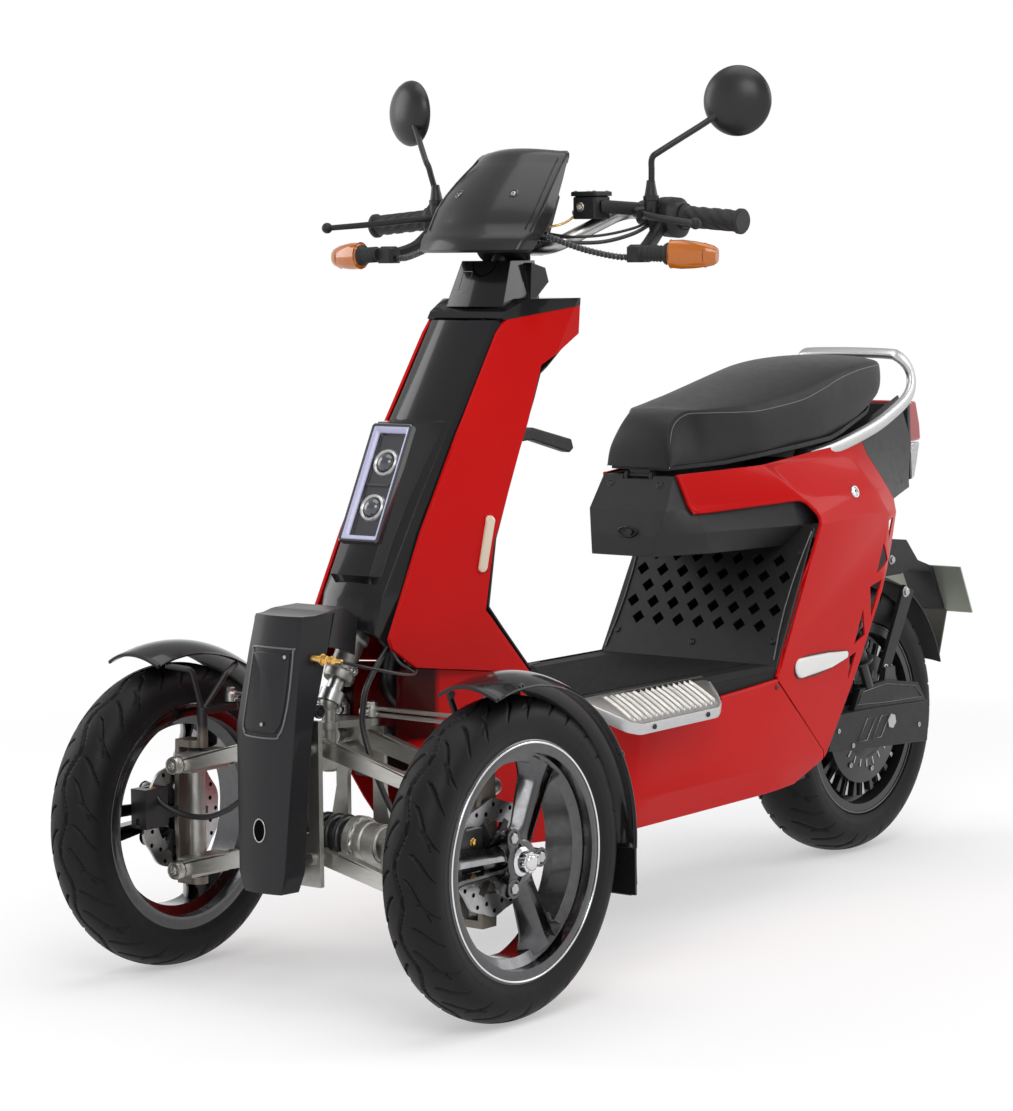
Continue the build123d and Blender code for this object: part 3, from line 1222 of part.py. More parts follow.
# Grab rail behind the seat
rail_bar_radius = 10.0
rail_bend = 26.0
rail_foot_radius = 7.0
rail_half = [(0.601, 0.805, 0.880), (0.640, 0.864, 0.897), (0.680, 0.936, 0.930), (0.640, 1.030, 0.988), (0.584, 1.045, 1.035), (0.528, 1.021, 1.077)]
rail_points = [(out(x), along(a), up(z)) for x, a, z in rail_half]
with BuildPart() as grab_rail:
    add(bent_rod(rail_points + [(-x, y, z) for x, y, z in reversed(rail_points)], rail_bar_radius, rail_bend))
    for side in (-1, 1):
        add(rod_between((side * out(0.600), along(0.810), up(0.858)), (side * out(0.600), along(0.810), up(0.880)), rail_foot_radius))
    add(rear_panel_left.part, mode=Mode.SUBTRACT)
    add(rear_panel_right.part, mode=Mode.SUBTRACT)
    add(seat_box.part, mode=Mode.SUBTRACT)
grab_rail.part.label = "grab_rail"

# Swingarm with its axle and cover, the two shocks and the rear fender with the plate
swing_x = 78.0
swing_half_width = 6.0
swing_axle_half_length = 98.0
swing_rows = ((0.731, 0.356), (0.731, 0.300), (0.994, 0.258), (1.027, 0.268), (1.037, 0.362), (1.034, 0.403), (1.012, 0.403), (1.003, 0.328),
              (0.973, 0.330), (0.967, 0.379), (0.947, 0.379), (0.939, 0.334))
with BuildPart() as swingarm:
    for side in (-1, 1):
        add(side_slab(swing_rows, side * swing_x - swing_half_width, side * swing_x + swing_half_width))
    with BuildSketch(Plane.YZ.offset(-swing_x)):
        with Locations(side_points(((0.745, 0.328),))[0]):
            Circle(tube_radius)
    extrude(amount=2 * swing_x)
    with BuildSketch(Plane.YZ.offset(-swing_axle_half_length)):
        with Locations((rear_wheel_y, rear_wheel_z)):
            Circle(rear_axle_radius)
    extrude(amount=2 * swing_axle_half_length)
    add(main_frame.part, mode=Mode.SUBTRACT)
swingarm.part.label = "swingarm"
cover_rows = ((0.853, 0.256), (0.861, 0.330), (0.957, 0.328), (1.096, 0.318), (1.090, 0.230), (0.901, 0.247))
cover_step_rows = ((0.918, 0.319), (0.936, 0.372), (0.998, 0.380), (1.076, 0.361), (1.096, 0.318), (0.964, 0.312))
cover_inner_x = swing_x + swing_half_width + seat_gap
cover_thickness = 20.0
cover_step_thickness = 12.0
with BuildPart() as swingarm_cover:
    add(side_slab(cover_rows, cover_inner_x, cover_inner_x + cover_thickness))
    add(side_slab(cover_step_rows, cover_inner_x, cover_inner_x + cover_step_thickness))
    with BuildSketch(Plane.YZ.offset(cover_inner_x)):
        with Locations((rear_wheel_y, rear_wheel_z)):
            Circle(rear_axle_radius + seat_gap)
    extrude(amount=swing_axle_half_length + overrun - cover_inner_x, mode=Mode.SUBTRACT)
swingarm_cover.part.label = "swingarm_cover"
shock_foot = (0.957, 0.372)
shock_head = (0.875, 0.651)
shock_radius = 8.0
shock_coil_radius = 20.0
shock_x = rail_x + tube_radius + shock_radius
with BuildPart() as rear_shocks:
    for side in (-1, 1):
        low = Vector(side * shock_x, *side_points((shock_foot,))[0])
        high = Vector(side * shock_x, *side_points((shock_head,))[0])
        add(rod_between(low, high, shock_radius))
        add(rod_between(low + (high - low) * 0.25, low + (high - low) * 0.85, shock_coil_radius))
        add(rod_between(low - Vector(side * (shock_x - swing_x), 0, 0), low, shock_radius / 2))
    add(swingarm.part, mode=Mode.SUBTRACT)
    add(swingarm_cover.part, mode=Mode.SUBTRACT)
    add(main_frame.part, mode=Mode.SUBTRACT)
rear_shocks.part.label = "rear_shocks"
rear_fender_radius = 256.0
rear_fender_edge = 244.0
rear_fender_half_width = 66.0
rear_fender_from = 72.0
rear_fender_arc = 76.0
with BuildPart() as rear_fender:
    with BuildSketch(radius_plane((0, rear_wheel_y, rear_wheel_z), rear_fender_from)):
        with BuildLine():
            ThreePointArc((-rear_fender_half_width, rear_fender_edge), (0, rear_fender_radius),
                          (rear_fender_half_width, rear_fender_edge))
            Line((rear_fender_half_width, rear_fender_edge),
                 (rear_fender_half_width, rear_fender_edge - fender_thickness))
            ThreePointArc((rear_fender_half_width, rear_fender_edge - fender_thickness),
                          (0, rear_fender_radius - fender_thickness),
                          (-rear_fender_half_width, rear_fender_edge - fender_thickness))
            Line((-rear_fender_half_width, rear_fender_edge - fender_thickness),
                 (-rear_fender_half_width, rear_fender_edge))
        make_face()
    revolve(axis=rear_axle, revolution_arc=rear_fender_arc)
    for side in (-1, 1):
        add(side_slab(((1.013, 0.388), (1.033, 0.383), (1.096, 0.557), (1.073, 0.573)), side * 68.2 - 3.8, side * 68.2 + 3.8))
    add(side_slab(((1.039, 0.600), (1.068, 0.670), (1.128, 0.662), (1.157, 0.613), (1.196, 0.593), (1.228, 0.490),
                   (1.223, 0.490), (1.190, 0.583), (1.146, 0.598), (1.113, 0.588), (1.076, 0.588)), -30, 30))
    add(swingarm.part, mode=Mode.SUBTRACT)
rear_fender.part.label = "rear_fender"
plate_half_width = 85.0
with BuildPart() as number_plate:
    add(side_slab(((1.197, 0.595), (1.229, 0.487), (1.231, 0.489), (1.199, 0.596)), -plate_half_width, plate_half_width))
number_plate.part.label = "number_plate"

# Handlebar and what it carries
bar_radius = 11.0
bar_bend = 40.0
grip_radius = 17.5
grip_start = 244.0
bar_half = ((1.961, 0.392, 1.360), (0.730, 0.401, 1.383), (0.337, 0.335, 1.315))
bar_points = [(out(x), along(a), up(z)) for x, a, z in bar_half]
with BuildPart() as handlebar:
    add(bent_rod(bar_points + [(-x, y, z) for x, y, z in reversed(bar_points)], bar_radius, bar_bend))
    add(side_slab(((0.288, 1.312), (0.315, 1.311), (0.352, 1.300), (0.349, 1.340), (0.323, 1.347), (0.291, 1.327)), -26, 26))
    add(steering_stem.part, mode=Mode.SUBTRACT)
handlebar.part.label = "handlebar"
bar_tip, bar_knee = Vector(*bar_points[0]), Vector(*bar_points[1])
bar_way = (bar_tip - bar_knee).normalized()


def on_bar(x):
    # the point of the left grip's axis at a distance from the middle
    return bar_knee + bar_way * ((x - bar_knee.X) / bar_way.X)


with BuildPart() as grip:
    add(rod_between(on_bar(grip_start), on_bar(bar_tip.X + 3), grip_radius))
    add(rod_between(on_bar(grip_start - overrun), on_bar(bar_tip.X), bar_radius + running_gap), mode=Mode.SUBTRACT)
with BuildPart() as grips:
    add(grip.part)
    mirror(grip.part, about=Plane.YZ)
grips.part.label = "grips"
with BuildPart() as switch_gear:
    add(rod_between(on_bar(194), on_bar(grip_start - 1), grip_radius + 5))
    add(rod_between(on_bar(190), on_bar(grip_start + overrun), bar_radius + running_gap), mode=Mode.SUBTRACT)
with BuildPart() as switches:
    add(switch_gear.part)
    mirror(switch_gear.part, about=Plane.YZ)
lever_rows = ((1.101, 0.375, 1.375), (1.303, 0.349, 1.370), (1.685, 0.326, 1.361), (1.961, 0.306, 1.356))
lever_points = [(out(x), along(a), up(z)) for x, a, z in lever_rows]
with BuildPart() as lever_left:
    add(bent_rod(lever_points, 5.0, 20.0))
    with Locations(lever_points[-1]):
        Sphere(8.5)
    add(rod_between(on_bar(164), on_bar(190), bar_radius + 8))
    with BuildSketch(Plane.XY.offset(up(1.367))):
        with Locations((out(1.011), along(0.380))):
            Rectangle(34, 40)
    extrude(amount=16)
    add(rod_between(on_bar(150), on_bar(200), bar_radius + running_gap), mode=Mode.SUBTRACT)
    add(switch_gear.part)
with BuildPart() as controls:
    add(lever_left.part)
    mirror(lever_left.part, about=Plane.YZ)
controls.part.label = "controls"

mirror_radius = 52.0
mirror_depth = 8.0
mirror_rim = 6.0
mirror_dome = 20.0
mirror_toe = 17.0
mirror_centre = Vector(out(1.758), along(0.423), up(1.581))
mirror_back = Vector(sin(radians(mirror_toe)), -cos(radians(mirror_toe)), 0)
mirror_plane = Plane(origin=mirror_centre, x_dir=mirror_back, z_dir=mirror_back.cross(Vector(0, 0, 1)))
with BuildPart() as mirror_left:
    with BuildSketch(mirror_plane):
        with BuildLine():
            Polyline((mirror_dome, 0), (-mirror_depth, 0), (-mirror_depth, mirror_radius),
                     (-mirror_depth + mirror_rim, mirror_radius))
            ThreePointArc((-mirror_depth + mirror_rim, mirror_radius), (mirror_dome * 0.4, mirror_radius * 0.72),
                          (mirror_dome, 0))
        make_face()
    revolve(axis=Axis(mirror_centre, mirror_back))
    add(bent_rod([(out(1.146), along(0.375), up(1.380)), (out(1.197), along(0.366), up(1.479)),
                  (out(1.629), along(0.412), up(1.558)), (out(1.742), along(0.415), up(1.577))], 5.0, 9.0))
with BuildPart() as mirrors:
    add(mirror_left.part)
    mirror(mirror_left.part, about=Plane.YZ)
    add(controls.part, mode=Mode.SUBTRACT)
mirrors.part.label = "mirrors"
with BuildPart() as signal_left:
    add(bent_rod([(out(1.213), along(0.386), up(1.363)), (out(1.247), along(0.349), up(1.312)),
                  (out(1.404), along(0.315), up(1.304)), (out(1.640), along(0.317), up(1.302))], 9.0, 12.0))
with BuildPart() as signal_stems:
    add(signal_left.part)
    mirror(signal_left.part, about=Plane.YZ)
    add(controls.part, mode=Mode.SUBTRACT)
    add(handlebar.part, mode=Mode.SUBTRACT)
signal_stems.part.label = "signal_stems"
lens_plane = Plane(origin=(out(1.640), along(0.317), up(1.302)), z_dir=(73, 19, -3))
with BuildPart() as lens:
    with BuildSketch(lens_plane):
        Ellipse(15, 21)
    with BuildSketch(lens_plane.offset(75)):
        Ellipse(9, 14)
    loft()
with BuildPart() as signal_lenses:
    add(lens.part)
    mirror(lens.part, about=Plane.YZ)
    add(signal_stems.part, mode=Mode.SUBTRACT)
signal_lenses.part.label = "signal_lenses"

screen_sections = (
    (1.309, 0.500, 0.252, 0.135, 0.511, 0.286), (1.327, 0.522, 0.254, 0.140, 0.534, 0.291), (1.438, 0.433, 0.315, 0.112, 0.438, 0.349),
    (1.480, 0.371, 0.341, 0.096, 0.376, 0.377), (1.498, 0.315, 0.361, 0.079, 0.326, 0.389),
)
screen_wall = 3.0
screen_outer = bow_loft(screen_sections, 0, 0)
with BuildPart() as screen_top:
    add(screen_outer)
    add(side_slab(((0.297, 1.494), (0.415, 1.494), (0.415, 1.498), (0.297, 1.498)), -body_half_width, body_half_width),
        mode=Mode.INTERSECT)
with BuildPart() as windshield:
    add(screen_outer)
    add(bow_loft(screen_sections, screen_wall, 2 * overrun), mode=Mode.SUBTRACT)
    add(screen_top.part)
    add(side_slab(((0.231, 1.312), (0.292, 1.312), (0.292, 1.326), (0.239, 1.326)), -26, 26))
    add(handlebar.part, mode=Mode.SUBTRACT)
windshield.part.label = "windshield"
with BuildPart() as display:
    add(side_slab(((0.323, 1.333), (0.349, 1.329), (0.371, 1.410), (0.355, 1.438)), -40, 40))
    add(handlebar.part, mode=Mode.SUBTRACT)
    add(windshield.part, mode=Mode.SUBTRACT)
display.part.label = "display"

os.makedirs("parts", exist_ok=True)
for piece in list(globals().values()):
    if isinstance(piece, BuildPart) and piece.part.label:
        export_step(piece.part, f"parts/{piece.part.label}.step")
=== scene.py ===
import bpy
import bmesh
import numpy as np
from math import cos, pi, radians, sin, sqrt
from mathutils import Matrix, Vector


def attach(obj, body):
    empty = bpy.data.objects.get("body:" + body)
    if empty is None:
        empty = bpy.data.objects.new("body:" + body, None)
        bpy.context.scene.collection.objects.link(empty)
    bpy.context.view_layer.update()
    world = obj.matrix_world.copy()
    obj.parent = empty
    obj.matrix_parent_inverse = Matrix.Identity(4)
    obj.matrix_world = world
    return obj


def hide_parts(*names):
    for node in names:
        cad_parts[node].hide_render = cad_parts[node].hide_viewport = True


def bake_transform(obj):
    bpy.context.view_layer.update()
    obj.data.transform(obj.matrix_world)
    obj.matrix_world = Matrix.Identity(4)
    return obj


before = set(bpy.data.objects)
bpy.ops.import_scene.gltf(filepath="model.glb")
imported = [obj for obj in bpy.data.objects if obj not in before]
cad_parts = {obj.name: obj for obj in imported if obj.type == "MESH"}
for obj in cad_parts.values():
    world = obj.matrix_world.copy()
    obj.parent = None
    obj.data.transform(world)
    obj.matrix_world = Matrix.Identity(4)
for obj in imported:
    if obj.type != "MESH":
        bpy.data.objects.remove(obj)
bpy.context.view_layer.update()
print("frame loaded:", len(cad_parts), "nodes")

# places are written as x, distance behind the front axle and height, in millimetres
wheels = {"frontY": -0.715, "frontZ": 0.2245, "frontX": 0.3115, "rearY": 0.633, "rearZ": 0.2335}


def at(x, behind, height):
    return Vector((x / 1000, wheels["frontY"] + behind / 1000, height / 1000))


# shader maths: a wrapped socket takes part in plain Python sums
class Wire:
    def __init__(self, finish, socket):
        self.finish = finish
        self.socket = socket

    def maths(self, operation, *others):
        node = self.finish.node("ShaderNodeMath", {"operation": operation}, self, *others)
        return Wire(self.finish, node.outputs[0])

    def __add__(self, other):
        return self.maths("ADD", other)

    __radd__ = __add__

    def __sub__(self, other):
        return self.maths("SUBTRACT", other)

    def __rsub__(self, other):
        return self.finish.flat(other).maths("SUBTRACT", self)

    def __mul__(self, other):
        return self.maths("MULTIPLY", other)

    __rmul__ = __mul__

    def __pow__(self, other):
        return self.maths("POWER", other)

    def clamp(self):
        return self.maths("MINIMUM", 1).maths("MAXIMUM", 0)


class Finish:
    # one procedural material round a single glossy shader
    def __init__(self, name, edge=0.0, **fixed):
        self.material = bpy.data.materials.new(name)
        self.material.use_nodes = True
        self.tree = self.material.node_tree
        self.tree.nodes.clear()
        output = self.tree.nodes.new("ShaderNodeOutputMaterial")
        self.shader = self.tree.nodes.new("ShaderNodeBsdfPrincipled")
        self.tree.links.new(self.shader.outputs[0], output.inputs[0])
        for socketName, value in fixed.items():
            self.shader.inputs[socketName.replace("_", " ")].default_value = value
        self.place = Wire(self, self.tree.nodes.new("ShaderNodeTexCoord").outputs["Object"])
        self.normal = None
        if edge:
            self.normal = Wire(self, self.node("ShaderNodeBevel", {"samples": 4}, edge).outputs[0])
            self.feed("Normal", self.normal)

    def node(self, kind, settings, *inputs, **named):
        made = self.tree.nodes.new(kind)
        for key, value in settings.items():
            setattr(made, key, value)
        named = [(made.inputs[key.replace("_", " ")], value) for key, value in named.items()]
        for socket, value in list(zip(made.inputs, inputs)) + named:
            if isinstance(value, Wire):
                self.tree.links.new(value.socket, socket)
            elif value is not None:
                socket.default_value = value
        return made

    def flat(self, number):
        return Wire(self, self.node("ShaderNodeMath", {"operation": "ADD"}, number, 0.0).outputs[0])

    def stretched(self, x, y, z):
        return Wire(self, self.node("ShaderNodeMapping", {}, self.place, Scale=(x, y, z)).outputs[0])

    def axes(self):
        split = self.node("ShaderNodeSeparateXYZ", {}, self.place)
        return [Wire(self, socket) for socket in split.outputs]

    def clouds(self, scale, detail=2.0, vector=None):
        made = self.node("ShaderNodeTexNoise", {}, vector or self.place, Scale=scale, Detail=detail)
        return Wire(self, made.outputs[0])

    def cells(self, scale):
        made = self.node("ShaderNodeTexVoronoi", {}, self.place, Scale=scale)
        return Wire(self, made.outputs["Distance"])

    def blend(self, factor, first, second):
        mixer = self.tree.nodes.new("ShaderNodeMix")
        mixer.data_type = "RGBA"
        for index, value in ((0, factor), (6, first), (7, second)):
            if isinstance(value, Wire):
                self.tree.links.new(value.socket, mixer.inputs[index])
            elif index == 0:
                mixer.inputs[index].default_value = value
            else:
                mixer.inputs[index].default_value = (*value, 1.0)
        return Wire(self, mixer.outputs[2])

    def feed(self, socketName, value):
        self.tree.links.new(value.socket, self.shader.inputs[socketName])

    def raised(self, height, distance, strength=1.0):
        made = self.node("ShaderNodeBump", {}, Strength=strength, Distance=distance, Height=height)
        if self.normal:
            self.tree.links.new(self.normal.socket, made.inputs["Normal"])
        self.normal = Wire(self, made.outputs[0])
        self.feed("Normal", self.normal)


def paint(name, colour, colourTwo, rough, edge=0.0016, peel=0.00004, **fixed):
    # a sprayed or moulded gloss skin: slight drift in colour, orange peel, a few dull patches
    made = Finish(name, edge, **fixed)
    drift = made.clouds(7.0)
    made.feed("Base Color", made.blend(drift, colour, colourTwo))
    made.feed("Roughness", made.clouds(23.0, 3.0) * 0.10 + (rough - 0.05))
    made.raised(made.clouds(420.0, 1.0), peel, 0.5)
    return made


def metal(name, colour, colourTwo, rough, edge=0.0008, stroke=(1, 1, 1), grain=0.00006, **fixed):
    # brushed or cast metal: streaks or grain along one direction
    made = Finish(name, edge, Metallic=1.0, **fixed)
    streaks = made.clouds(90.0, 4.0, made.stretched(*stroke))
    made.feed("Base Color", made.blend(streaks, colour, colourTwo))
    made.feed("Roughness", streaks * 0.22 + (rough - 0.11))
    made.raised(made.clouds(260.0, 3.0, made.stretched(*stroke)), grain, 0.7)
    return made


def moulded(name, colour, rough, grain=900.0, depth=0.00012, edge=0.0012, **fixed):
    # grained plastic or rubber
    made = Finish(name, edge, **fixed)
    darker = tuple(c * 0.72 for c in colour)
    made.feed("Base Color", made.blend(made.clouds(35.0, 3.0), colour, darker))
    made.feed("Roughness", made.clouds(60.0, 2.0) * 0.16 + (rough - 0.08))
    made.raised(made.cells(grain), depth, 0.6)
    return made


finishes = {
    "redGloss": paint("red_gloss", (0.55, 0.006, 0.005), (0.48, 0.004, 0.004), 0.25, 0.0022,
                      Coat_Weight=0.16, Coat_Roughness=0.04, Coat_IOR=1.33, IOR=1.15),
    "glossBlack": paint("gloss_black", (0.007, 0.007, 0.008), (0.012, 0.012, 0.013), 0.20, 0.0020,
                        Coat_Weight=0.38, Coat_Roughness=0.05, Specular_IOR_Level=0.16),
    "semiBlack": paint("semi_black", (0.014, 0.014, 0.016), (0.020, 0.020, 0.022), 0.33, 0.0020,
                       Coat_Weight=0.15, Coat_Roughness=0.15, Specular_IOR_Level=0.2),
    "cowlGrey": paint("cowl_grey", (0.012, 0.012, 0.013), (0.018, 0.018, 0.019), 0.32, 0.0014,
                      Coat_Weight=0.26, Coat_Roughness=0.12, Specular_IOR_Level=0.22),
    "matteBlack": moulded("matte_black", (0.014, 0.014, 0.015), 0.52, Specular_IOR_Level=0.35),
    "tailGrey": moulded("tail_grey", (0.026, 0.026, 0.028), 0.46, Specular_IOR_Level=0.35),
    "boardRubber": moulded("board_rubber", (0.012, 0.012, 0.013), 0.62, 500.0, Specular_IOR_Level=0.2),
    "gripRubber": moulded("grip_rubber", (0.015, 0.015, 0.016), 0.6, 700.0),
    "tyreRubber": moulded("tyre_rubber", (0.009, 0.009, 0.010), 0.50, 1200.0, 0.00006, 0.0005,
                          Specular_IOR_Level=0.18),
    "blackSteel": paint("black_steel", (0.014, 0.014, 0.015), (0.022, 0.022, 0.024), 0.34, 0.0010),
    "rawAluminium": metal("raw_aluminium", (0.62, 0.61, 0.57), (0.46, 0.45, 0.42), 0.36, 0.0010,
                          (0.6, 4.0, 4.0)),
    "castSilver": metal("cast_silver", (0.50, 0.49, 0.46), (0.36, 0.35, 0.33), 0.46, 0.0014, (1, 1, 1),
                        0.00016),
    "steel": metal("steel", (0.52, 0.52, 0.51), (0.40, 0.40, 0.40), 0.34, 0.0006),
    "chrome": metal("chrome", (0.72, 0.72, 0.73), (0.62, 0.62, 0.63), 0.16, 0.0006, (1, 1, 1), 0.00001),
    "brass": metal("brass", (0.80, 0.50, 0.16), (0.66, 0.38, 0.10), 0.26, 0.0005),
    "gunmetal": metal("gunmetal", (0.105, 0.105, 0.108), (0.070, 0.070, 0.074), 0.24, 0.0010, (1, 1, 1),
                      0.00002, Coat_Weight=0.5, Coat_Roughness=0.06),
    "rimEdge": metal("rim_edge", (0.82, 0.82, 0.83), (0.70, 0.70, 0.72), 0.16, 0.0004, (1, 1, 1), 0.00001),
    "discSteel": metal("disc_steel", (0.50, 0.50, 0.50), (0.36, 0.36, 0.37), 0.30, 0.0004),
    "seatVinyl": moulded("seat_vinyl", (0.015, 0.015, 0.016), 0.52, 620.0, 0.00020, 0.0, Sheen_Weight=0.08,
                         Specular_IOR_Level=0.26),
    "amberLens": paint("amber_lens", (0.66, 0.19, 0.006), (0.48, 0.11, 0.004), 0.12, 0.0008,
                       Coat_Weight=0.4, Transmission_Weight=0.12),
    "redLens": paint("red_lens", (0.42, 0.006, 0.010), (0.26, 0.003, 0.006), 0.10, 0.0008, Coat_Weight=1.0),
    "clearLens": paint("clear_lens", (0.80, 0.80, 0.82), (0.72, 0.72, 0.75), 0.10, 0.0008, Coat_Weight=1.0,
                       Transmission_Weight=0.5),
    "lampDark": paint("lamp_dark", (0.020, 0.020, 0.024), (0.035, 0.035, 0.040), 0.10, 0.0006,
                      Coat_Weight=1.0),
    "lampRing": paint("lamp_ring", (0.50, 0.50, 0.66), (0.42, 0.42, 0.62), 0.20, 0.0012,
                      Emission_Color=(0.62, 0.62, 0.95, 1), Emission_Strength=0.05),
    "mirrorDark": paint("projector_glass", (0.060, 0.063, 0.075), (0.030, 0.032, 0.042), 0.05, 0.0006,
                        Coat_Weight=1.0),
    "coverLine": paint("cover_line", (0.11, 0.11, 0.115), (0.08, 0.08, 0.085), 0.22, 0.0, Coat_Weight=0.5),
    # near black, dull and hardly reflecting: painted shade for the insides of holes, slots, notches and
    # wells
    "holeDark": moulded("hole_dark", (0.002, 0.002, 0.002), 0.9, Specular_IOR_Level=0.05),
    "flapOlive": moulded("flap_olive", (0.050, 0.048, 0.036), 0.55),
    "mirrorShell": paint("mirror_shell", (0.010, 0.010, 0.011), (0.015, 0.015, 0.016), 0.34, 0.0,
                         Specular_IOR_Level=0.4),
    "lampRimAmber": paint("amber_seam", (0.20, 0.05, 0.004), (0.14, 0.03, 0.003), 0.2, 0.0),
    "sideLamp": paint("side_lamp", (0.78, 0.78, 0.76), (0.70, 0.70, 0.69), 0.18, 0.0, Coat_Weight=0.6),
    "satinSilver": metal("satin_silver", (0.60, 0.60, 0.60), (0.50, 0.50, 0.50), 0.40, 0.0, (4, 0.6, 4),
                         0.00003),
    "reflector": paint("reflector", (0.72, 0.60, 0.46), (0.60, 0.48, 0.34), 0.20, 0.0010, Coat_Weight=1.0),
    "plateMetal": paint("plate_metal", (0.36, 0.40, 0.32), (0.30, 0.32, 0.28), 0.34, 0.0005, Metallic=0.5),
    "batteryCase": moulded("battery_case", (0.05, 0.05, 0.055), 0.5),
    "thread": moulded("thread", (0.42, 0.42, 0.40), 0.7, 2000.0, 0.00003, 0.0),
    "cable": moulded("cable", (0.012, 0.012, 0.013), 0.38, 400.0, 0.00004, 0.0),
    "mirrorGlass": metal("mirror_glass", (0.88, 0.89, 0.90), (0.86, 0.87, 0.88), 0.06, 0.0, (1, 1, 1),
                         0.000002),
}
# knuckles: brown-grey castings whose upper stays are painted black
cast = finishes["knuckleCast"] = Finish("knuckle_cast", 0.0012)
painted = ((cast.axes()[2] - 0.345) * 60).clamp()
grain = cast.clouds(120.0, 3.0)
cast.feed("Base Color", cast.blend(painted, (0.20, 0.175, 0.15), (0.014, 0.014, 0.015)))
cast.feed("Metallic", (1 - painted) * (grain * 0.3 + 0.6))
cast.feed("Roughness", grain * 0.2 + 0.34)
cast.raised(grain, 0.00020, 0.7)
# belly: the same red, with painted shade darkening its upper front corner, where it lies inside the leg
# shield
belly = finishes["bellyRed"] = Finish("belly_red", 0.0022, Roughness=0.25, Coat_Weight=0.16,
                                      Coat_Roughness=0.04, Coat_IOR=1.33, IOR=1.15)
_, behind, tall = belly.axes()
paintedShade = ((behind * -1 - 0.565) * 90).clamp() * ((tall - 0.345) * 90).clamp()
belly.feed("Base Color", belly.blend(paintedShade, (0.53, 0.005, 0.005), (0.045, 0.003, 0.003)))
belly.raised(belly.clouds(420.0, 1.0), 0.00004, 0.5)
nodeFinish = {
    "redGloss": ("leg_panel_left", "leg_panel_right", "belly_panel_left", "belly_panel_right",
                 "rear_panel_left", "rear_panel_right"),
    "glossBlack": ("front_cover", "neck_cover", "fender_left", "fender_right"),
    "semiBlack": ("fork_cover",),
    "cowlGrey": ("windshield",),
    "tailGrey": ("tail_panels",),
    "matteBlack": ("inner_shield", "bag_hook", "belly_tray", "seat_box", "grille_panel", "rear_fender",
                   "swingarm_cover", "display",
                   "seat_pan", "mirrors", "controls", "signal_stems"),
    "boardRubber": ("floor_board",),
    "rawAluminium": ("upper_arms", "lower_arms", "footrests", "grab_rail", "tie_rod_left", "tie_rod_right"),
    "castSilver": ("bulkhead_plates", "carriers", "relay", "damper"),
    "steel": ("steering_stem", "handlebar"),
    "blackSteel": ("main_frame", "damper_spring", "swingarm", "rear_shocks", "caliper_left",
                   "caliper_right", "rear_rim"),
    "knuckleCast": ("knuckle_left", "knuckle_right"),
    "gunmetal": ("front_rim_left", "front_rim_right"),
    "tyreRubber": ("front_tyre_left", "front_tyre_right", "rear_tyre"),
    "gripRubber": ("grips",),
    "seatVinyl": ("seat_cushion",),
    "amberLens": ("signal_lenses",),
    "lampDark": ("headlamp",),
    "redLens": ("tail_lamp",),
    "plateMetal": ("number_plate",),
    "batteryCase": ("battery_block",),
}
for finishName, members in nodeFinish.items():
    for member in members:
        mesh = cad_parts[member].data
        mesh.materials.clear()
        mesh.materials.append(finishes[finishName].material)
print("finishes made:", len(finishes))


def linked(name, data):
    made = bpy.data.objects.new(name, data)
    bpy.context.scene.collection.objects.link(made)
    return made


# camera, light and floor
cameraSet = {"place": (3.05639, -4.20554, 1.06666), "azimuth": 38.07, "elevation": 5.49, "roll": -0.54,
             "lens": 106.94}


def placeCamera(setting):
    azimuth, elevation, roll = (radians(setting[key]) for key in ("azimuth", "elevation", "roll"))
    back = Vector((sin(azimuth) * cos(elevation), -cos(azimuth) * cos(elevation), sin(elevation)))
    right = Vector((cos(azimuth), sin(azimuth), 0))
    up = back.cross(right)
    right, up = right * cos(roll) + up * sin(roll), up * cos(roll) - right * sin(roll)
    data = bpy.data.cameras.new("view")
    data.lens = setting["lens"]
    data.sensor_width = 36
    data.clip_end = 60
    camera = linked("view", data)
    matrix = Matrix((right, up, back)).transposed().to_4x4()
    matrix.translation = Vector(setting["place"])
    camera.matrix_world = matrix
    bpy.context.scene.camera = camera


placeCamera(cameraSet)

lampSet = {
    "key": ((2.6, -3.4, 3.6), (0, 0, 0.6), 2.6, 2.0, 78),
    "side": ((-3.8, -1.6, 2.2), (0, 0, 0.5), 2.4, 2.8, 56),
    "rear": ((2.8, 3.4, 2.6), (0, 0.2, 0.6), 2.4, 2.4, 50),
    "top": ((0.2, 0.0, 4.2), (0, 0, 0), 3.2, 3.2, 60),
}
for lampName, (place, goal, width, height, power) in lampSet.items():
    data = bpy.data.lights.new(lampName, "AREA")
    data.shape = "RECTANGLE"
    data.size, data.size_y, data.energy = width, height, power
    lamp = linked(lampName, data)
    lamp.location = place
    lamp.rotation_euler = (Vector(goal) - Vector(place)).to_track_quat("-Z", "Y").to_euler()

world = bpy.data.worlds.new("studio")
bpy.context.scene.world = world
world.use_nodes = True
floorMesh = bpy.data.meshes.new("floor")
floorMesh.from_pydata([(-40, -40, 0), (40, -40, 0), (40, 40, 0), (-40, 40, 0)], [], [(0, 1, 2, 3)])
floor = linked("floor", floorMesh)
paper = bpy.data.materials.new("paper")
paper.use_nodes = True
floorMesh.materials.append(paper)


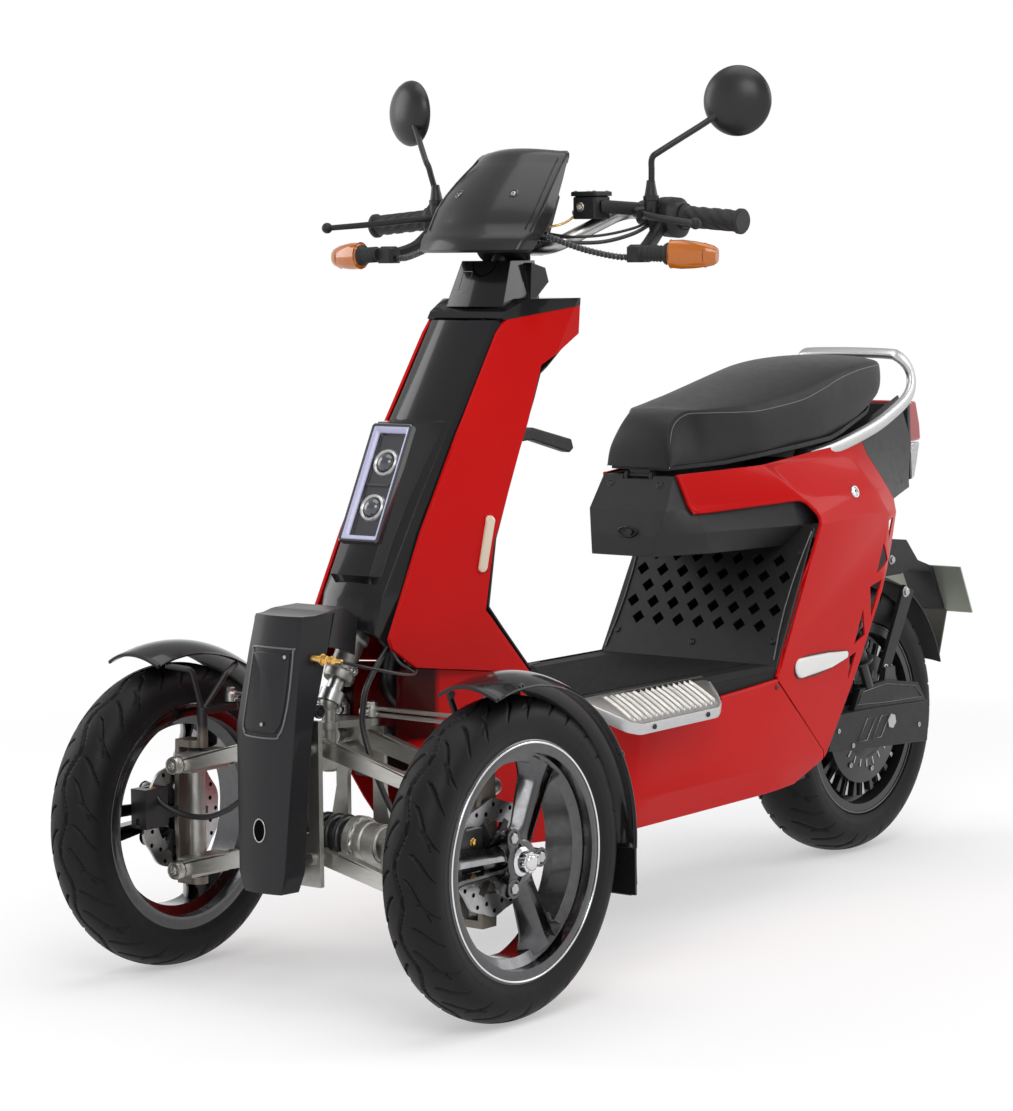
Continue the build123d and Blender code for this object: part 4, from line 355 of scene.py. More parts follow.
class Backdrop(Finish):
    # the world and the floor share the shader maths, with their own plain shaders
    def __init__(self, tree, output):
        self.tree = tree
        tree.nodes.clear()
        self.output = tree.nodes.new(output)
        rays = tree.nodes.new("ShaderNodeLightPath")
        names = ("Is Camera Ray", "Is Glossy Ray", "Is Transmission Ray")
        self.camera, self.glossy, self.through = (Wire(self, rays.outputs[name]) for name in names)
        space = "Object" if output.endswith("Material") else "Generated"
        self.place = Wire(self, tree.nodes.new("ShaderNodeTexCoord").outputs[space])

    def end(self, factor, first, second):
        mixer = self.node("ShaderNodeMixShader", {}, factor)
        self.tree.links.new(first.outputs[0], mixer.inputs[1])
        self.tree.links.new(second.outputs[0], mixer.inputs[2])
        self.tree.links.new(mixer.outputs[0], self.output.inputs[0])


sky = Backdrop(world.node_tree, "ShaderNodeOutputWorld")
height = sky.axes()[2]
level = (1.6 - height.maths("ABSOLUTE") * 3.2).clamp()
seen = sky.camera.maths("MAXIMUM", sky.through).maths("MAXIMUM", sky.glossy * level)
dome = sky.blend((height * 0.9 + 0.35).clamp(), (0.26, 0.26, 0.26), (0.56, 0.56, 0.57))
sky.end(seen, sky.node("ShaderNodeBackground", {}, dome, 1.0),
        sky.node("ShaderNodeBackground", {}, (1, 1, 1, 1), 1.0))
ground = Backdrop(paper.node_tree, "ShaderNodeOutputMaterial")
east, north, _ = ground.axes()
far = ((((east * east + north * north) ** 0.5) - 1.5) * 0.9).clamp()
seen = ground.camera.maths("MAXIMUM", ground.through).maths("MAXIMUM", ground.glossy)
ground.end(seen * far.maths("MAXIMUM", 0.42),
           ground.node("ShaderNodeBsdfDiffuse", {}, (0.94, 0.94, 0.94, 1)),
           ground.node("ShaderNodeEmission", {}, (1, 1, 1, 1), 1.0))
bpy.context.scene.view_settings.view_transform = "Standard"
print("camera, light and floor placed")


# shared ways of making a piece
def settle(name, points, faces, finish, body, sharp=40, slot=None):
    # a finished mesh at the origin, smooth but for its sharp edges, riding on its body
    mesh = bpy.data.meshes.new(name)
    mesh.from_pydata([tuple(p) for p in points], [], faces)
    work = bmesh.new()
    work.from_mesh(mesh)
    bmesh.ops.remove_doubles(work, verts=work.verts, dist=0.00002)
    bmesh.ops.recalc_face_normals(work, faces=work.faces)
    work.to_mesh(mesh)
    work.free()
    return dress(linked(name, mesh), finish, body, sharp)


def dress(made, finish, body, sharp=40):
    made.data.materials.clear()
    made.data.materials.append(finishes[finish].material)
    if sharp:
        made.data.shade_smooth()
        made.data.set_sharp_from_angle(angle=radians(sharp))
    if body:
        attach(made, body)
    return made


def loft(rings, closeAround=True, closeAlong=False, caps=True):
    # points and faces through rings of equal length
    count = len(rings[0])
    points = [p for ring in rings for p in ring]
    faces = []
    for row in range(len(rings) if closeAlong else len(rings) - 1):
        here, there = row * count, (row + 1) % len(rings) * count
        for column in range(count if closeAround else count - 1):
            after = (column + 1) % count
            faces.append((here + column, here + after, there + after, there + column))
    if caps and not closeAlong and closeAround:
        faces.append(tuple(range(count))[::-1])
        faces.append(tuple(range(len(points) - count, len(points))))
    return points, faces


def framed(way):
    # a direction and two more at right angles to it
    way = Vector(way).normalized()
    first = way.orthogonal().normalized()
    return way, first, way.cross(first)


def circle(middle, first, second, size, count):
    turns = [2 * pi * k / count for k in range(count)]
    return [Vector(middle) + (first * cos(turn) + second * sin(turn)) * size for turn in turns]


def spin(profile, centre, axis, steps=96):
    # a closed outline of (along the axis, radius) turned round the axis
    axis, first, second = framed(axis)
    rings = [[Vector(centre) + axis * along + way * radius for along, radius in profile]
             for way in circle((0, 0, 0), first, second, 1, steps)]
    return loft(rings, True, True)


def turned(part, centre, axis):
    # a turned part: its outline is in millimetres along the axis and away from it
    return spin([(along / 1000, radius / 1000) for along, radius in part["profile"]], centre, axis,
                part["steps"])


def onWheel(centre, out, turn, outline):
    # (radius, sideways) places on a wheel's face, turned round its axle
    c, s = cos(turn), sin(turn)
    return [centre + Vector((out, r * c - w * s, r * s + w * c)) for r, w in outline]


def between(rows, value):
    # the other columns of a table at a value of its first column
    for low, high in zip(rows, rows[1:]):
        if low[0] <= value <= high[0]:
            share = (value - low[0]) / (high[0] - low[0])
            return [a + (b - a) * share for a, b in zip(low[1:], high[1:])]
    return None


def merged(*pairs):
    points, faces = [], []
    for morePoints, moreFaces in pairs:
        start = len(points)
        points += [Vector(p) for p in morePoints]
        faces += [tuple(index + start for index in face) for face in moreFaces]
    return points, faces


def flipped(pair):
    # the same shape on the other side of the vehicle
    points, faces = pair
    return [Vector((-p[0], p[1], p[2])) for p in points], [face[::-1] for face in faces]


def bothSides(name, pair, finish, body, **more):
    # one piece on each side; body is a pair of names or one name for both
    bodies = body if isinstance(body, tuple) else (body, body)
    if bodies[0] == bodies[1]:
        return [settle(name, *merged(pair, flipped(pair)), finish, bodies[0], **more)]
    return [settle(name + "_left", *pair, finish, bodies[0], **more),
            settle(name + "_right", *flipped(pair), finish, bodies[1], **more)]


def tube(path, radius, sides=12, closed=False):
    # a round bar along a path, its frame carried along without twist
    path = [Vector(p) for p in path]
    count = len(path)
    radii = radius if isinstance(radius, (list, tuple)) else [radius] * count
    rings, side = [], None
    for index, point in enumerate(path):
        if closed:
            way = path[(index + 1) % count] - path[index - 1]
        else:
            way = path[min(index + 1, count - 1)] - path[max(index - 1, 0)]
        way.normalize()
        side = way.orthogonal().normalized() if side is None else (side - way * side.dot(way)).normalized()
        rings.append(circle(point, side, way.cross(side), radii[index], sides))
    return loft(rings, True, closed)


def flow(points, steps=8):
    # a smooth line through given points
    points = [Vector(p) for p in points]
    line = []
    for index in range(len(points) - 1):
        before, first = points[max(index - 1, 0)], points[index]
        second, after = points[index + 1], points[min(index + 2, len(points) - 1)]
        for step in range(steps):
            t = step / steps
            line.append(0.5 * (2 * first + (second - before) * t + (2 * before - 5 * first + 4 * second
                - after) * t * t + (3 * first - before - 3 * second + after) * t ** 3))
    return line + [points[-1]]


def route(places, steps):
    return flow([at(*place) for place in places], steps)


def slab(outline, way, depth):
    # a flat outline of places pushed along a direction
    push = Vector(way).normalized() * depth
    first = [Vector(p) for p in outline]
    return loft([first, [p + push for p in first]])


def softened(made, width, segments=2, angle=35):
    bevel = made.modifiers.new("edge", "BEVEL")
    bevel.width, bevel.segments = width, segments
    bevel.limit_method, bevel.angle_limit = "ANGLE", radians(angle)
    bevel.harden_normals = False
    return made


# tyres: a round casing with cut grooves and a ribbed side
tyreSet = {
    "front": {"radius": 0.2245, "half": 0.0450, "belt": 0.1900, "bead": 0.0362, "seat": 0.1650,
              "around": 840, "pitch": 14, "depth": 0.0038, "wave": 0.0062, "waveCount": 14, "cut": 0.0021},
    "rear": {"radius": 0.2335, "half": 0.0600, "belt": 0.1930, "bead": 0.0500, "seat": 0.1650,
             "around": 880, "pitch": 16, "depth": 0.0040, "wave": 0.0000, "waveCount": 16, "cut": 0.0023},
}


def tyreShape(setting, centre):
    belly = setting["belt"]
    columns = []
    for k in range(59):
        t = -pi / 2 + pi * k / 58
        columns.append((setting["half"] * sin(t),
                        belly + (setting["radius"] - belly) * abs(cos(t)) ** 0.86))
    low = [(1.000, 0.985), (0.985, 0.965), (0.988, 0.958), (0.962, 0.935), (0.935, 0.908), (0.900, 0.885),
           (0.895, 0.872)]
    wall = [(setting["half"] * x, belly * r) for x, r in low]
    wall.append((setting["bead"], setting["seat"] + 0.001))
    columns = [(-x, r) for x, r in wall[::-1]] + columns + wall
    x = np.array([c[0] for c in columns])[None, :]
    r = np.array([c[1] for c in columns])[None, :]
    turn = (np.arange(setting["around"]) / setting["around"])[:, None]
    side = np.sign(x)
    reach = np.abs(x) / setting["half"]
    # swept cuts: each starts near the middle and bends back towards the shoulder
    cuts = np.zeros((setting["around"], len(columns)))
    for phase, start, finish, bend in ((0.0, 0.20, 0.86, 0.95), (0.34, 0.34, 0.97, 0.62),
                                       (0.66, 0.52, 0.99, 0.40)):
        cell = (turn * setting["pitch"] + phase + 0.25 * (side > 0)) % 1.0
        share = np.clip((reach - start) / (finish - start), 0, 1)
        line = 0.18 + bend * 0.62 * share ** 1.7
        away = np.abs(cell - line)
        gap = np.minimum(away, 1 - away) * 2 * pi * setting["radius"] / setting["pitch"]
        width = setting["cut"] * (0.55 + 0.9 * np.sin(pi * share) ** 0.6)
        inside = (reach > start) & (reach < finish)
        cuts = np.maximum(cuts, np.clip(1.35 - gap / width, 0, 1) * inside)
    middle = np.abs(x - setting["wave"] * np.sin(2 * pi * turn * setting["waveCount"]))
    if setting["wave"]:
        cuts = np.maximum(cuts, np.clip(1.5 - middle / 0.0020, 0, 1))
    tread = np.clip((np.abs(r) - belly * 1.005) / 0.004, 0, 1)
    r = r - setting["depth"] * np.clip(cuts * 1.4, 0, 1) * tread
    # the section turned round the axle
    angle = 2 * pi * turn
    points = np.stack([np.broadcast_to(x, r.shape) + centre[0], centre[1] + r * np.cos(angle),
                       centre[2] + r * np.sin(angle)], axis=2)
    count = len(columns)
    points = points.reshape(-1, 3).tolist()
    faces = []
    total = setting["around"]
    for row in range(total):
        here, there = row * count, (row + 1) % total * count
        faces += [(here + k, here + k + 1, there + k + 1, there + k) for k in range(count - 1)]
        faces.append((here + count - 1, here, there, there + count - 1))
    return points, faces


centres = {"left": Vector((wheels["frontX"], wheels["frontY"], wheels["frontZ"])),
           "right": Vector((-wheels["frontX"], wheels["frontY"], wheels["frontZ"])),
           "rear": Vector((0, wheels["rearY"], wheels["rearZ"]))}
frontTyre = tyreShape(tyreSet["front"], centres["left"])
for side, pair in (("left", frontTyre), ("right", flipped(frontTyre))):
    made = settle("tyre_" + side, *pair, "tyreRubber", "wheel_front_" + side, 50, "tyre")
    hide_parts("front_tyre_" + side)
made = settle("tyre_rear", *tyreShape(tyreSet["rear"], centres["rear"]), "tyreRubber", "wheel_rear", 50,
              "tyre")
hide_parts("rear_tyre")
print("tyres cut")

# front rims: a polished ring, three split blades, a lobed hub and a drilled disc
rimSet = {"lip": 0.0415, "flange": 0.1672, "seat": 0.1500, "well": 0.1345, "wellHalf": 0.017,
          "root": 0.026, "tip": 0.1395, "slot": 0.0070, "wing": 0.0185, "flare": 0.030, "deep": 0.026,
          "boltCircle": 0.040, "disc": 0.082, "discInner": 0.050, "discAt": -0.018, "discThick": 0.004}


def bladeHalf(side, centre, turn):
    # one half of a split spoke: a wing that falls back from the slot edge and flares into rim and hub
    rings = []
    rows = 22
    for row in range(rows + 1):
        t = row / rows
        radius = rimSet["root"] + (rimSet["tip"] - rimSet["root"]) * t
        wing = rimSet["wing"] * (0.80 + 0.35 * t) + rimSet["flare"] * max(0, (t - 0.70) / 0.30) ** 2.2
        wing += 0.010 * max(0, (0.22 - t) / 0.22) ** 2
        face = 0.030 - 0.004 * t + 0.003 * max(0, (t - 0.8) / 0.2) ** 2
        slot = rimSet["slot"] * (0.75 + 0.45 * t) if t > 0.10 else 0.0005 + rimSet["slot"] * 7 * t
        depth = rimSet["deep"] * (0.55 + 0.45 * t)
        outline = []
        for k in range(9):
            w = k / 8
            outline.append((slot + wing * w, face + 0.0016 * (k == 0)
                            - depth * (1 - cos(w * pi / 2)) ** 1.1))
        outline += [(slot + wing * 0.97, face - depth - 0.0035), (slot + wing * 0.55,
            face - depth * 0.42 - 0.006), (slot + wing * 0.22, face - 0.0085),
                    (slot + 0.0045, face - 0.019), (slot, face - 0.019)]
        ring = [onWheel(centre, out, turn, [(radius, side * wide)])[0] for wide, out in outline]
        rings.append(ring if side > 0 else ring[::-1])
    return loft(rings)


def hexHead(place, way, radius, height):
    # a hexagon bolt head with a chamfered top and a washer
    way, first, second = framed(way)

    def ring(size, lift, sides):
        return circle(Vector(place) + way * lift, first, second, size, sides)
    head = loft([ring(radius, height * 0.18, 6), ring(radius, height * 0.86, 6),
                 ring(radius * 0.84, height, 6)])
    washer = loft([ring(radius * 1.28, 0, 20), ring(radius * 1.28, height * 0.14, 20),
                   ring(radius * 1.16, height * 0.2, 20)])
    return merged(head, washer)


def socketHead(place, way, radius, height):
    # a round cap screw with a six-sided socket
    way, first, second = framed(way)
    rings = [circle(Vector(place) + way * height * lift, first, second, radius * size, 24)
             for size, lift in ((1, 0), (1, 0.8), (0.86, 1), (0.56, 1))]
    well = []
    for lift, size in ((height, 0.56), (height * 0.45, 0.50), (height * 0.45, 0.02)):
        ring = []
        for k in range(24):
            angle = 2 * pi * k / 24
            flat = cos(pi / 6) / cos((angle % (pi / 3)) - pi / 6)
            reach = radius * size * (1 if lift == height and size == 0.56 else flat)
            ring.append(Vector(place) + way * lift + (first * cos(angle) + second * sin(angle)) * reach)
        well.append(ring)
    return merged(loft(rings, caps=False), loft(well, caps=False), (rings[0], [tuple(range(24))[::-1]]))


def frontRim(centre):
    hw, well, seat, flange = (rimSet[key] for key in ("lip", "wellHalf", "seat", "flange"))
    ring = []
    for side in (-1, 1):
        part = [(side * hw * 0.985, seat - 0.0015), (side * hw, seat + 0.001), (side * hw, flange - 0.002),
                (side * (hw - 0.0012), flange), (side * (hw - 0.003), flange + 0.0002),
                (side * (hw - 0.0052), flange - 0.002), (side * (hw - 0.0058), 0.156)]
        ring += part if side < 0 else part[::-1]
    back = [(0.024, 0.1485), (well, rimSet["well"]), (-well, rimSet["well"]), (-0.024, 0.1485)]
    barrel = spin(ring + back, centre, (1, 0, 0), 128)
    bead = []
    for k in range(10):
        turn = 2 * pi * k / 10
        bead.append((hw + 0.0006 + 0.0014 * cos(turn), flange - 0.0042 + 0.0016 * sin(turn)))
    bright = spin(bead, centre, (1, 0, 0), 128)
    blades = []
    for spoke in range(3):
        turn = radians(60 + 120 * spoke)
        blades += [bladeHalf(side, centre, turn) for side in (1, -1)]
    # the hub: three lobes round the axle nut
    hubRings = []
    for out, scale in ((-0.014, 0.80), (0.010, 0.92), (0.026, 1.0), (0.0325, 0.97), (0.034, 0.90),
                       (0.0345, 0.62), (0.031, 0.58)):
        ring = []
        for k in range(72):
            angle = 2 * pi * k / 72
            lobe = max(0, cos(3 * angle)) ** 1.6
            reach = (0.031 + 0.0235 * lobe) * scale if out > 0 else 0.033 * scale
            ring += onWheel(centre, out, angle, [(reach, 0)])
        hubRings.append(ring)
    hub = loft(hubRings)
    return merged(barrel, *blades, hub), bright


boltRing = {"steps": 28, "profile": [(0.4, 13.6), (1.2, 13.2), (1, 9.8), (-4, 9.4), (-4, 9.2), (0.2, 9.6)]}
nutSet = {
    # outwards, radius
    "rows": [(0.030, 0.0205), (0.034, 0.0205), (0.0355, 0.0185), (0.0368, 0.0150), (0.048, 0.0150),
             (0.0492, 0.0138), (0.0492, 0.0112), (0.0515, 0.0106), (0.0530, 0.0088), (0.0532, 0.001)],
    "notch": 0.0032,
    "pin": [(0.0475, 0.004, 0.010), (0.0475, 0.0165, 0.0075), (0.0455, 0.0205, 0.004),
            (0.0445, 0.021, -0.006)],
}


def frontRimTrim(centre):
    screws, nuts, wells = [], [], []
    for bolt in range(3):
        turn = 2 * pi * bolt / 3
        place = onWheel(centre, 0.0340, turn, [(rimSet["boltCircle"], 0)])[0]
        wells.append(turned(boltRing, place, (1, 0, 0)))
        screws.append(hexHead(place + Vector((-0.003, 0, 0)), (1, 0, 0), 0.0078, 0.0065))
    # the castellated axle nut with its domed stub and split pin
    nutRings = []
    for out, size in nutSet["rows"]:
        ring = []
        for k in range(72):
            notch = nutSet["notch"] if k % 12 in (0, 1) and 0.044 < out < 0.0495 and size > 0.0115 else 0
            ring += onWheel(centre, out - notch * 1.4, 2 * pi * k / 72, [(size - notch * 0.2, 0)])
        nutRings.append(ring)
    nuts.append(loft(nutRings))
    nuts.append(tube([centre + Vector(place) for place in nutSet["pin"]], 0.0019, 8))
    outer, inner, thick, where = rimSet["disc"], rimSet["discInner"], rimSet["discThick"], rimSet["discAt"]
    scallops = []
    for face in (where + thick / 2, where - thick / 2):
        for base in (outer, inner):
            deep = 0.0016 if base == outer else 0
            turns = [2 * pi * k / 160 for k in range(160)]
            scallops.append([onWheel(centre, face, turn, [(base - deep * (1 + cos(10 * turn)), 0)])[0]
                             for turn in turns])
    disc = loft([scallops[0], scallops[1], scallops[3], scallops[2]], True, True)
    outline = [(0.026, -0.008), (0.056, -0.0055), (0.056, 0.0055), (0.026, 0.008)]
    arms = [slab(onWheel(centre, where - thick / 2 - 0.001, 2 * pi * arm / 6, outline), (1, 0, 0),
                 thick + 0.002) for arm in range(6)]
    return merged(*screws), merged(*nuts), merged(*wells), disc, merged(*arms)


frontBodies = ("wheel_front_left", "wheel_front_right")
knuckleBodies = ("knuckle_left", "knuckle_right")
rimShape, rimBright = frontRim(centres["left"])
rims = bothSides("rim", rimShape, "gunmetal", frontBodies, sharp=34, slot="gunmetal")
for made, side in zip(rims, ("left", "right")):
    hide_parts("front_rim_" + side)
bothSides("rim_lip", rimBright, "rimEdge", frontBodies)
boltShape, nutShape, wellShape, discShape, armShape = frontRimTrim(centres["left"])
bothSides("rim_bolts", boltShape, "steel", frontBodies)
bothSides("axle_nut", nutShape, "chrome", frontBodies)
bothSides("bolt_rings", wellShape, "gunmetal", frontBodies)
bothSides("brake_disc", discShape, "discSteel", frontBodies)
bothSides("disc_arms", armShape, "blackSteel", frontBodies)
print("front wheels made")

# seat: one panel over nose, top and tail, a side panel each side, a sewn seam between them
seatSet = {
    "seam": [(61, 753, 704), (57, 757, 735), (50, 771, 764), (49, 787, 780), (55, 809, 790), (72, 832, 791),
             (97, 900, 790),
             (106, 943, 791), (118, 1041, 803), (121, 1100, 818), (120, 1159, 835), (118, 1220, 846),
             (111, 1282, 851),
             (97, 1318, 850), (82, 1331, 842), (78, 1334, 828), (78, 1328, 814)],
    "spine": [(0, 750, 704), (0, 753, 738), (0, 764, 766), (0, 781, 784), (0, 805, 793), (0, 832, 797),
              (0, 900, 811),
              (0, 943, 820), (0, 1041, 841), (0, 1100, 851), (0, 1159, 859), (0, 1220, 863), (0, 1282, 864),
              (0, 1320, 861), (0, 1335, 851), (0, 1340, 834), (0, 1332, 812)],
    "hem": [(61, 753, 704), (62, 762, 704), (65, 775, 704), (70, 795, 704), (74, 815, 704), (80, 845, 705),
            (90, 905, 708),
            (103, 960, 714), (112, 1045, 724), (118, 1100, 731), (119, 1160, 741), (118, 1225, 763),
            (113, 1288, 793),
            (97, 1316, 806), (82, 1325, 810), (78, 1328, 812), (78, 1328, 814)],
    "groove": 0.0016, "bulge": 0.0045, "tuck": 0.004, "stitch": 0.0042, "threadRadius": 0.00042,
}


def seatPair():
    lines = {key: flow([at(*p) for p in seatSet[key]], 6) for key in ("seam", "spine", "hem")}
    rings, stitches = [], []
    for seam, spine, hem in zip(lines["seam"], lines["spine"], lines["hem"]):
        half = []
        for t in (0, 0.12, 0.24, 0.36, 0.48, 0.60, 0.71, 0.80, 0.88, 0.93, 0.965):
            rise = (1 - t ** 2.3) ** 0.62
            half.append(Vector((seam.x * t, seam.y + (spine.y - seam.y) * rise,
                                seam.z + (spine.z - seam.z) * rise)))
        tall = (seam - hem).length
        share = min(1, tall / 0.06)
        inward = Vector((-1, 0, -0.6)).normalized() * seatSet["groove"] * share
        half.append(seam + inward)
        for w in (0.05, 0.12, 0.25, 0.4, 0.55, 0.7, 0.84, 0.94, 1.0):
            swell = seatSet["bulge"] * share * sin(pi * min(1, w * 1.05)) ** 0.8 if w < 0.95 else 0
            tuck = seatSet["tuck"] * share * max(0, (w - 0.7) / 0.3) ** 2
            half.append(seam.lerp(hem, w) + Vector((swell - tuck, 0, 0)))
        stitches.append(seam.lerp(hem, min(1, 0.0042 / max(tall, 0.0042)))
                        + Vector((0.0012 * share, 0, 0.0002)))
        half.append(Vector((hem.x * 0.6, hem.y, hem.z)))
        half.append(Vector((0, hem.y, hem.z)))
        left = half[1:-1]
        rings.append(half[:1] + left + half[-1:] + [Vector((-p.x, p.y, p.z)) for p in left[::-1]])
    return loft(rings, caps=False), stitches


def sprinkle(name, line, make, spacing, finish, body):
    # Geometry Nodes: copies of a small mesh along a line, made one plain mesh
    curve = bpy.data.curves.new(name + "_line", "CURVE")
    curve.dimensions = "3D"
    path = curve.splines.new("POLY")
    path.points.add(len(line) - 1)
    for point, place in zip(path.points, line):
        point.co = (*place, 1)
    mould = bpy.data.meshes.new(name + "_mould")
    mould.from_pydata([tuple(p) for p in make[0]], [], make[1])
    pattern = linked(name + "_mould", mould)
    group = bpy.data.node_groups.new(name + "_tree", "GeometryNodeTree")
    group.interface.new_socket("Geometry", in_out="INPUT", socket_type="NodeSocketGeometry")
    gapSocket = group.interface.new_socket("Spacing", in_out="INPUT", socket_type="NodeSocketFloat")
    group.interface.new_socket("Geometry", in_out="OUTPUT", socket_type="NodeSocketGeometry")
    nodes, links = group.nodes, group.links
    start, finishNode = nodes.new("NodeGroupInput"), nodes.new("NodeGroupOutput")
    sample = nodes.new("GeometryNodeResampleCurve")
    sample.mode = "LENGTH"
    links.new(start.outputs["Geometry"], sample.inputs["Curve"])
    links.new(start.outputs["Spacing"], sample.inputs["Length"])
    info = nodes.new("GeometryNodeObjectInfo")
    info.inputs["Object"].default_value = pattern
    tangent = nodes.new("GeometryNodeInputTangent")
    align = nodes.new("FunctionNodeAlignRotationToVector")
    align.axis = "X"
    links.new(tangent.outputs[0], align.inputs["Vector"])
    copies = nodes.new("GeometryNodeInstanceOnPoints")
    links.new(sample.outputs[0], copies.inputs["Points"])
    links.new(info.outputs["Geometry"], copies.inputs["Instance"])
    links.new(align.outputs[0], copies.inputs["Rotation"])
    real = nodes.new("GeometryNodeRealizeInstances")
    links.new(copies.outputs[0], real.inputs[0])
    coat = nodes.new("GeometryNodeSetMaterial")
    coat.inputs["Material"].default_value = finishes[finish].material
    links.new(real.outputs[0], coat.inputs[0])
    links.new(coat.outputs[0], finishNode.inputs[0])
    host = linked(name, curve)
    step = host.modifiers.new("copies", "NODES")
    step.node_group = group
    step[gapSocket.identifier] = spacing
    bpy.context.view_layer.update()
    mesh = bpy.data.meshes.new_from_object(host.evaluated_get(bpy.context.evaluated_depsgraph_get()))
    for gone in (host, pattern):
        bpy.data.objects.remove(gone)
    return dress(linked(name, mesh), finish, body)


seatShape, seamLine = seatPair()
seat = settle("seat_cover", *seatShape, "seatVinyl", "seat", 0, "seat_vinyl")
seat.data.shade_smooth()
rounding = seat.modifiers.new("rounding", "SUBSURF")
rounding.levels = rounding.render_levels = 1
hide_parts("seat_cushion")
thread = seatSet["threadRadius"]
threadMould = tube([(-0.0015, 0, 0), (-0.0008, 0, 0.0002), (0.0008, 0, 0.0002), (0.0015, 0, 0)],
                   [0.0002, thread, thread, 0.0002], 6)
for side, name in ((1, "left"), (-1, "right")):
    sprinkle("seat_stitches_" + name, [Vector((p.x * side, p.y, p.z)) for p in seamLine], threadMould,
             seatSet["stitch"], "thread", "seat")
print("seat sewn")


# body panels: each CAD form with its edges rolled over and its curved runs smoothed
def refined(nodes, finish, body, width=0.0022, angle=28, segments=3):
    for node in nodes:
        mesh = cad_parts[node].data.copy()
        work = bmesh.new()
        work.from_mesh(mesh)
        bmesh.ops.remove_doubles(work, verts=work.verts, dist=0.00002)
        bmesh.ops.dissolve_limit(work, angle_limit=radians(0.5), verts=work.verts, edges=work.edges)
        work.to_mesh(mesh)
        work.free()
        made = softened(dress(linked(node + "_skin", mesh), finish, body, angle), width, segments, angle)
        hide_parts(node)


redPanels = ("leg_panel_left", "leg_panel_right", "rear_panel_left", "rear_panel_right")
refined(redPanels, "redGloss", "root", 0.0034, 26, 4)
refined(("belly_panel_left", "belly_panel_right"), "bellyRed", "root", 0.0034, 26, 4)
refined(("fork_cover",), "semiBlack", "root", 0.0060, 24, 4)
refined(("front_cover",), "glossBlack", "root", 0.0040, 20, 3)
refined(("neck_cover",), "glossBlack", "root", 0.0030, 24, 3)
refined(("seat_box",), "matteBlack", "root", 0.0050, 18, 4)
refined(("tail_panels",), "tailGrey", "root", 0.0030, 24)
refined(("inner_shield", "swingarm_cover"), "matteBlack", "root", 0.0015, 24, 2)
refined(("upper_arms", "lower_arms"), "rawAluminium", "root", 0.0020, 30, 2)
for side in ("left", "right"):
    refined(("fender_" + side,), "glossBlack", "knuckle_" + side, 0.0012, 30, 2)


def sheetShell(outer, inner):
    # two matching grids of points closed into a wall
    rows, columns = len(outer), len(outer[0])
    points = [p for grid in (outer, inner) for row in grid for p in row]
    back = rows * columns
    faces = []
    for r in range(rows - 1):
        for c in range(columns - 1):
            a, b = r * columns + c, r * columns + c + 1
            faces += [(a, b, b + columns, a + columns), (a + back, a + columns + back, b + columns + back,
                                                         b + back)]
    rim = list(range(columns)) + [r * columns + columns - 1 for r in range(1, rows)]
    rim += [(rows - 1) * columns + c for c in range(columns - 2, -1, -1)]
    rim += [r * columns for r in range(rows - 2, 0, -1)]
    for index, here in enumerate(rim):
        after = rim[(index + 1) % len(rim)]
        faces.append((here, here + back, after + back, after))
    return points, faces


# windshield: a bowed front with returned sides and a rolled crown
screenSet = {
    # height, corner half width, corner station, bow, side depth
    "rows": [(1046, 88, 327, 22, 22), (1050, 94, 325, 25, 30), (1062, 97, 331, 27, 32),
             (1073, 99, 341, 28, 32), (1076, 98, 346, 28, 32),
             (1092, 100, 358, 29, 30), (1112, 101, 373, 30, 26), (1132, 98, 391, 31, 22),
             (1152, 93, 412, 31, 17), (1168, 88, 430, 30, 12),
             (1176, 85.5, 440, 29, 9), (1178, 85.5, 443, 29, 9), (1187, 83, 452, 28, 7),
             (1192, 80, 458, 26, 5), (1196, 72, 466, 20, 3)],
    "wall": 3.0, "round": 7.0,
}


def screenRing(row, inset):
    height, half, station, bow, depth = row
    half -= inset
    ring = []
    for side in (-1, 1):
        arm = []
        for share in (1.0, 0.66, 0.33, 0.12, 0.0):
            arm.append(at(side * (half + 0.5 * share), station + inset + screenSet["round"] + depth * share,
                          height))
        for turn in (25, 50, 75):
            arm.append(at(side * (half - screenSet["round"] * (1 - cos(radians(turn)))),
                          station + inset + screenSet["round"] * (1 - sin(radians(turn))), height))
        if side < 0:
            ring += arm
            for k in range(-11, 12):
                u = k / 11.6
                ring.append(at(u * (half - screenSet["round"]), station + inset - bow * (1 - u * u),
                               height + 5 * (1 - u * u) * max(0, (height - 1150) / 50)))
        else:
            ring += arm[::-1]
    return ring


outer = [screenRing(row, 0) for row in screenSet["rows"]]
inner = [screenRing(row, screenSet["wall"]) for row in screenSet["rows"]]
made = settle("windshield_shell", *sheetShell(outer, inner), "cowlGrey", "steering", 30, "satin_grey")
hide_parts("windshield")
# its crown: a dark lid that closes the top, with two dark side strips and two screw wells
crown = [[at(x * (1 - 0.10 * row), a, z - 4 * (x / 76) ** 2) for x in (-76, -50, -20, 20, 50, 76)]
         for row, (a, z) in enumerate(((462, 1196), (474, 1198), (492, 1197)))]
crownUnder = [[p - Vector((0, 0, 0.003)) for p in row] for row in crown]
settle("windshield_crown", *sheetShell(crown, crownUnder), "glossBlack", "steering", 30, "satin_grey")


def screenFace(u, height):
    # a place on the windshield's bowed front
    half, station, bow, _ = between(screenSet["rows"], height)
    rise = 5 * (1 - u * u) * max(0, (height - 1150) / 50)
    return at(u * (half - screenSet["round"]), station - bow * (1 - u * u), height + rise)


def screenWay(u, height):
    left, right = screenFace(u - 0.04, height), screenFace(u + 0.04, height)
    low, high = screenFace(u, height - 4), screenFace(u, height + 4)
    return (right - left).cross(high - low).normalized()


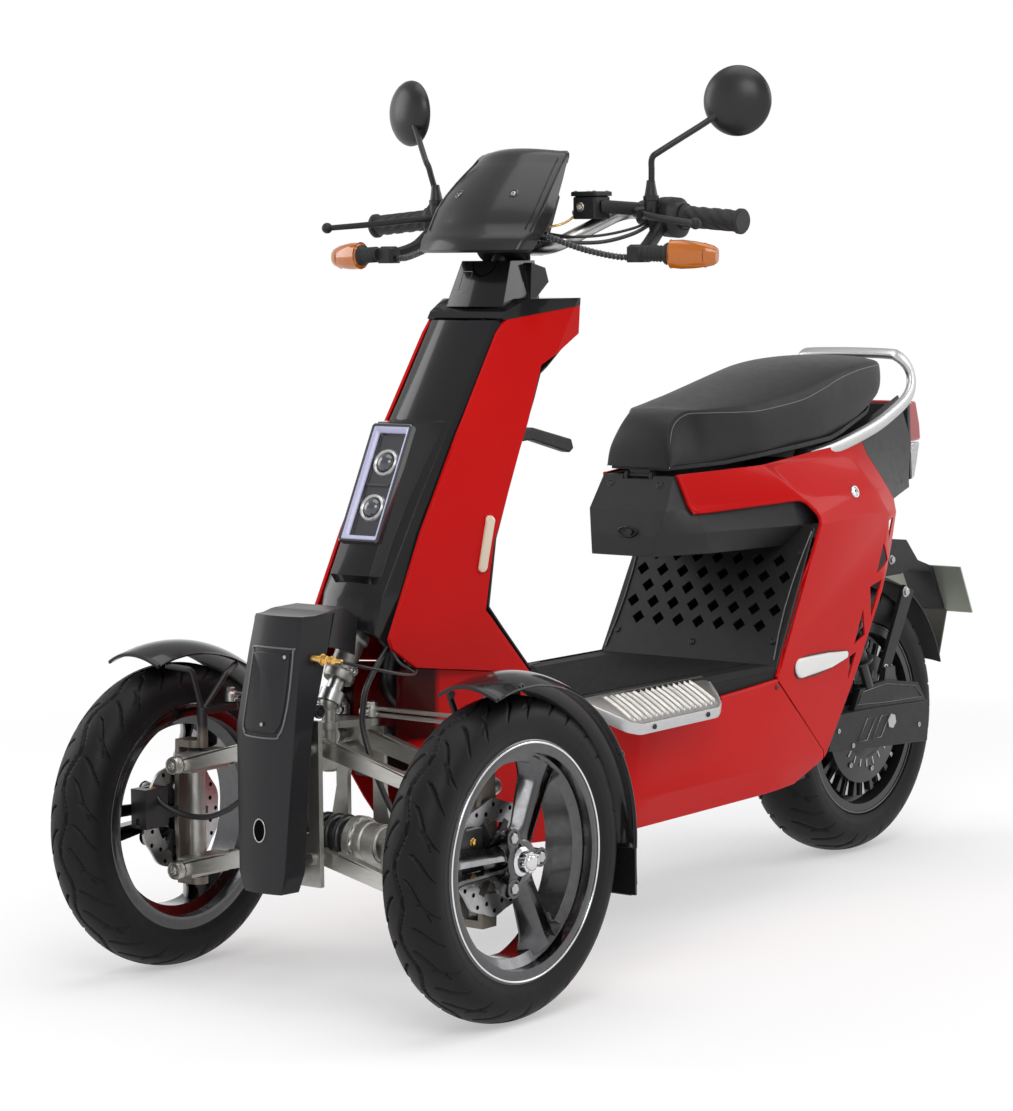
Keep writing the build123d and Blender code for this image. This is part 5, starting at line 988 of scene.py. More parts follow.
wells, screws, strips = [], [], []
screenWell = {"steps": 28, "profile": [(0.6, 7.8), (1, 7), (0.2, 6.4), (-1.4, 6), (-1.6, 0.4), (-2.4, 0.4),
                                       (-2.4, 7.8)]}
for side in (-1, 1):
    place, way = screenFace(side * 0.56, 1133), screenWay(side * 0.56, 1133)
    wells.append(turned(screenWell, place, way))
    screws.append(socketHead(place - way * 0.0012, way, 0.0036, 0.0014))
    line = [screenFace(side * 0.985, z) + screenWay(side * 0.93, z) * 0.0006
            for z in (1080, 1100, 1120, 1140, 1160, 1176, 1184)]
    strips.append(tube(line, 0.0011, 8))
settle("windshield_wells", *merged(*wells), "lampDark", "steering", 30, "gloss_black")
settle("windshield_screws", *merged(*screws), "steel", "steering", 30, "silver_steel")
settle("windshield_strips", *merged(*strips), "semiBlack", "steering", 60, "satin_grey")
print("windshield made")

# headlamp: a lit frame with mitred corners round a dark box and two round units
lampSpot = {"behind": 112, "height": 718, "tilt": 26.6, "half": 0.033, "tall": 0.088, "unit": 0.0187,
            "pitch": 0.035}


def lampPoint(u, v, w):
    tilt = radians(lampSpot["tilt"])
    reach = Vector((u, v * sin(tilt) - w * cos(tilt), v * cos(tilt) + w * sin(tilt)))
    return at(0, lampSpot["behind"], lampSpot["height"]) + reach


def lampRing(inset, w, c):
    # an upright oblong with its corners cut back by c
    half, tall = lampSpot["half"] - inset, lampSpot["tall"] - inset
    corners = [(-half + c, -tall), (half - c, -tall), (half, -tall + c), (half, tall - c)]
    return [lampPoint(x, y, w) for x, y in corners + [(-x, -y) for x, y in corners]]


lampRows = {
    # inset from the frame's outer edge, height over its face, cut corner
    "frame": [(0, -0.004, 0.001), (0, 0.0042, 0.001), (0.0014, 0.0050, 0.001), (0.00315, 0.0044, 0.001),
              (0.0081, -0.0010, 0.001), (0.009, -0.006, 0.001)],
    "box": [(0.0100, -0.0066, 0.002), (0.0096, -0.0060, 0.002), (0.0087, -0.0024, 0.001),
            (0.001, -0.0040, 0.001), (0.001, -0.0090, 0.001)],
    "rim": [(-0.0042, -0.0050, 0.003), (-0.0042, 0.0044, 0.003), (-0.0030, 0.0058, 0.003),
            (-0.0006, 0.0058, 0.002), (0.0004, 0.0040, 0.001), (0.0004, -0.0050, 0.001)],
}
frameShape, box, rim = ([lampRing(*row) for row in lampRows[key]] for key in ("frame", "box", "rim"))
made = settle("lamp_frame", *loft(frameShape, True, True), "lampRing", "root", 30, "clear_lens")
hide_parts("headlamp")
settle("lamp_rim", *loft(rim, True, True), "lampDark", "root", 30, "gloss_black")
settle("lamp_box", *loft(box), "lampDark", "root", 30, "gloss_black")
balls, bezels = [], []
for v in (-lampSpot["pitch"], lampSpot["pitch"]):
    place, way = lampPoint(0, v, -0.0064), lampPoint(0, v, 1) - lampPoint(0, v, 0)
    r = lampSpot["unit"]
    balls.append(spin([(0.0105 * cos(t * pi / 20), r * 0.80 * sin(t * pi / 20)) for t in range(0, 11)][1:]
                      + [(-0.001, r * 0.80), (-0.001, 0.0002), (0.0104, 0.0002)], place, way, 40))
    bezels.append(spin([(-0.001, r * 0.82), (0.0030, r * 0.82), (0.0045, r * 0.90), (0.0052, r),
                        (0.0048, r * 1.05), (0.0010, r * 1.16), (-0.001, r * 1.20)], place, way, 40))
bar = [lampPoint(u, v, -0.0062) for u, v in ((-0.019, -0.0017), (0.019, -0.0017), (0.019, 0.0007),
                                             (-0.019, 0.0007))]
balls.append(slab(bar, lampPoint(0, 0, 1) - lampPoint(0, 0, 0), 0.004))
settle("lamp_units", *merged(*balls), "mirrorDark", "root", 40, "clear_lens")
settle("lamp_bezels", *merged(*bezels), "steel", "root", 40, "silver_steel")
print("headlamp made")


# fork cover: a raised outline round its bare inset, the oval hole and the side well
coverRows = ((165, 34, -144, 5), (192, 42, -146, 6), (395, 54, -134, 9), (504, 47, -112, 8),
             (549, 43, -102, 7))


def coverFace(x, height, lift=0.0):
    half, station, bow = between(coverRows, height)
    return at(x, station - bow * (1 - (x / half) ** 2) - lift, height)


insetLine = [(-34, 500), (-36, 440), (-37, 400), (-33, 388), (-26, 383), (24, 383), (31, 388), (37, 400),
             (40, 440), (38, 500), (35, 505), (-31, 505)]
insetPath = flow([Vector((x, 0, z)) for x, z in insetLine + insetLine[:1]], 5)[:-1]
rim = tube([coverFace(p.x, p.z, 0.4) for p in insetPath], 0.0015, 8, True)
inset = []
middle = Vector((0.5, 0, 444))
for shrink, lift in ((0.90, 0.4), (0.885, 1.5), (0.865, 1.9)):
    inset.append([coverFace(q.x, q.z, lift) for q in (middle + (p - middle) * shrink for p in insetPath)])
settle("cover_outline", *rim, "coverLine", "root", 60, "satin_grey")
settle("cover_inset", *loft(inset), "semiBlack", "root", 30, "satin_grey")
screws = merged(socketHead(coverFace(2, 401, 1.9), (0, -1, 0.1), 0.0026, 0.0012),
                socketHead(coverFace(27, 494, 1.9), (0, -1, 0.1), 0.0026, 0.0012))
settle("cover_screws", *screws, "steel", "root", 30, "silver_steel")
ovalRing, ovalWell = [], []
for k in range(40):
    turn = 2 * pi * k / 40
    ovalRing.append(coverFace(10.5 * cos(turn), 253 + 16 * sin(turn), 0.5))
for size, lift in ((10.3, 0.3), (9.8, -1.2), (9.6, -2.2)):
    turns = [2 * pi * k / 40 for k in range(40)]
    ovalWell.append([coverFace(size * cos(turn), 253 + size * 1.53 * sin(turn), lift) for turn in turns])
ovalWell[0] = [p + Vector((0, -0.0004, 0)) for p in ovalWell[0]]
# the oval hole: a shallow well in near black, painted shade
settle("cover_hole", *loft(ovalWell), "holeDark", "root", 30, "matte_black")
settle("cover_hole_ring", *tube(ovalRing, 0.0010, 8, True), "steel", "root", 60, "silver_steel")
print("fork cover trimmed")
coverWell = {"steps": 36, "profile": [(-3, 0.2), (-3, 9.8), (0.6, 9.8), (1.8, 8.8), (1, 7.2), (-1.4, 6.6),
                                      (-1.4, 4), (0.8, 3.4), (0.8, 0.2)]}
sideWell = turned(coverWell, at(57.0, -84, 416), (1, -0.06, 0))
bothSides("cover_side_wells", sideWell, "cowlGrey", "root", slot="satin_grey")


# front mechanism: bushes, nuts, coil, rods, hoses
def bush(place, way, radius, length):
    place, way = Vector(place), Vector(way).normalized()
    sleeve = spin([(0, 0.0002), (0, radius), (length * 0.72, radius), (length, radius * 0.92),
                   (length, radius * 0.76), (length * 0.66, radius * 0.70), (length * 0.66, 0.0002)], place,
                  way, 40)
    return merged(sleeve, socketHead(place + way * length * 0.6, way, radius * 0.46, length * 0.62))


crownSet = {
    # share of the radius, share of the height, whether it has flats
    "rows": [(1, 0, True), (1, 0.55, True), (0.80, 0.60, False), (0.80, 0.95, False), (0.66, 1, False),
             (0.5, 1, False), (0.48, 1.18, False), (0.34, 1.26, False)],
    "cut": 0.28,
}


def crownNut(place, way, radius, height):
    # a castellated nut on a threaded end
    place, (way, first, second) = Vector(place), framed(way)
    rings = []
    for size, lift, flats in crownSet["rows"]:
        ring = []
        for k in range(36):
            angle = 2 * pi * k / 36
            reach = radius * size * (cos(pi / 6) / cos((angle % (pi / 3)) - pi / 6) if flats else 0.93)
            cut = crownSet["cut"] if k % 6 == 0 and not flats and size > 0.6 and lift > 0.7 else 0
            ring.append(place + way * height * (lift - cut) + (first * cos(angle)
                + second * sin(angle)) * reach)
        rings.append(ring)
    return loft(rings)


armSet = {"outer": 248, "upper": 310, "lower": 156, "face": 57, "kingpin": 260, "innerTop": 360,
          "innerLow": 205}
outerBushes = []
for height in (armSet["upper"], armSet["lower"]):
    for way in (-1, 1):
        outerBushes.append(bush(at(armSet["outer"] - 4, armSet["face"] * way, height), (0, way, 0), 0.0135,
                                0.011))
bothSides("arm_bushes", merged(*outerBushes), "rawAluminium", "root", slot="bare_aluminium")
nuts = merged(crownNut(at(armSet["kingpin"], 0, 324), (0, 0, 1), 0.0115, 0.013),
              crownNut(at(armSet["kingpin"], 0, 142), (0, 0, -1), 0.0115, 0.011))
bothSides("kingpin_nuts", nuts, "blackSteel", "root", slot="black_steel")
innerBushes = merged(*[bush(at(30, 80, height), (0, 1, 0), 0.0125, 0.009)
                       for height in (armSet["innerTop"], armSet["innerLow"])])
bothSides("pivot_bushes", innerBushes, "steel", "root", slot="silver_steel")
# bright upper flanges along the arms, as the real rolled edges
flanges = []
for high, low in ((372, 320), (218, 168)):
    for leg in (-56, 44):
        outline = [at(x, leg, z) for x, z in ((62, high - 6), (236, low - 4), (236, low - 0.5),
                                              (62, high - 2.5))]
        flanges.append(slab(outline, (0, 1, 0), 0.012))
made = bothSides("arm_flanges", merged(*flanges), "rawAluminium", "root", slot="bare_aluminium")
for piece in made:
    softened(piece, 0.0008, 2)

springSet = {"turns": 5.2, "wire": 0.0060, "coil": 0.0298, "from": -49, "to": 48}
turns = 26 * 5
helix = []
for k in range(turns + 1):
    share = k / turns
    angle = 2 * pi * springSet["turns"] * share
    ease = max(0.0, min(1.0, (share - 0.08) / 0.84))
    x = springSet["from"] + 6 + (springSet["to"] - springSet["from"] - 12) * (ease * 0.94 + share * 0.06)
    helix.append(at(x, 0, 222) + Vector((0, cos(angle), sin(angle))) * springSet["coil"])
made = settle("damper_coil", *tube(helix, springSet["wire"], 12), "blackSteel", "root", 60, "black_steel")
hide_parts("damper_spring")
collar = []
for k in range(60):
    angle = 2 * pi * k / 60
    reach = 0.0345 if k % 5 < 3 else 0.0318
    collar.append((reach * cos(angle), reach * sin(angle)))
serrated = loft([[at(x, 0, 222) + Vector((0, y * s, z * s)) for y, z in collar]
                 for x, s in ((50, 0.90), (51, 1.0), (62, 1.0), (64, 0.94))])
collarBody = {"steps": 60, "profile": [(0, 23.5), (0, 30.5), (4, 31.2), (12, 30), (16, 26.5), (38, 26.2),
                                       (41, 23.5)]}
body = turned(collarBody, at(64, 0, 222), (1, 0, 0))
settle("damper_collar", *merged(serrated, body), "castSilver", "root", 30, "silver_steel")
print("springs and bushes made")

# steering rods: two round bars between cast ends, with hexagon posts
linkSet = {"inner": (28, 62), "outer": (246, 62), "height": 397.5}
ends, bars = [], []
rodEnd = {"steps": 32, "profile": [(-8.5, 0.2), (-8.5, 9.4), (-7, 10.8), (5, 10.8), (6.6, 9.4), (6.6, 0.2)]}
for x, a in (linkSet["inner"], linkSet["outer"]):
    ends.append(turned(rodEnd, at(x, a, linkSet["height"]), (0, 0, 1)))
    ends.append(hexHead(at(x, a, linkSet["height"] + 6.6), (0, 0, 1), 0.0072, 0.0070))
start, goal = at(*linkSet["inner"], linkSet["height"]), at(*linkSet["outer"], linkSet["height"])
for lift in (-0.0045, 0.0045):
    bars.append(tube([start + Vector((0.008, 0, lift)), goal + Vector((-0.008, 0, lift))], 0.0033, 12))
rods = bothSides("steering_rod", merged(*ends, *bars), "rawAluminium", ("tie_rod_left", "tie_rod_right"),
                 slot="bare_aluminium")
for piece, side in zip(rods, ("left", "right")):
    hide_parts("tie_rod_" + side)
bothSides("rod_bolts", bush(at(24, 52, 397.5), (0, -1, 0), 0.0078, 0.006), "chrome",
          ("tie_rod_left", "tie_rod_right"), slot="silver_steel")

tiltWay = Vector((0, sin(radians(33)), cos(radians(33))))


def column(height):
    return at(0, 0, 414) + tiltWay * ((height - 414) / 1000 / tiltWay.z)


sleeveShape = {"steps": 48, "profile": [(0, 12.4), (0, 20.5), (4, 22.5), (12, 22.5), (16, 18.5), (60, 18.5),
                                        (64, 22.5), (74, 22.5), (78, 19), (78, 12.4)]}
sleeve = turned(sleeveShape, column(444), tiltWay)
settle("column_sleeve", *sleeve, "castSilver", "steering", 30, "silver_steel")
bootShape = {"steps": 48, "profile": [(0, 6), (0, 37), (4, 41), (10, 37), (16, 42), (22, 37), (28, 40),
                                      (34, 30), (36, 6)]}
boot = turned(bootShape, column(1036), tiltWay)
settle("column_boot", *boot, "boardRubber", "steering", 50, "matte_black")
settle("column_bolts", *merged(bush(column(458) + Vector((0.0200, 0, 0)), (1, -0.5, 0), 0.0072, 0.007),
                               bush(column(458) + Vector((-0.0200, 0, 0)), (-1, -0.5, 0), 0.0072, 0.007)),
       "chrome", "steering", 30, "silver_steel")

# brass union on the cover's side, and the cables that leave it
unionAt = (at(52, -92, 491), at(101, -86, 489))
way = (unionAt[1] - unionAt[0]).normalized()
unionTail = {"steps": 24, "profile": [(40, 0.2), (40, 3.8), (49, 3.4), (50, 0.2)]}
unionBody = {"steps": 28, "profile": [(0, 0.2), (0, 5.2), (16, 5.2), (18, 4.2), (30, 4.2), (31, 0.2)]}
union = merged(turned(unionBody, unionAt[0], way), hexHead(unionAt[0] + way * 0.016, way, 0.0068, 0.011),
               hexHead(unionAt[0] + way * 0.031, way, 0.0052, 0.009), turned(unionTail, unionAt[0], way))
settle("brass_union", *union, "brass", "root", 30, "silver_steel")
cableSet = {
    "union": (0.0024, [(110, -60, 481), (116, -20, 471), (114, 30, 460), (98, 74, 455), (70, 112, 462)]),
    "loop": (0.0022, [(40, 130, 540), (56, 70, 506), (88, 46, 478), (100, 64, 460), (84, 92, 455),
                      (66, 118, 462)]),
    "hose": (0.0044, [(46, 96, 520), (60, 60, 492), (66, 30, 470), (67, 4, 440), (66, -2, 414),
                      (66, -4, 389),
                      (76, -6, 360), (98, -11, 318), (130, -20, 279), (168, -30, 249)]),
}
cables = []
for key, (size, places) in cableSet.items():
    start = [unionAt[1] - way * 0.004] if key == "union" else []
    cables.append(tube(flow(start + [at(*place) for place in places], 8), size, 10))
settle("front_cables", *merged(*cables), "cable", "root", 60, "matte_black")
hoses = {"left": route([(166, -30, 250), (200, -38, 236), (240, -46, 236), (272, -58, 250),
                        (288, -60, 268)], 10)}
for side, sign in (("left", 1), ("right", -1)):
    line = [Vector((p.x * sign, p.y, p.z)) for p in hoses["left"]]
    points, faces = tube(line, 0.0042, 10)
    made = settle("brake_hose_" + side, points, faces, "cable", None, 60, "matte_black")
    "knuckle_" + side
    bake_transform(made)
size, places = cableSet["hose"]
rightHose = tube(route([(-x, a, z) for x, a, z in places], 8), size, 10)
settle("right_hose", *rightHose, "cable", "root", 60, "matte_black")
caliperUnion = {"steps": 24, "profile": [(0, 0.2), (0, 6.2), (7, 6.2), (8.5, 4.5), (8.5, 0.2)]}
caliperTrim = merged(turned(caliperUnion, at(289, -60, 266), (-0.1, -0.2, 1)),
                     hexHead(at(309, -62, 256), (1, 0, 0), 0.0050, 0.004),
                     hexHead(at(309, -62, 230), (1, 0, 0), 0.0050, 0.004))
bothSides("caliper_trim", caliperTrim, "brass", knuckleBodies, slot="silver_steel")
# the disc's drilled holes: near-black plugs, painted shade
holes = []
discHole = {"steps": 18, "profile": [(-2.15, 0.1), (-2.15, 3.3), (2.15, 3.3), (2.15, 0.1)]}
for ring, count, shift in ((0.0735, 12, 0), (0.0640, 12, 0.5)):
    for k in range(count):
        turn = 2 * pi * (k + shift) / count
        place = centres["left"] + Vector((-0.018, ring * cos(turn), ring * sin(turn)))
        holes.append(turned(discHole, place, (1, 0, 0)))
bothSides("disc_holes", merged(*holes), "holeDark", frontBodies, slot="matte_black")

# fenders: a paler front lip, a side screw and the thick mud flap
fenderSet = {"crown": 0.258, "edge": 0.242, "half": 0.050}


def fenderAt(angle, across, lift=0.0):
    turn = radians(angle)
    share = across / fenderSet["half"]
    radius = fenderSet["edge"] + (fenderSet["crown"] - fenderSet["edge"]) * (1 - share * share) + lift
    return centres["left"] + Vector((across, sin(turn) * radius, cos(turn) * radius))


lip, low = ([[fenderAt(angle, -0.0495 + 0.099 * k / 16, lift) for k in range(17)]
             for angle in (-16.5, -17.3, -18.1)] for lift in (0.0012, -0.0036))
bothSides("fender_lip", sheetShell(lip, low), "semiBlack", knuckleBodies, slot="satin_grey")
edges = []
for across in (-0.0500, 0.0500):
    edges.append(tube([fenderAt(-17 + 111 * k / 40, across, -0.0012) for k in range(41)], 0.0017, 8))
bothSides("fender_edges", merged(*edges), "glossBlack", knuckleBodies, slot="gloss_black")
screw = merged(*[socketHead(fenderAt(angle, 0.047, -0.001), (1, 0, 0.4), 0.0046, 0.0030)
                 for angle in (-4, 60)])
bothSides("fender_screws", screw, "blackSteel", knuckleBodies, slot="black_steel")
flapOuter, flapInner = [], []
for row in range(9):
    share = row / 8
    width = 47 * (1 - 0.18 * max(0, share - 0.75) / 0.25)
    flapOuter.append([at(311.5 + width * (k / 6 - 1), 245 + 3 * share, 206 - 68 * share)
                      for k in range(13)])
    flapInner.append([p - Vector((0, 0.005, 0)) for p in flapOuter[-1]])
bothSides("mud_flap", sheetShell(flapOuter, flapInner), "flapOlive", knuckleBodies, slot="matte_black")
print("front mechanism dressed")

# bars: grips, levers, reservoirs, mirrors, indicators with their wrapped looms
barTip, barKnee = at(349, 529, 1088), at(130, 541, 1106)
barWay = (barTip - barKnee).normalized()


def onBar(x):
    return barKnee + barWay * ((x / 1000 - barKnee.x) / barWay.x)


def swept(path, sections, sides=24, power=2.6):
    # rounded-oblong sections (half width, half height) along a path, upright as seen along it
    path = [Vector(p) for p in path]
    rings, side = [], None
    for index, (point, (wide, tall)) in enumerate(zip(path, sections)):
        way = (path[min(index + 1, len(path) - 1)] - path[max(index - 1, 0)]).normalized()
        if side is None:
            side = way.cross(Vector((0, 0, 1))).normalized()
        else:
            side = (side - way * side.dot(way)).normalized()
        rise = side.cross(way)
        ring = []
        for k in range(sides):
            c, s = cos(2 * pi * k / sides), sin(2 * pi * k / sides)
            x, z = (abs(value) ** (2 / power) * (1 if value > 0 else -1) for value in (c, s))
            ring.append(point + side * x * wide + rise * z * tall)
        rings.append(ring)
    return loft(rings)


def boxed(low, high, chamfer):
    # a box between two corners with its upright edges and its top cut back
    (x0, y0, z0), (x1, y1, z1) = low, high
    rings = []
    for inset, z in ((0, z0), (0, z1 - chamfer), (chamfer, z1)):
        a, b = inset, inset + chamfer * 1.2
        rings.append([Vector(p) for p in ((x0 + b, y0 + a, z), (x1 - b, y0 + a, z), (x1 - a, y0 + b, z),
                                          (x1 - a, y1 - b, z), (x1 - b, y1 - a, z), (x0 + b, y1 - a, z),
                                          (x0 + a, y1 - b, z), (x0 + a, y0 + b, z))])
    return loft(rings)


gripRings = []
side = barWay.cross(Vector((0, 0, 1))).normalized()
rise = side.cross(barWay)
for row in range(110):
    x = 244 + 108 * row / 109
    base = 0.0152
    if x < 250:
        base = 0.0175 if x < 248 else 0.0158
    if x > 345:
        base = 0.0188 if x < 350.5 else 0.0170
    ring = []
    for k in range(64):
        angle = 2 * pi * k / 64
        pattern = 0.0
        if 252 < x < 343:
            wave = (angle / (2 * pi) * 6 + x / 22.0) % 1.0
            fold = abs(((x - 252) / 30.0) % 2.0 - 1.0)
            pattern = 0.0010 if wave < 0.36 + 0.2 * fold else 0.0
        ring.append(onBar(x) + (side * cos(angle) + rise * sin(angle)) * (base + pattern))
    gripRings.append(ring)
grips = merged(loft(gripRings), flipped(loft(gripRings)))
made = settle("bar_grips", *grips, "gripRubber", "steering", 35, "grip_rubber")
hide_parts("grips")

housingSet = {
    # across, half width, half height
    "rows": [(192, 0.0175, 0.0175), (194, 0.0205, 0.0215), (200, 0.0215, 0.0230), (212, 0.0215, 0.0230),
             (213, 0.0205, 0.0220), (215, 0.0205, 0.0220), (216, 0.0220, 0.0235), (232, 0.0225, 0.0235),
             (240, 0.0205, 0.0215), (243.4, 0.0190, 0.0195)],
}
housing = []
for x, wide, tall in housingSet["rows"]:
    grow = 1.28 if 194 < x < 240 else 1.0
    housing.append((onBar(x) - Vector((0, 0, 0.003 if grow > 1 else 0)), (wide * grow, tall * grow)))
parts = [swept([p for p, _ in housing], [s for _, s in housing])]
parts.append(swept([onBar(164), onBar(166), onBar(188), onBar(190)],
                   [(0.016, 0.016), (0.0185, 0.0185), (0.0185, 0.0185), (0.016, 0.016)]))
lever = route([(190, 512, 1101), (200, 500, 1100), (214, 484, 1098), (236, 469, 1095.5), (268, 455, 1092),
               (300, 441, 1089), (330, 424, 1086.5), (347, 413, 1085)], 5)
sizes = []
for index in range(len(lever)):
    t = index / (len(lever) - 1)
    sizes.append((0.0062 - 0.0022 * t + 0.004 * max(0, 0.18 - t) / 0.18,
                  0.0058 - 0.0016 * t + 0.003 * max(0, 0.18 - t) / 0.18))
parts.append(swept(lever, sizes, 16, 3.0))
parts.append(spin([(0.0085 * cos(pi * k / 12), max(0.0002, 0.0085 * sin(pi * k / 12))) for k in range(13)],
                  at(349, 411.5, 1085), (0.9, -0.5, 0), 24))
parts.append(swept(route([(168, 530, 1108), (150, 512, 1110), (132, 492, 1112), (126, 486, 1112)], 4),
                   [(0.010, 0.010)] * 13, 16, 3.4))
parts.append(swept([at(176, 528, 1104), at(180, 512, 1103), at(192, 502, 1101)],
                   [(0.012, 0.009), (0.012, 0.008), (0.010, 0.007)], 16, 4))
leverScrew = hexHead(at(197, 505, 1108), (0, 0, 1), 0.0048, 0.004)
made = bothSides("bar_controls", merged(*parts), "matteBlack", "steering", sharp=34, slot="matte_black")[0]
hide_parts("controls")
tank = boxed(at(88, 466, 1094), at(130, 506, 1128), 0.0022)
lid = boxed(at(86, 464, 1128), at(132, 508, 1135), 0.0014)
made = bothSides("brake_reservoirs", merged(tank, lid), "matteBlack", "steering", sharp=30,
                 slot="matte_black")[0]
softened(made, 0.0008, 2)
sightGlass = {"steps": 32, "profile": [(0, 0.2), (0, 7), (2.2, 7), (3, 6.2), (3, 4.6), (1.4, 4.2),
                                       (1.4, 0.2)]}
glass = turned(sightGlass, at(104, 466, 1112), (0, -1, 0))
lidScrews = merged(*[socketHead(at(x, a, 1135), (0, 0, 1), 0.0026, 0.0012) for x in (92, 126)
                     for a in (470, 502)])
bothSides("sight_glasses", merged(glass, lidScrews, leverScrew), "steel", "steering", sharp=34,
          slot="silver_steel")
sightLens = {"steps": 28, "profile": [(0.8, 0.2), (0.8, 4.4), (2, 4), (2.6, 0.2)]}
bothSides("sight_lens", turned(sightLens, at(104, 466, 1112), (0, -1, 0)), "reflector", "steering",
          slot="clear_lens")
banjoBody = {"steps": 24, "profile": [(0, 0.2), (0, 6.4), (6, 6.4), (6, 0.2)]}
banjo = merged(hexHead(at(82, 484, 1104), (-1, 0, 0), 0.0050, 0.005),
               turned(banjoBody, at(88, 484, 1104), (-1, 0, 0)),
               tube(route([(84, 480, 1101), (78, 470, 1092), (70, 458, 1086), (58, 448, 1083)], 6), 0.0018,
                    10))
bothSides("banjo_fittings", banjo, "brass", "steering", slot="silver_steel")

mirrorSet = {"centre": (313, 570, 1265), "toe": 17,
             "shell": [(20, 0.0002), (19.6, 8), (18.4, 17), (16.2, 26), (12.8, 35), (8.4, 42.5),
                       (3.2, 48.2), (-1.5, 51.2), (-5, 52), (-7.4, 51.6), (-8.0, 50.4), (-7.6, 49.2),
                       (-6.4, 48.6), (-6.2, 0.0002)]}
toe = radians(mirrorSet["toe"])
mirrorBack = Vector((sin(toe), -cos(toe), 0))
mirrorPlace = at(*mirrorSet["centre"])
shell = spin([(x / 1000, max(r, 0.2) / 1000) for x, r in mirrorSet["shell"]], mirrorPlace, mirrorBack, 72)
arm = tube(route([(204, 506, 1118), (206, 504, 1140), (210, 499, 1164), (212, 496, 1177), (216, 495, 1185),
                  (224, 501, 1192), (250, 523, 1213), (276, 545, 1234), (296, 559, 1251), (304, 563, 1259)],
                 6), 0.0047, 14)
mirrorBoot = {"steps": 30, "profile": [(-4, 9.8), (4, 10.6), (14, 10.6), (15, 11.8), (21, 11.8), (22, 9.8),
                                       (36, 7.2), (44, 6.2), (44.5, 4), (-4, 4)]}
boot = turned(mirrorBoot, at(204, 506, 1106), (0.03, -0.06, 1))
made = bothSides("mirror_heads", merged(shell, arm, boot), "mirrorShell", "steering", sharp=36,
                 slot="matte_black")[0]
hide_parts("mirrors")
mirrorPane = {"steps": 72, "profile": [(-6.4, 0.2), (-6.4, 48.4), (-7, 48.4), (-7.4, 47.8), (-7.8, 0.2)]}
bothSides("mirror_glass", turned(mirrorPane, mirrorPlace, mirrorBack), "mirrorGlass", "steering",
          slot="silver_steel")
side = mirrorBack.cross(Vector((0, 0, 1))).normalized()
notch = []
for inset, lift in ((1.0, 0.0185), (0.8, 0.0148)):
    notch.append([mirrorPlace + side * x * inset + Vector((0, 0, z * inset))
                  + mirrorBack * max(0.004, lift - 0.00035 * (x * x + z * z) * 1e6 / 52)
                  for x, z in ((-0.024, -0.020), (-0.012, -0.026), (-0.001, -0.016), (-0.004, -0.004),
                               (-0.014, -0.004), (-0.025, -0.010))])
# a notch in each mirror head, its well painted shade
settle("mirror_wells_left", *loft(notch), "holeDark", "steering", 30, "matte_black")
settle("mirror_wells_right", *flipped(loft(notch)), "holeDark", "steering", 30, "matte_black")

lensFoot, lensWay = at(292, 427, 1042), Vector((73, 19, -3)).normalized()
stations = ((0.000, 0.0120, 0.0165), (0.003, 0.0148, 0.0202), (0.020, 0.0156, 0.0212),
            (0.040, 0.0142, 0.0196), (0.058, 0.0122, 0.0168), (0.068, 0.0104, 0.0142),
            (0.0735, 0.0078, 0.0106))
lens = swept([lensFoot + lensWay * s for s, _, _ in stations], [(w, h) for _, w, h in stations], 32, 2.5)
made = bothSides("indicator_lenses", lens, "amberLens", "steering", sharp=34, slot="amber_lens")[0]
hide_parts("signal_lenses")
lensSide, upward = lensWay.cross(Vector((0, 0, 1))).normalized(), Vector((0, 0, 1))
seam = [tube([lensFoot + lensWay * s + lensSide * cos(2 * pi * k / 40) * w
              + upward * sin(2 * pi * k / 40) * h for k in range(40)], 0.0007, 6, True)
        for s, w, h in ((0.0555, 0.0127, 0.0174), (0.0030, 0.0150, 0.0204))]
bothSides("indicator_seams", merged(*seam), "lampRimAmber", "steering", slot="amber_lens")
ribbed = []
for k in range(19):
    s = -0.046 + 0.0455 * k / 18
    wide = 0.0098 + 0.0012 * (k % 2) + (0.0035 if k > 15 else 0) - (0.0015 if k < 3 else 0)
    ribbed.append((lensFoot + lensWay * s, (wide, wide * 1.12)))
stem = swept([p for p, _ in ribbed], [s for _, s in ribbed], 24, 2.2)
bracket = swept(route([(214, 520, 1086), (217, 500, 1072), (221, 474, 1054), (232, 444, 1044),
                       (248, 420, 1042)], 5), [(0.0085, 0.0100)] * 21, 20, 3.2)
foot = boxed(at(222, 414, 1030), at(252, 440, 1056), 0.004)
made = bothSides("indicator_stems", merged(stem, bracket, foot), "matteBlack", "steering", sharp=34,
                 slot="matte_black")[0]
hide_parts("signal_stems")
loomLine = route([(96, 392, 1070), (116, 398, 1062), (150, 408, 1050), (182, 418, 1042), (206, 426, 1038),
                  (226, 430, 1038)], 8)
spiral, travelled = [], 0.0
for index in range(len(loomLine) - 1):
    for step in range(10):
        share = step / 10
        point = loomLine[index].lerp(loomLine[index + 1], share)
        way = (loomLine[index + 1] - loomLine[index]).normalized()
        _, side, other = framed(way)
        angle = 2 * pi * (travelled + (loomLine[index + 1] - loomLine[index]).length * share) / 0.0062
        spiral.append(point + (side * cos(angle) + other * sin(angle)) * 0.0044)
    travelled += (loomLine[index + 1] - loomLine[index]).length
bothSides("indicator_looms", tube(loomLine, 0.0042, 14), "cable", "steering", sharp=60, slot="matte_black")
bothSides("loom_wraps", tube(spiral, 0.0009, 5), "coverLine", "steering", sharp=60, slot="satin_grey")
barCableSet = {
    "thick": (0.0030, [(196, 520, 1088), (176, 500, 1072), (140, 470, 1060), (96, 440, 1060),
                       (60, 424, 1066), (30, 418, 1070)]),
    "thin": (0.0022, [(190, 528, 1092), (168, 512, 1080), (130, 486, 1070), (90, 462, 1068),
                      (50, 448, 1074)]),
}
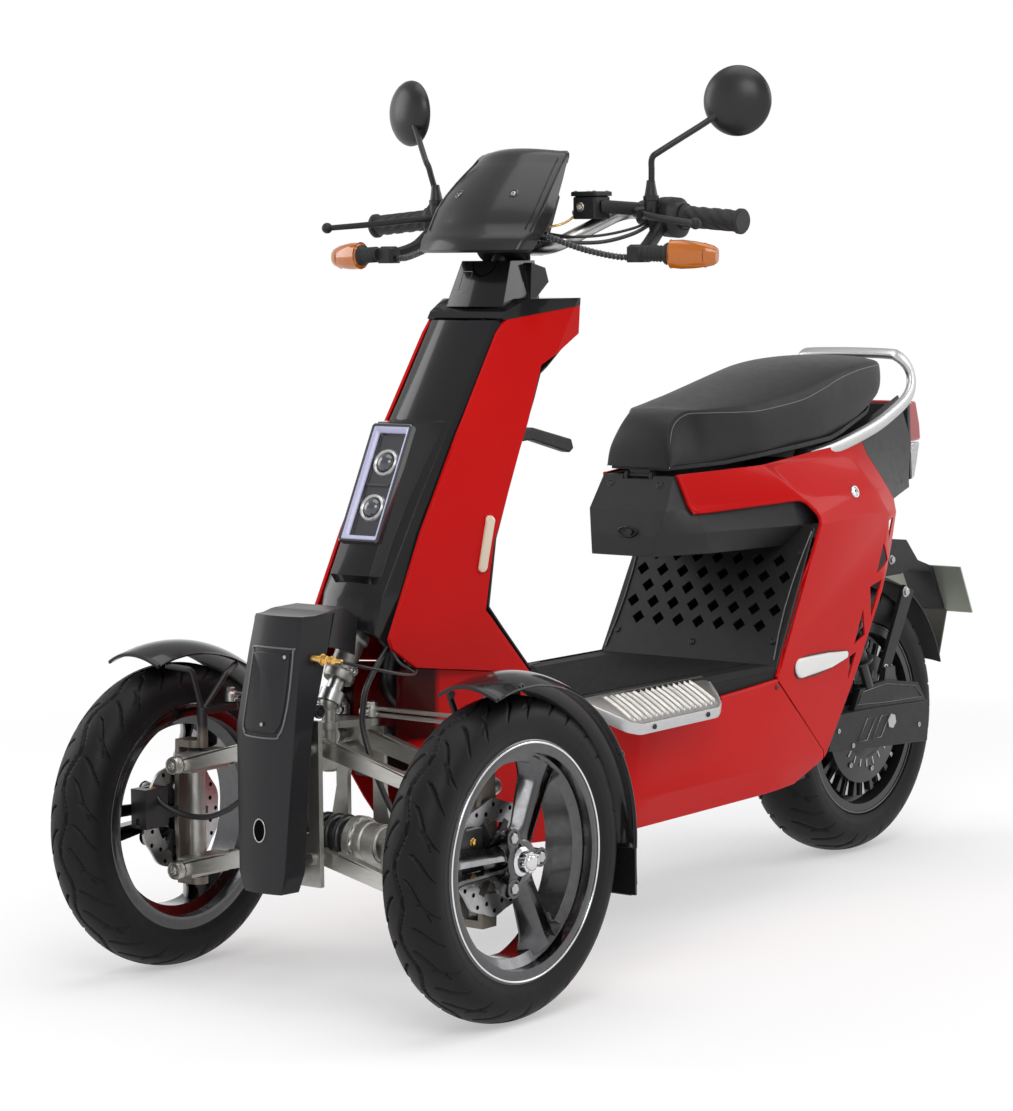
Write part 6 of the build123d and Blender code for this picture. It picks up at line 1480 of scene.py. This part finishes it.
barCables = []
for size, places in barCableSet.values():
    for side in (1, -1):
        barCables.append(tube(route([(side * x, a, z) for x, a, z in places], 8), size, 10))
settle("bar_cables", *merged(*barCables), "cable", "steering", 60, "matte_black")
refined(("display",), "matteBlack", "steering", 0.0030, 24)
dial = [at(x, a, z) for x, a, z in ((-34, 473, 1070), (34, 473, 1070), (34, 498, 1126), (-34, 498, 1126))]
settle("display_face", *slab(dial, (0, 1, -0.45), 0.0012), "lampDark", "steering", 30, "gloss_black")
refined(("bag_hook",), "matteBlack", "root", 0.0025, 24)
print("bars dressed")

# neck: a framed shallow recess and the round notch under the bars, its well painted shade
neckRows = ((966, 54, 340, 10), (1034, 46, 370, 8))


def neckFace(x, height, lift):
    half, station, bow = between(neckRows, height)
    return at(x, station - bow * (1 - (x / half) ** 2) - lift, height)


frameLine = [neckFace(x, z, 0.3) for x, z in ((-34, 988), (-34, 1003), (-34, 1018), (-24, 1018),
                                              (-14, 1018), (-14, 1003), (-14, 988), (-24, 988))]
settle("neck_recess", *tube(frameLine, 0.0008, 8, True), "coverLine", "root", 60, "satin_grey")
notchRing = [[neckFace(4 + 24 * cos(pi + pi * k / 20) * s, 1033 + 24 * sin(pi + pi * k / 20) * s, lift)
              for k in range(21)] for s, lift in ((1.0, 0.2), (0.97, 0.9))]
settle("neck_notch", *loft(notchRing), "holeDark", "root", 30, "gloss_black")
print("neck trimmed")

# lower body, seat box and rear
bodySkins = {
    "leg": ((425, ((18, 78), (320, 122), (430, 134))), (505, ((42, 80), (230, 112), (430, 128))),
            (650, ((118, 77), (250, 112), (430, 122))),
            (800, ((216, 74), (325, 112), (480, 116)))),
    "rear": ((222, ((150, 70), (500, 172), (900, 176), (1150, 162), (1440, 110))),
             (362, ((75, 62), (520, 178), (890, 178), (1200, 166), (1440, 110))),
             (600, ((690, 58), (800, 100), (996, 172), (1250, 160), (1440, 96))),
             (642, ((690, 75), (784, 80), (1001, 156), (1230, 146), (1440, 90))),
             (700, ((690, 60), (757, 71), (945, 114), (1190, 121), (1440, 88)))),
}


def skinX(name, a, z):
    # half width of the body at a distance behind the front axle and a height
    def across(rows):
        found = between(rows, a)
        return found[0] if found else rows[0][1] if a < rows[0][0] else rows[-1][1]
    for (z0, low), (z1, high) in zip(bodySkins[name], bodySkins[name][1:]):
        if z0 <= z <= z1:
            return across(low) + (across(high) - across(low)) * (z - z0) / (z1 - z0)
    return across(bodySkins[name][-1][1])


def badge(name, outline, kind):
    # rings of one outline on a body skin: (shrink, lift) pairs from the skin outwards, the last one closed
    middle = (sum(p[0] for p in outline) / len(outline), sum(p[1] for p in outline) / len(outline))
    rings = []
    for shrink, lift in badgeRows[kind]:
        ring = []
        for a, z in outline:
            da, dz = a - middle[0], z - middle[1]
            length = sqrt(da * da + dz * dz)
            keep = (length - shrink) / length
            a1, z1 = middle[0] + da * keep, middle[1] + dz * keep
            ring.append(at(skinX(name, a1, z1) + lift, a1, z1))
        rings.append(ring)
    return loft(rings)


lampLine = [(952 + 16 * cos(t), 373 + 16 * sin(t)) for t in (pi / 2 + pi * k / 12 for k in range(13))]
lampLine += [(1000, 359), (1050, 364)]
lampLine += [(1096 + 6 * cos(t), 380 + 6 * sin(t)) for t in (-pi / 2 + pi * k / 8 for k in range(9))]
lampLine += [(1040, 389.5), (985, 390)]
badgeRows = {
    # (shrink, lift) of each ring
    "surround": ((-3.5, -2), (-3.5, 1.2), (-2.6, 2.0), (-0.4, 2.0), (0.4, 0.8), (0.6, -1)),
    "lamp": ((0.4, 0), (0.5, 2.6), (1.8, 4.2), (5, 5.2), (9, 5.6)),
    "base": ((-3, -3), (-3, 1.4), (-1.8, 2.4), (0, 2.4)),
    "reflector": ((0, 1.5), (0.2, 4.0), (1.6, 5.0), (4, 5.4)),
}
surround = badge("rear", lampLine, "surround")
bothSides("side_lamp_surrounds", surround, "glossBlack", "root", slot="gloss_black")
lens = badge("rear", lampLine, "lamp")
bothSides("side_lamps", lens, "sideLamp", "root", slot="clear_lens")
reflectorLine = []
for k in range(28):
    t = 2 * pi * k / 28
    lift = 33 if sin(t) > 0 else -33
    reflectorLine.append((226 + 0.28 * lift + 7.5 * cos(t), 628 + lift + 7.5 * sin(t)))
bothSides("leg_reflector_bases", badge("leg", reflectorLine, "base"), "redGloss", "root", slot="red_panel")
bothSides("leg_reflectors", badge("leg", reflectorLine, "reflector"), "reflector", "root",
          slot="amber_lens")
lockAt = at(skinX("rear", 1158, 643), 1158, 643)
lockBody = {"steps": 40, "profile": [(-2, 0.2), (-2, 10.8), (2, 10.8), (3.6, 9.6), (3.6, 7.6), (1, 7),
                                     (2.4, 6), (2.8, 0.2)]}
lockShape = turned(lockBody, lockAt, (1, 0.05, 0.3))
bothSides("seat_locks", lockShape, "chrome", "root", slot="silver_steel")
bellyScrew = socketHead(at(skinX("rear", 880, 350) + 0.2, 880, 350), (1, 0, 0), 0.0040, 0.0016)
bothSides("belly_screws", bellyScrew, "blackSteel", "root", slot="black_steel")
# the key slot in each lock, painted shade
keyhole = [lockAt + Vector((0.0028, y, z)) for y, z in ((-0.0012, -0.004), (0.0012, -0.004),
    (0.0012, 0.004), (-0.0012, 0.004))]
bothSides("lock_slots", slab(keyhole, (1, 0, 0.3), 0.0004), "holeDark", "root", slot="matte_black")

# ribs of the mat, strewn along a line
rib = swept([(0, -0.5, 0), (0, -0.497, 0), (0, 0, 0), (0, 0.497, 0), (0, 0.5, 0)],
            [(0.0008, 0.0004), (0.0026, 0.0014), (0.0026, 0.0014), (0.0026, 0.0014), (0.0008, 0.0004)], 8,
            2.2)


def ribMould(half):
    return [Vector((p[0], p[1] * 2 * half, p[2])) for p in rib[0]], rib[1]


sprinkle("mat_ribs", [at(0, 420, 385.2), at(0, 870, 385.2)], ribMould(0.128), 0.0098, "boardRubber", "root")
# footrests: a tread that falls away outwards, its ribs raised in the mesh, with a tall outer wall
footSet = {"rows": [(377, 160, 386, 158), (396, 188, 371, 157), (420, 220, 353, 157), (440, 227, 348, 157),
                    (640, 227, 350, 158), (656, 221, 355, 158), (676, 200, 366, 158), (697, 172, 379, 158)],
           "shares": (0, 0.10, 0.13, 0.3, 0.5, 0.7, 0.86, 0.89, 1.0), "inner": 387.5, "pitch": 14.4,
           "rise": 2.4, "from": 428, "to": 652, "thick": 4.0}


def footPlace(a, share):
    # across and up on the tread, from its inner edge (0) to its outer edge (1)
    outerX, outerZ, innerX = between(footSet["rows"], a)
    drop = (outerZ - footSet["inner"]) * share ** 1.25
    return innerX + (outerX - innerX) * share, footSet["inner"] + drop


stationsAlong = sorted(set([row[0] for row in footSet["rows"]] + [377 + 320 * k / 213 for k in range(214)]))
treadTop, treadLow, lipPath = [], [], []
for a in stationsAlong:
    row, under = [], []
    for share in footSet["shares"]:
        x, z = footPlace(a, share)
        ribbed = footSet["from"] < a < footSet["to"] and 0.12 < share < 0.87
        wave = max(0.0, sin(2 * pi * a / footSet["pitch"])) ** 0.6 if ribbed else 0.0
        row.append(at(x + footSet["rise"] * wave * 0.5, a, z + footSet["rise"] * wave))
        under.append(at(x - 1.0, a, z - footSet["thick"]))
    treadTop.append(row)
    treadLow.append(under)
    lipPath.append(row[-1] + Vector((0.0010, 0, -0.0068)))
made = bothSides("footrest_treads", sheetShell(treadTop, treadLow), "rawAluminium", "root", sharp=34,
                 slot="bare_aluminium")[0]
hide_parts("footrests")
lipPath = lipPath[::6] + lipPath[-1:]
bothSides("footrest_lips", swept(lipPath, [(0.0022, 0.0090)] * len(lipPath), 16, 4.0), "satinSilver",
          "root", sharp=50, slot="bare_aluminium")
footScrews = []
for a in (471, 611):
    x, z = footPlace(a, 1)
    footScrews.append(socketHead(at(x + 3.0, a, z - 6.5), (1, 0, 0), 0.0042, 0.0022))
bothSides("footrest_screws", merged(*footScrews), "blackSteel", "root", slot="black_steel")
# the mat's folded edge, which meets the red panel behind the footrest
skirtTop, skirtLow = [], []
for k in range(25):
    a = 398 + (884 - 398) * k / 24
    x = skinX("rear", a, 372) - 4.2
    skirtTop.append([at(x - 1.2, a, 386.6), at(x + 0.6, a, 385.0), at(x + 1.0, a, 380), at(x + 0.9, a, 362),
                     at(x + 0.4, a, 346)])
    skirtLow.append([p - Vector((0.0024, 0, 0)) for p in skirtTop[-1]])
bothSides("mat_edges", sheetShell(skirtTop, skirtLow), "boardRubber", "root", sharp=40, slot="matte_black")

# pierced panel: corner screws, a pale edge and a near-black sheet behind it, painted shade seen through its
# holes
grilleWay = Vector((0, -0.8709, 0.4914))


def grillePoint(x, z, lift=0.0):
    return at(x, 881 + (z - 378) * 123 / 218, z) + grilleWay * (0.0002 + lift / 1000)


grilleScrews = []
grilleWasher = {"steps": 26, "profile": [(0, 0.2), (0, 5.8), (1.2, 5.2), (1.2, 4.2), (0.2, 3.8),
                                         (0.2, 0.2)]}
for x, z in ((158, 556), (-158, 556), (154, 420), (-154, 420), (0, 410)):
    grilleScrews.append(turned(grilleWasher, grillePoint(x, z), grilleWay))
    grilleScrews.append(socketHead(grillePoint(x, z), grilleWay, 0.0030, 0.0012))
settle("grille_screws", *merged(*grilleScrews), "blackSteel", "root", 34, "black_steel")
edgeLine = [grillePoint(skinX("rear", 881 + (z - 378) * 123 / 218, z) - 5.2, z, 0.6)
            for z in (392, 430, 470, 510, 550, 590)]
bothSides("grille_edges", tube(edgeLine, 0.0013, 8), "coverLine", "root", sharp=60, slot="satin_grey")
shadeSheetFront = [[grillePoint(x, z, -12) for x in (-166, -75, 0, 75, 166)] for z in (392, 450, 520, 585)]
shadeSheetBack = [[p - grilleWay * 0.002 for p in row] for row in shadeSheetFront]
settle("grille_liner", *sheetShell(shadeSheetFront, shadeSheetBack), "holeDark", "root", 30, "matte_black")

# seat box: corner screws and the latch slot on its front
boxScrews = []
boxWasher = {"steps": 26, "profile": [(0, 0.2), (0, 6.2), (1, 5.6), (1, 4.4), (-0.6, 4), (-0.6, 0.2)]}
for x in (-49, 46):
    place = at(x, 745.6, 677)
    boxScrews.append(turned(boxWasher, place, (0, -1, 0.5)))
    boxScrews.append(socketHead(place, (0, -1, 0.5), 0.0032, 0.0010))
settle("box_screws", *merged(*boxScrews), "blackSteel", "root", 34, "black_steel")
latchLine = [at(8 + 17 * cos(2 * pi * k / 36), 710.2, 604 + 8 * sin(2 * pi * k / 36)) for k in range(36)]
latchPin = {"steps": 24, "profile": [(-1, 0.2), (-1, 5.2), (1.6, 5), (2, 0.2)]}
latch = merged(tube(latchLine, 0.0014, 8, True), turned(latchPin, at(14, 710, 604), (0, -1, 0)))
settle("box_latch", *latch, "glossBlack", "root", 40, "gloss_black")

# tail: red upper and clear lower lamp, the flattened grab rail, the plate and the flap
tailSet = {"red": [(1440, 709), (1484, 709), (1486, 714), (1483, 738), (1470, 778), (1440, 780)],
           "clear": [(1440, 640), (1466, 644), (1476, 676), (1484, 707.5), (1440, 707.5)], "half": 80}


def sideBlock(rows, half):
    return loft([[at(-half, a, z) for a, z in rows], [at(half, a, z) for a, z in rows]])


upper = settle("tail_lamp_red", *sideBlock(tailSet["red"], tailSet["half"]), "redLens", "root", 30,
               "red_lens")
lower = settle("tail_lamp_clear", *sideBlock(tailSet["clear"], tailSet["half"]), "clearLens", "root", 30,
               "clear_lens")
for piece in (upper, lower):
    softened(piece, 0.004, 3)
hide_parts("tail_lamp")
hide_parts("tail_lamp")
railHalf = [(107, 1085, 704), (114, 1165, 718), (121, 1262, 744), (119, 1330, 767), (116, 1374, 786),
            (112, 1398, 805), (107, 1405, 828), (103, 1396, 846), (96, 1381, 859), (80, 1375, 863.5),
            (0, 1374, 865)]
railLine = flow([at(*p) for p in railHalf] + [at(-x, a, z) for x, a, z in railHalf[-2::-1]], 6)
railSizes = [(0.0066, 0.0108)] * len(railLine)
made = settle("grab_bar", *swept(railLine, railSizes, 20, 2.8), "satinSilver", "root", 60, "bare_aluminium")
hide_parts("grab_rail")
railWasher = {"steps": 24, "profile": [(0, 0.2), (0, 11), (3, 11), (4, 8), (4, 0.2)]}
railFoot = {"steps": 24, "profile": [(0, 0.2), (0, 7.5), (18, 7.5), (18, 0.2)]}
feet = merged(*[turned(railFoot, at(s * 106.8, 1092, 687), (0, 0, 1)) for s in (1, -1)],
              *[turned(railWasher, at(s * 107.5, 1112, 699), (0, 0.2, 1)) for s in (1, -1)])
settle("grab_bar_feet", *feet, "steel", "root", 34, "silver_steel")
refined(("rear_fender",), "matteBlack", "root", 0.0020, 26, 2)
refined(("number_plate",), "plateMetal", "root", 0.0008, 26, 2)
# two slots in the plate, their wells painted shade
slots = []
for x in (-45, 45):
    rings = []
    for size, lift in ((1, -0.2), (1, 0.5), (0.9, 0.7)):
        turns = [2 * pi * k / 24 for k in range(24)]
        rings.append([at(x + 12 * cos(t) * size + (10 if cos(t) > 0 else -10), 1620.6 + lift * 0.9,
                         466 + 3 * sin(t) * size + lift * 0.45) for t in turns])
    slots.append(loft(rings))
settle("plate_slots", *merged(*slots), "holeDark", "root", 34, "matte_black")
flapFront = []
for share in (0, 0.25, 0.5, 0.75, 1.0):
    flapFront.append([at(x, 1608 - 16 * share, 398 - 80 * share) for x in (-60 + 6 * share, -30, 0, 30,
        60 - 6 * share)])
flapBack = [[p + Vector((0, 0.004, 0.001)) for p in row] for row in flapFront]
settle("rear_flap", *sheetShell(flapFront, flapBack), "flapOlive", "root", 30, "matte_black")
stayTrim = merged(*[hexHead(at(s * 72.2, a, z), (s, 0, 0), r, 0.005) for s in (1, -1)
                    for a, z, r in ((1448, 446, 0.0074), (1383, 318, 0.0064))],
                  *[hexHead(at(s * 30.2, 1470, 498), (s, 0, 0), 0.0064, 0.005) for s in (1, -1)])
settle("stay_bolts", *stayTrim, "steel", "root", 34, "silver_steel")

# swingarm cover: raised outlines of two slanted recesses, and its screws
outlines = []
for shift in (0, 46):
    rows = [(1240 + shift, 210), (1268 + shift, 210), (1298 + shift, 246), (1270 + shift, 246)]
    outlines.append(tube([at(104.6, a, z) for a, z in rows], 0.0011, 6, True))
rows = ((1252, 272), (1268, 292), (1343, 298), (1440, 284), (1462, 262), (1340, 266))
outlines.append(tube([at(96.8, a, z) for a, z in rows], 0.0009, 6, True))
settle("cover_outlines", *merged(*outlines), "coverLine", "root", 60, "satin_grey")
bolts = [socketHead(at(104, a, z), (1, 0, 0), 0.0042, 0.0024) for a, z in ((1180, 236), (1440, 216),
    (1225, 206))]
settle("cover_bolts", *merged(*bolts), "steel", "root", 34, "silver_steel")

# rear wheel: thin bright wedges between the dark ribs, the hub's screws and axle nuts
rearSet = {"fin": (0.036, [(0.113, -0.0012), (0.136, -0.0040), (0.136, 0.0040), (0.113, 0.0012)], 0.004),
           "rib": (0.008, [(0.110, -0.003), (0.138, -0.006), (0.138, 0.006), (0.110, 0.003)], 0.028),
           "key": (0.054, [(0.070, -0.0014), (0.084, -0.0014), (0.084, 0.0014), (0.070, 0.0014)], 0.0016)}
finPieces, dark = [], []
for side in (-1, 1):
    for k in range(15):
        turn = 2 * pi * (k + 0.5) / 15
        for pieces, key in ((finPieces, "fin"), (dark, "rib")):
            out, outline, depth = rearSet[key]
            pieces.append(slab(onWheel(centres["rear"], side * out, turn, outline), (side, 0, 0), depth))
settle("rear_fins", *merged(*finPieces), "steel", "wheel_rear", 30, "silver_steel")
settle("rear_ribs", *merged(*dark), "blackSteel", "wheel_rear", 30, "black_steel")
hubTrim = []
for side in (-1, 1):
    for k in range(8):
        turn = 2 * pi * (k + 0.25) / 8
        place = onWheel(centres["rear"], side * 0.0535, turn, [(0.091, 0)])[0]
        hubTrim.append(socketHead(place, (side, 0, 0), 0.0046, 0.0026))
    out, outline, depth = rearSet["key"]
    for k in range(24):
        hubTrim.append(slab(onWheel(centres["rear"], side * out, 2 * pi * k / 24, outline), (side, 0, 0),
                            depth))
settle("hub_screws", *merged(*hubTrim), "steel", "wheel_rear", 34, "silver_steel")
rearLip = []
for side in (-1, 1):
    turns = [2 * pi * k / 10 for k in range(10)]
    bead = [(side * (0.0508 + 0.0010 * cos(turn)), 0.1640 + 0.0016 * sin(turn)) for turn in turns]
    rearLip.append(spin(bead, centres["rear"], (1, 0, 0), 128))
settle("rear_rim_lips", *merged(*rearLip), "gunmetal", "wheel_rear", 50, "gunmetal")
axle = merged(*[hexHead(centres["rear"] + Vector((s * 0.098, 0, 0)), (s, 0, 0), 0.0135, 0.010)
                for s in (1, -1)])
settle("rear_axle_nuts", *axle, "steel", "root", 34, "silver_steel")
shockCoils = []
shockBody = {"steps": 32, "profile": [(0, 0.2), (0, 8.5), (50, 8.5), (52, 20), (56, 20.5), (58, 12),
                                      (186, 12), (190, 20.5), (196, 20), (200, 8.5), (248.6, 8.5),
                                      (248.6, 0.2)]}
for s in (1, -1):
    low, high = at(s * 95, 1290, 298), at(s * 95, 1180, 521)
    way, first, second = framed(high - low)
    line = []
    for k in range(169):
        angle = 2 * pi * 7 * k / 168
        reach = (first * cos(angle) + second * sin(angle)) * 0.0172
        line.append(low + (high - low) * (0.27 + 0.56 * k / 168) + reach)
    shockCoils.append(tube(line, 0.0038, 8))
    shockCoils.append(turned(shockBody, low, way))
    shockCoils.append(tube([low, low - Vector((s * 0.011, 0, 0))], 0.004, 12))
made = settle("shock_coils", *merged(*shockCoils), "blackSteel", "root", 40, "black_steel")
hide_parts("rear_shocks")
print("rear dressed")

# dark wiring under the windshield's foot
bundle = []
wiringRows = [(-46, 52, 6, 372), (-30, 60, 9, 380), (-52, 30, 11, 392), (-18, 74, 4, 400),
              (-60, 64, 7, 410)]
for x0, x1, drop, back in wiringRows:
    places = [(x0, back, 1059), (x0 * 0.6 + x1 * 0.1, back - 6, 1056 - drop * 0.5),
              ((x0 + x1) / 2, back - 4, 1055 - drop * 0.5), (x1 * 0.7, back, 1055 - drop * 0.4),
              (x1, back + 6, 1059)]
    bundle.append(tube(route(places, 6), 0.0042, 10))
settle("cowl_wiring", *merged(*bundle), "cable", "steering", 60, "matte_black")

# rolled edges of the red panels round the rider's opening
edgeSet = {"radius": 0.0036, "sink": 2.2, "round": 14,
           "opening": [(759.6, 691.8), (786.5, 631.6), (994.8, 643.6), (1031.9, 612.0), (1015.7, 584.8),
                       (898.4, 384.8), (883.6, 364.8)],
           "sill": [(881.6, 360.1), (808.8, 355.3), (722.5, 350.5)]}


def rolled(corners, name):
    line = [corners[0]]
    for before, corner, after in zip(corners, corners[1:], corners[2:]):
        spot = Vector(corner)
        (a1, z1), (a2, z2) = [spot + (Vector(p) - spot).normalized() * edgeSet["round"]
                              for p in (before, after)]
        line += [((1 - t) ** 2 * a1 + 2 * t * (1 - t) * corner[0] + t * t * a2,
                  (1 - t) ** 2 * z1 + 2 * t * (1 - t) * corner[1] + t * t * z2)
                 for t in (0, 0.25, 0.5, 0.75, 1)]
    line.append(corners[-1])
    full = []
    for (a1, z1), (a2, z2) in zip(line, line[1:]):
        steps = max(1, int(((a2 - a1) ** 2 + (z2 - z1) ** 2) ** 0.5 / 14))
        full += [(a1 + (a2 - a1) * k / steps, z1 + (z2 - z1) * k / steps) for k in range(steps)]
    full.append(line[-1])
    return tube([at(skinX(name, a, z) - edgeSet["sink"], a, z) for a, z in full], edgeSet["radius"], 12)


bothSides("panel_edges", merged(rolled(edgeSet["opening"], "rear"), rolled(edgeSet["sill"], "rear")),
          "redGloss", "root", sharp=60, slot="red_panel")
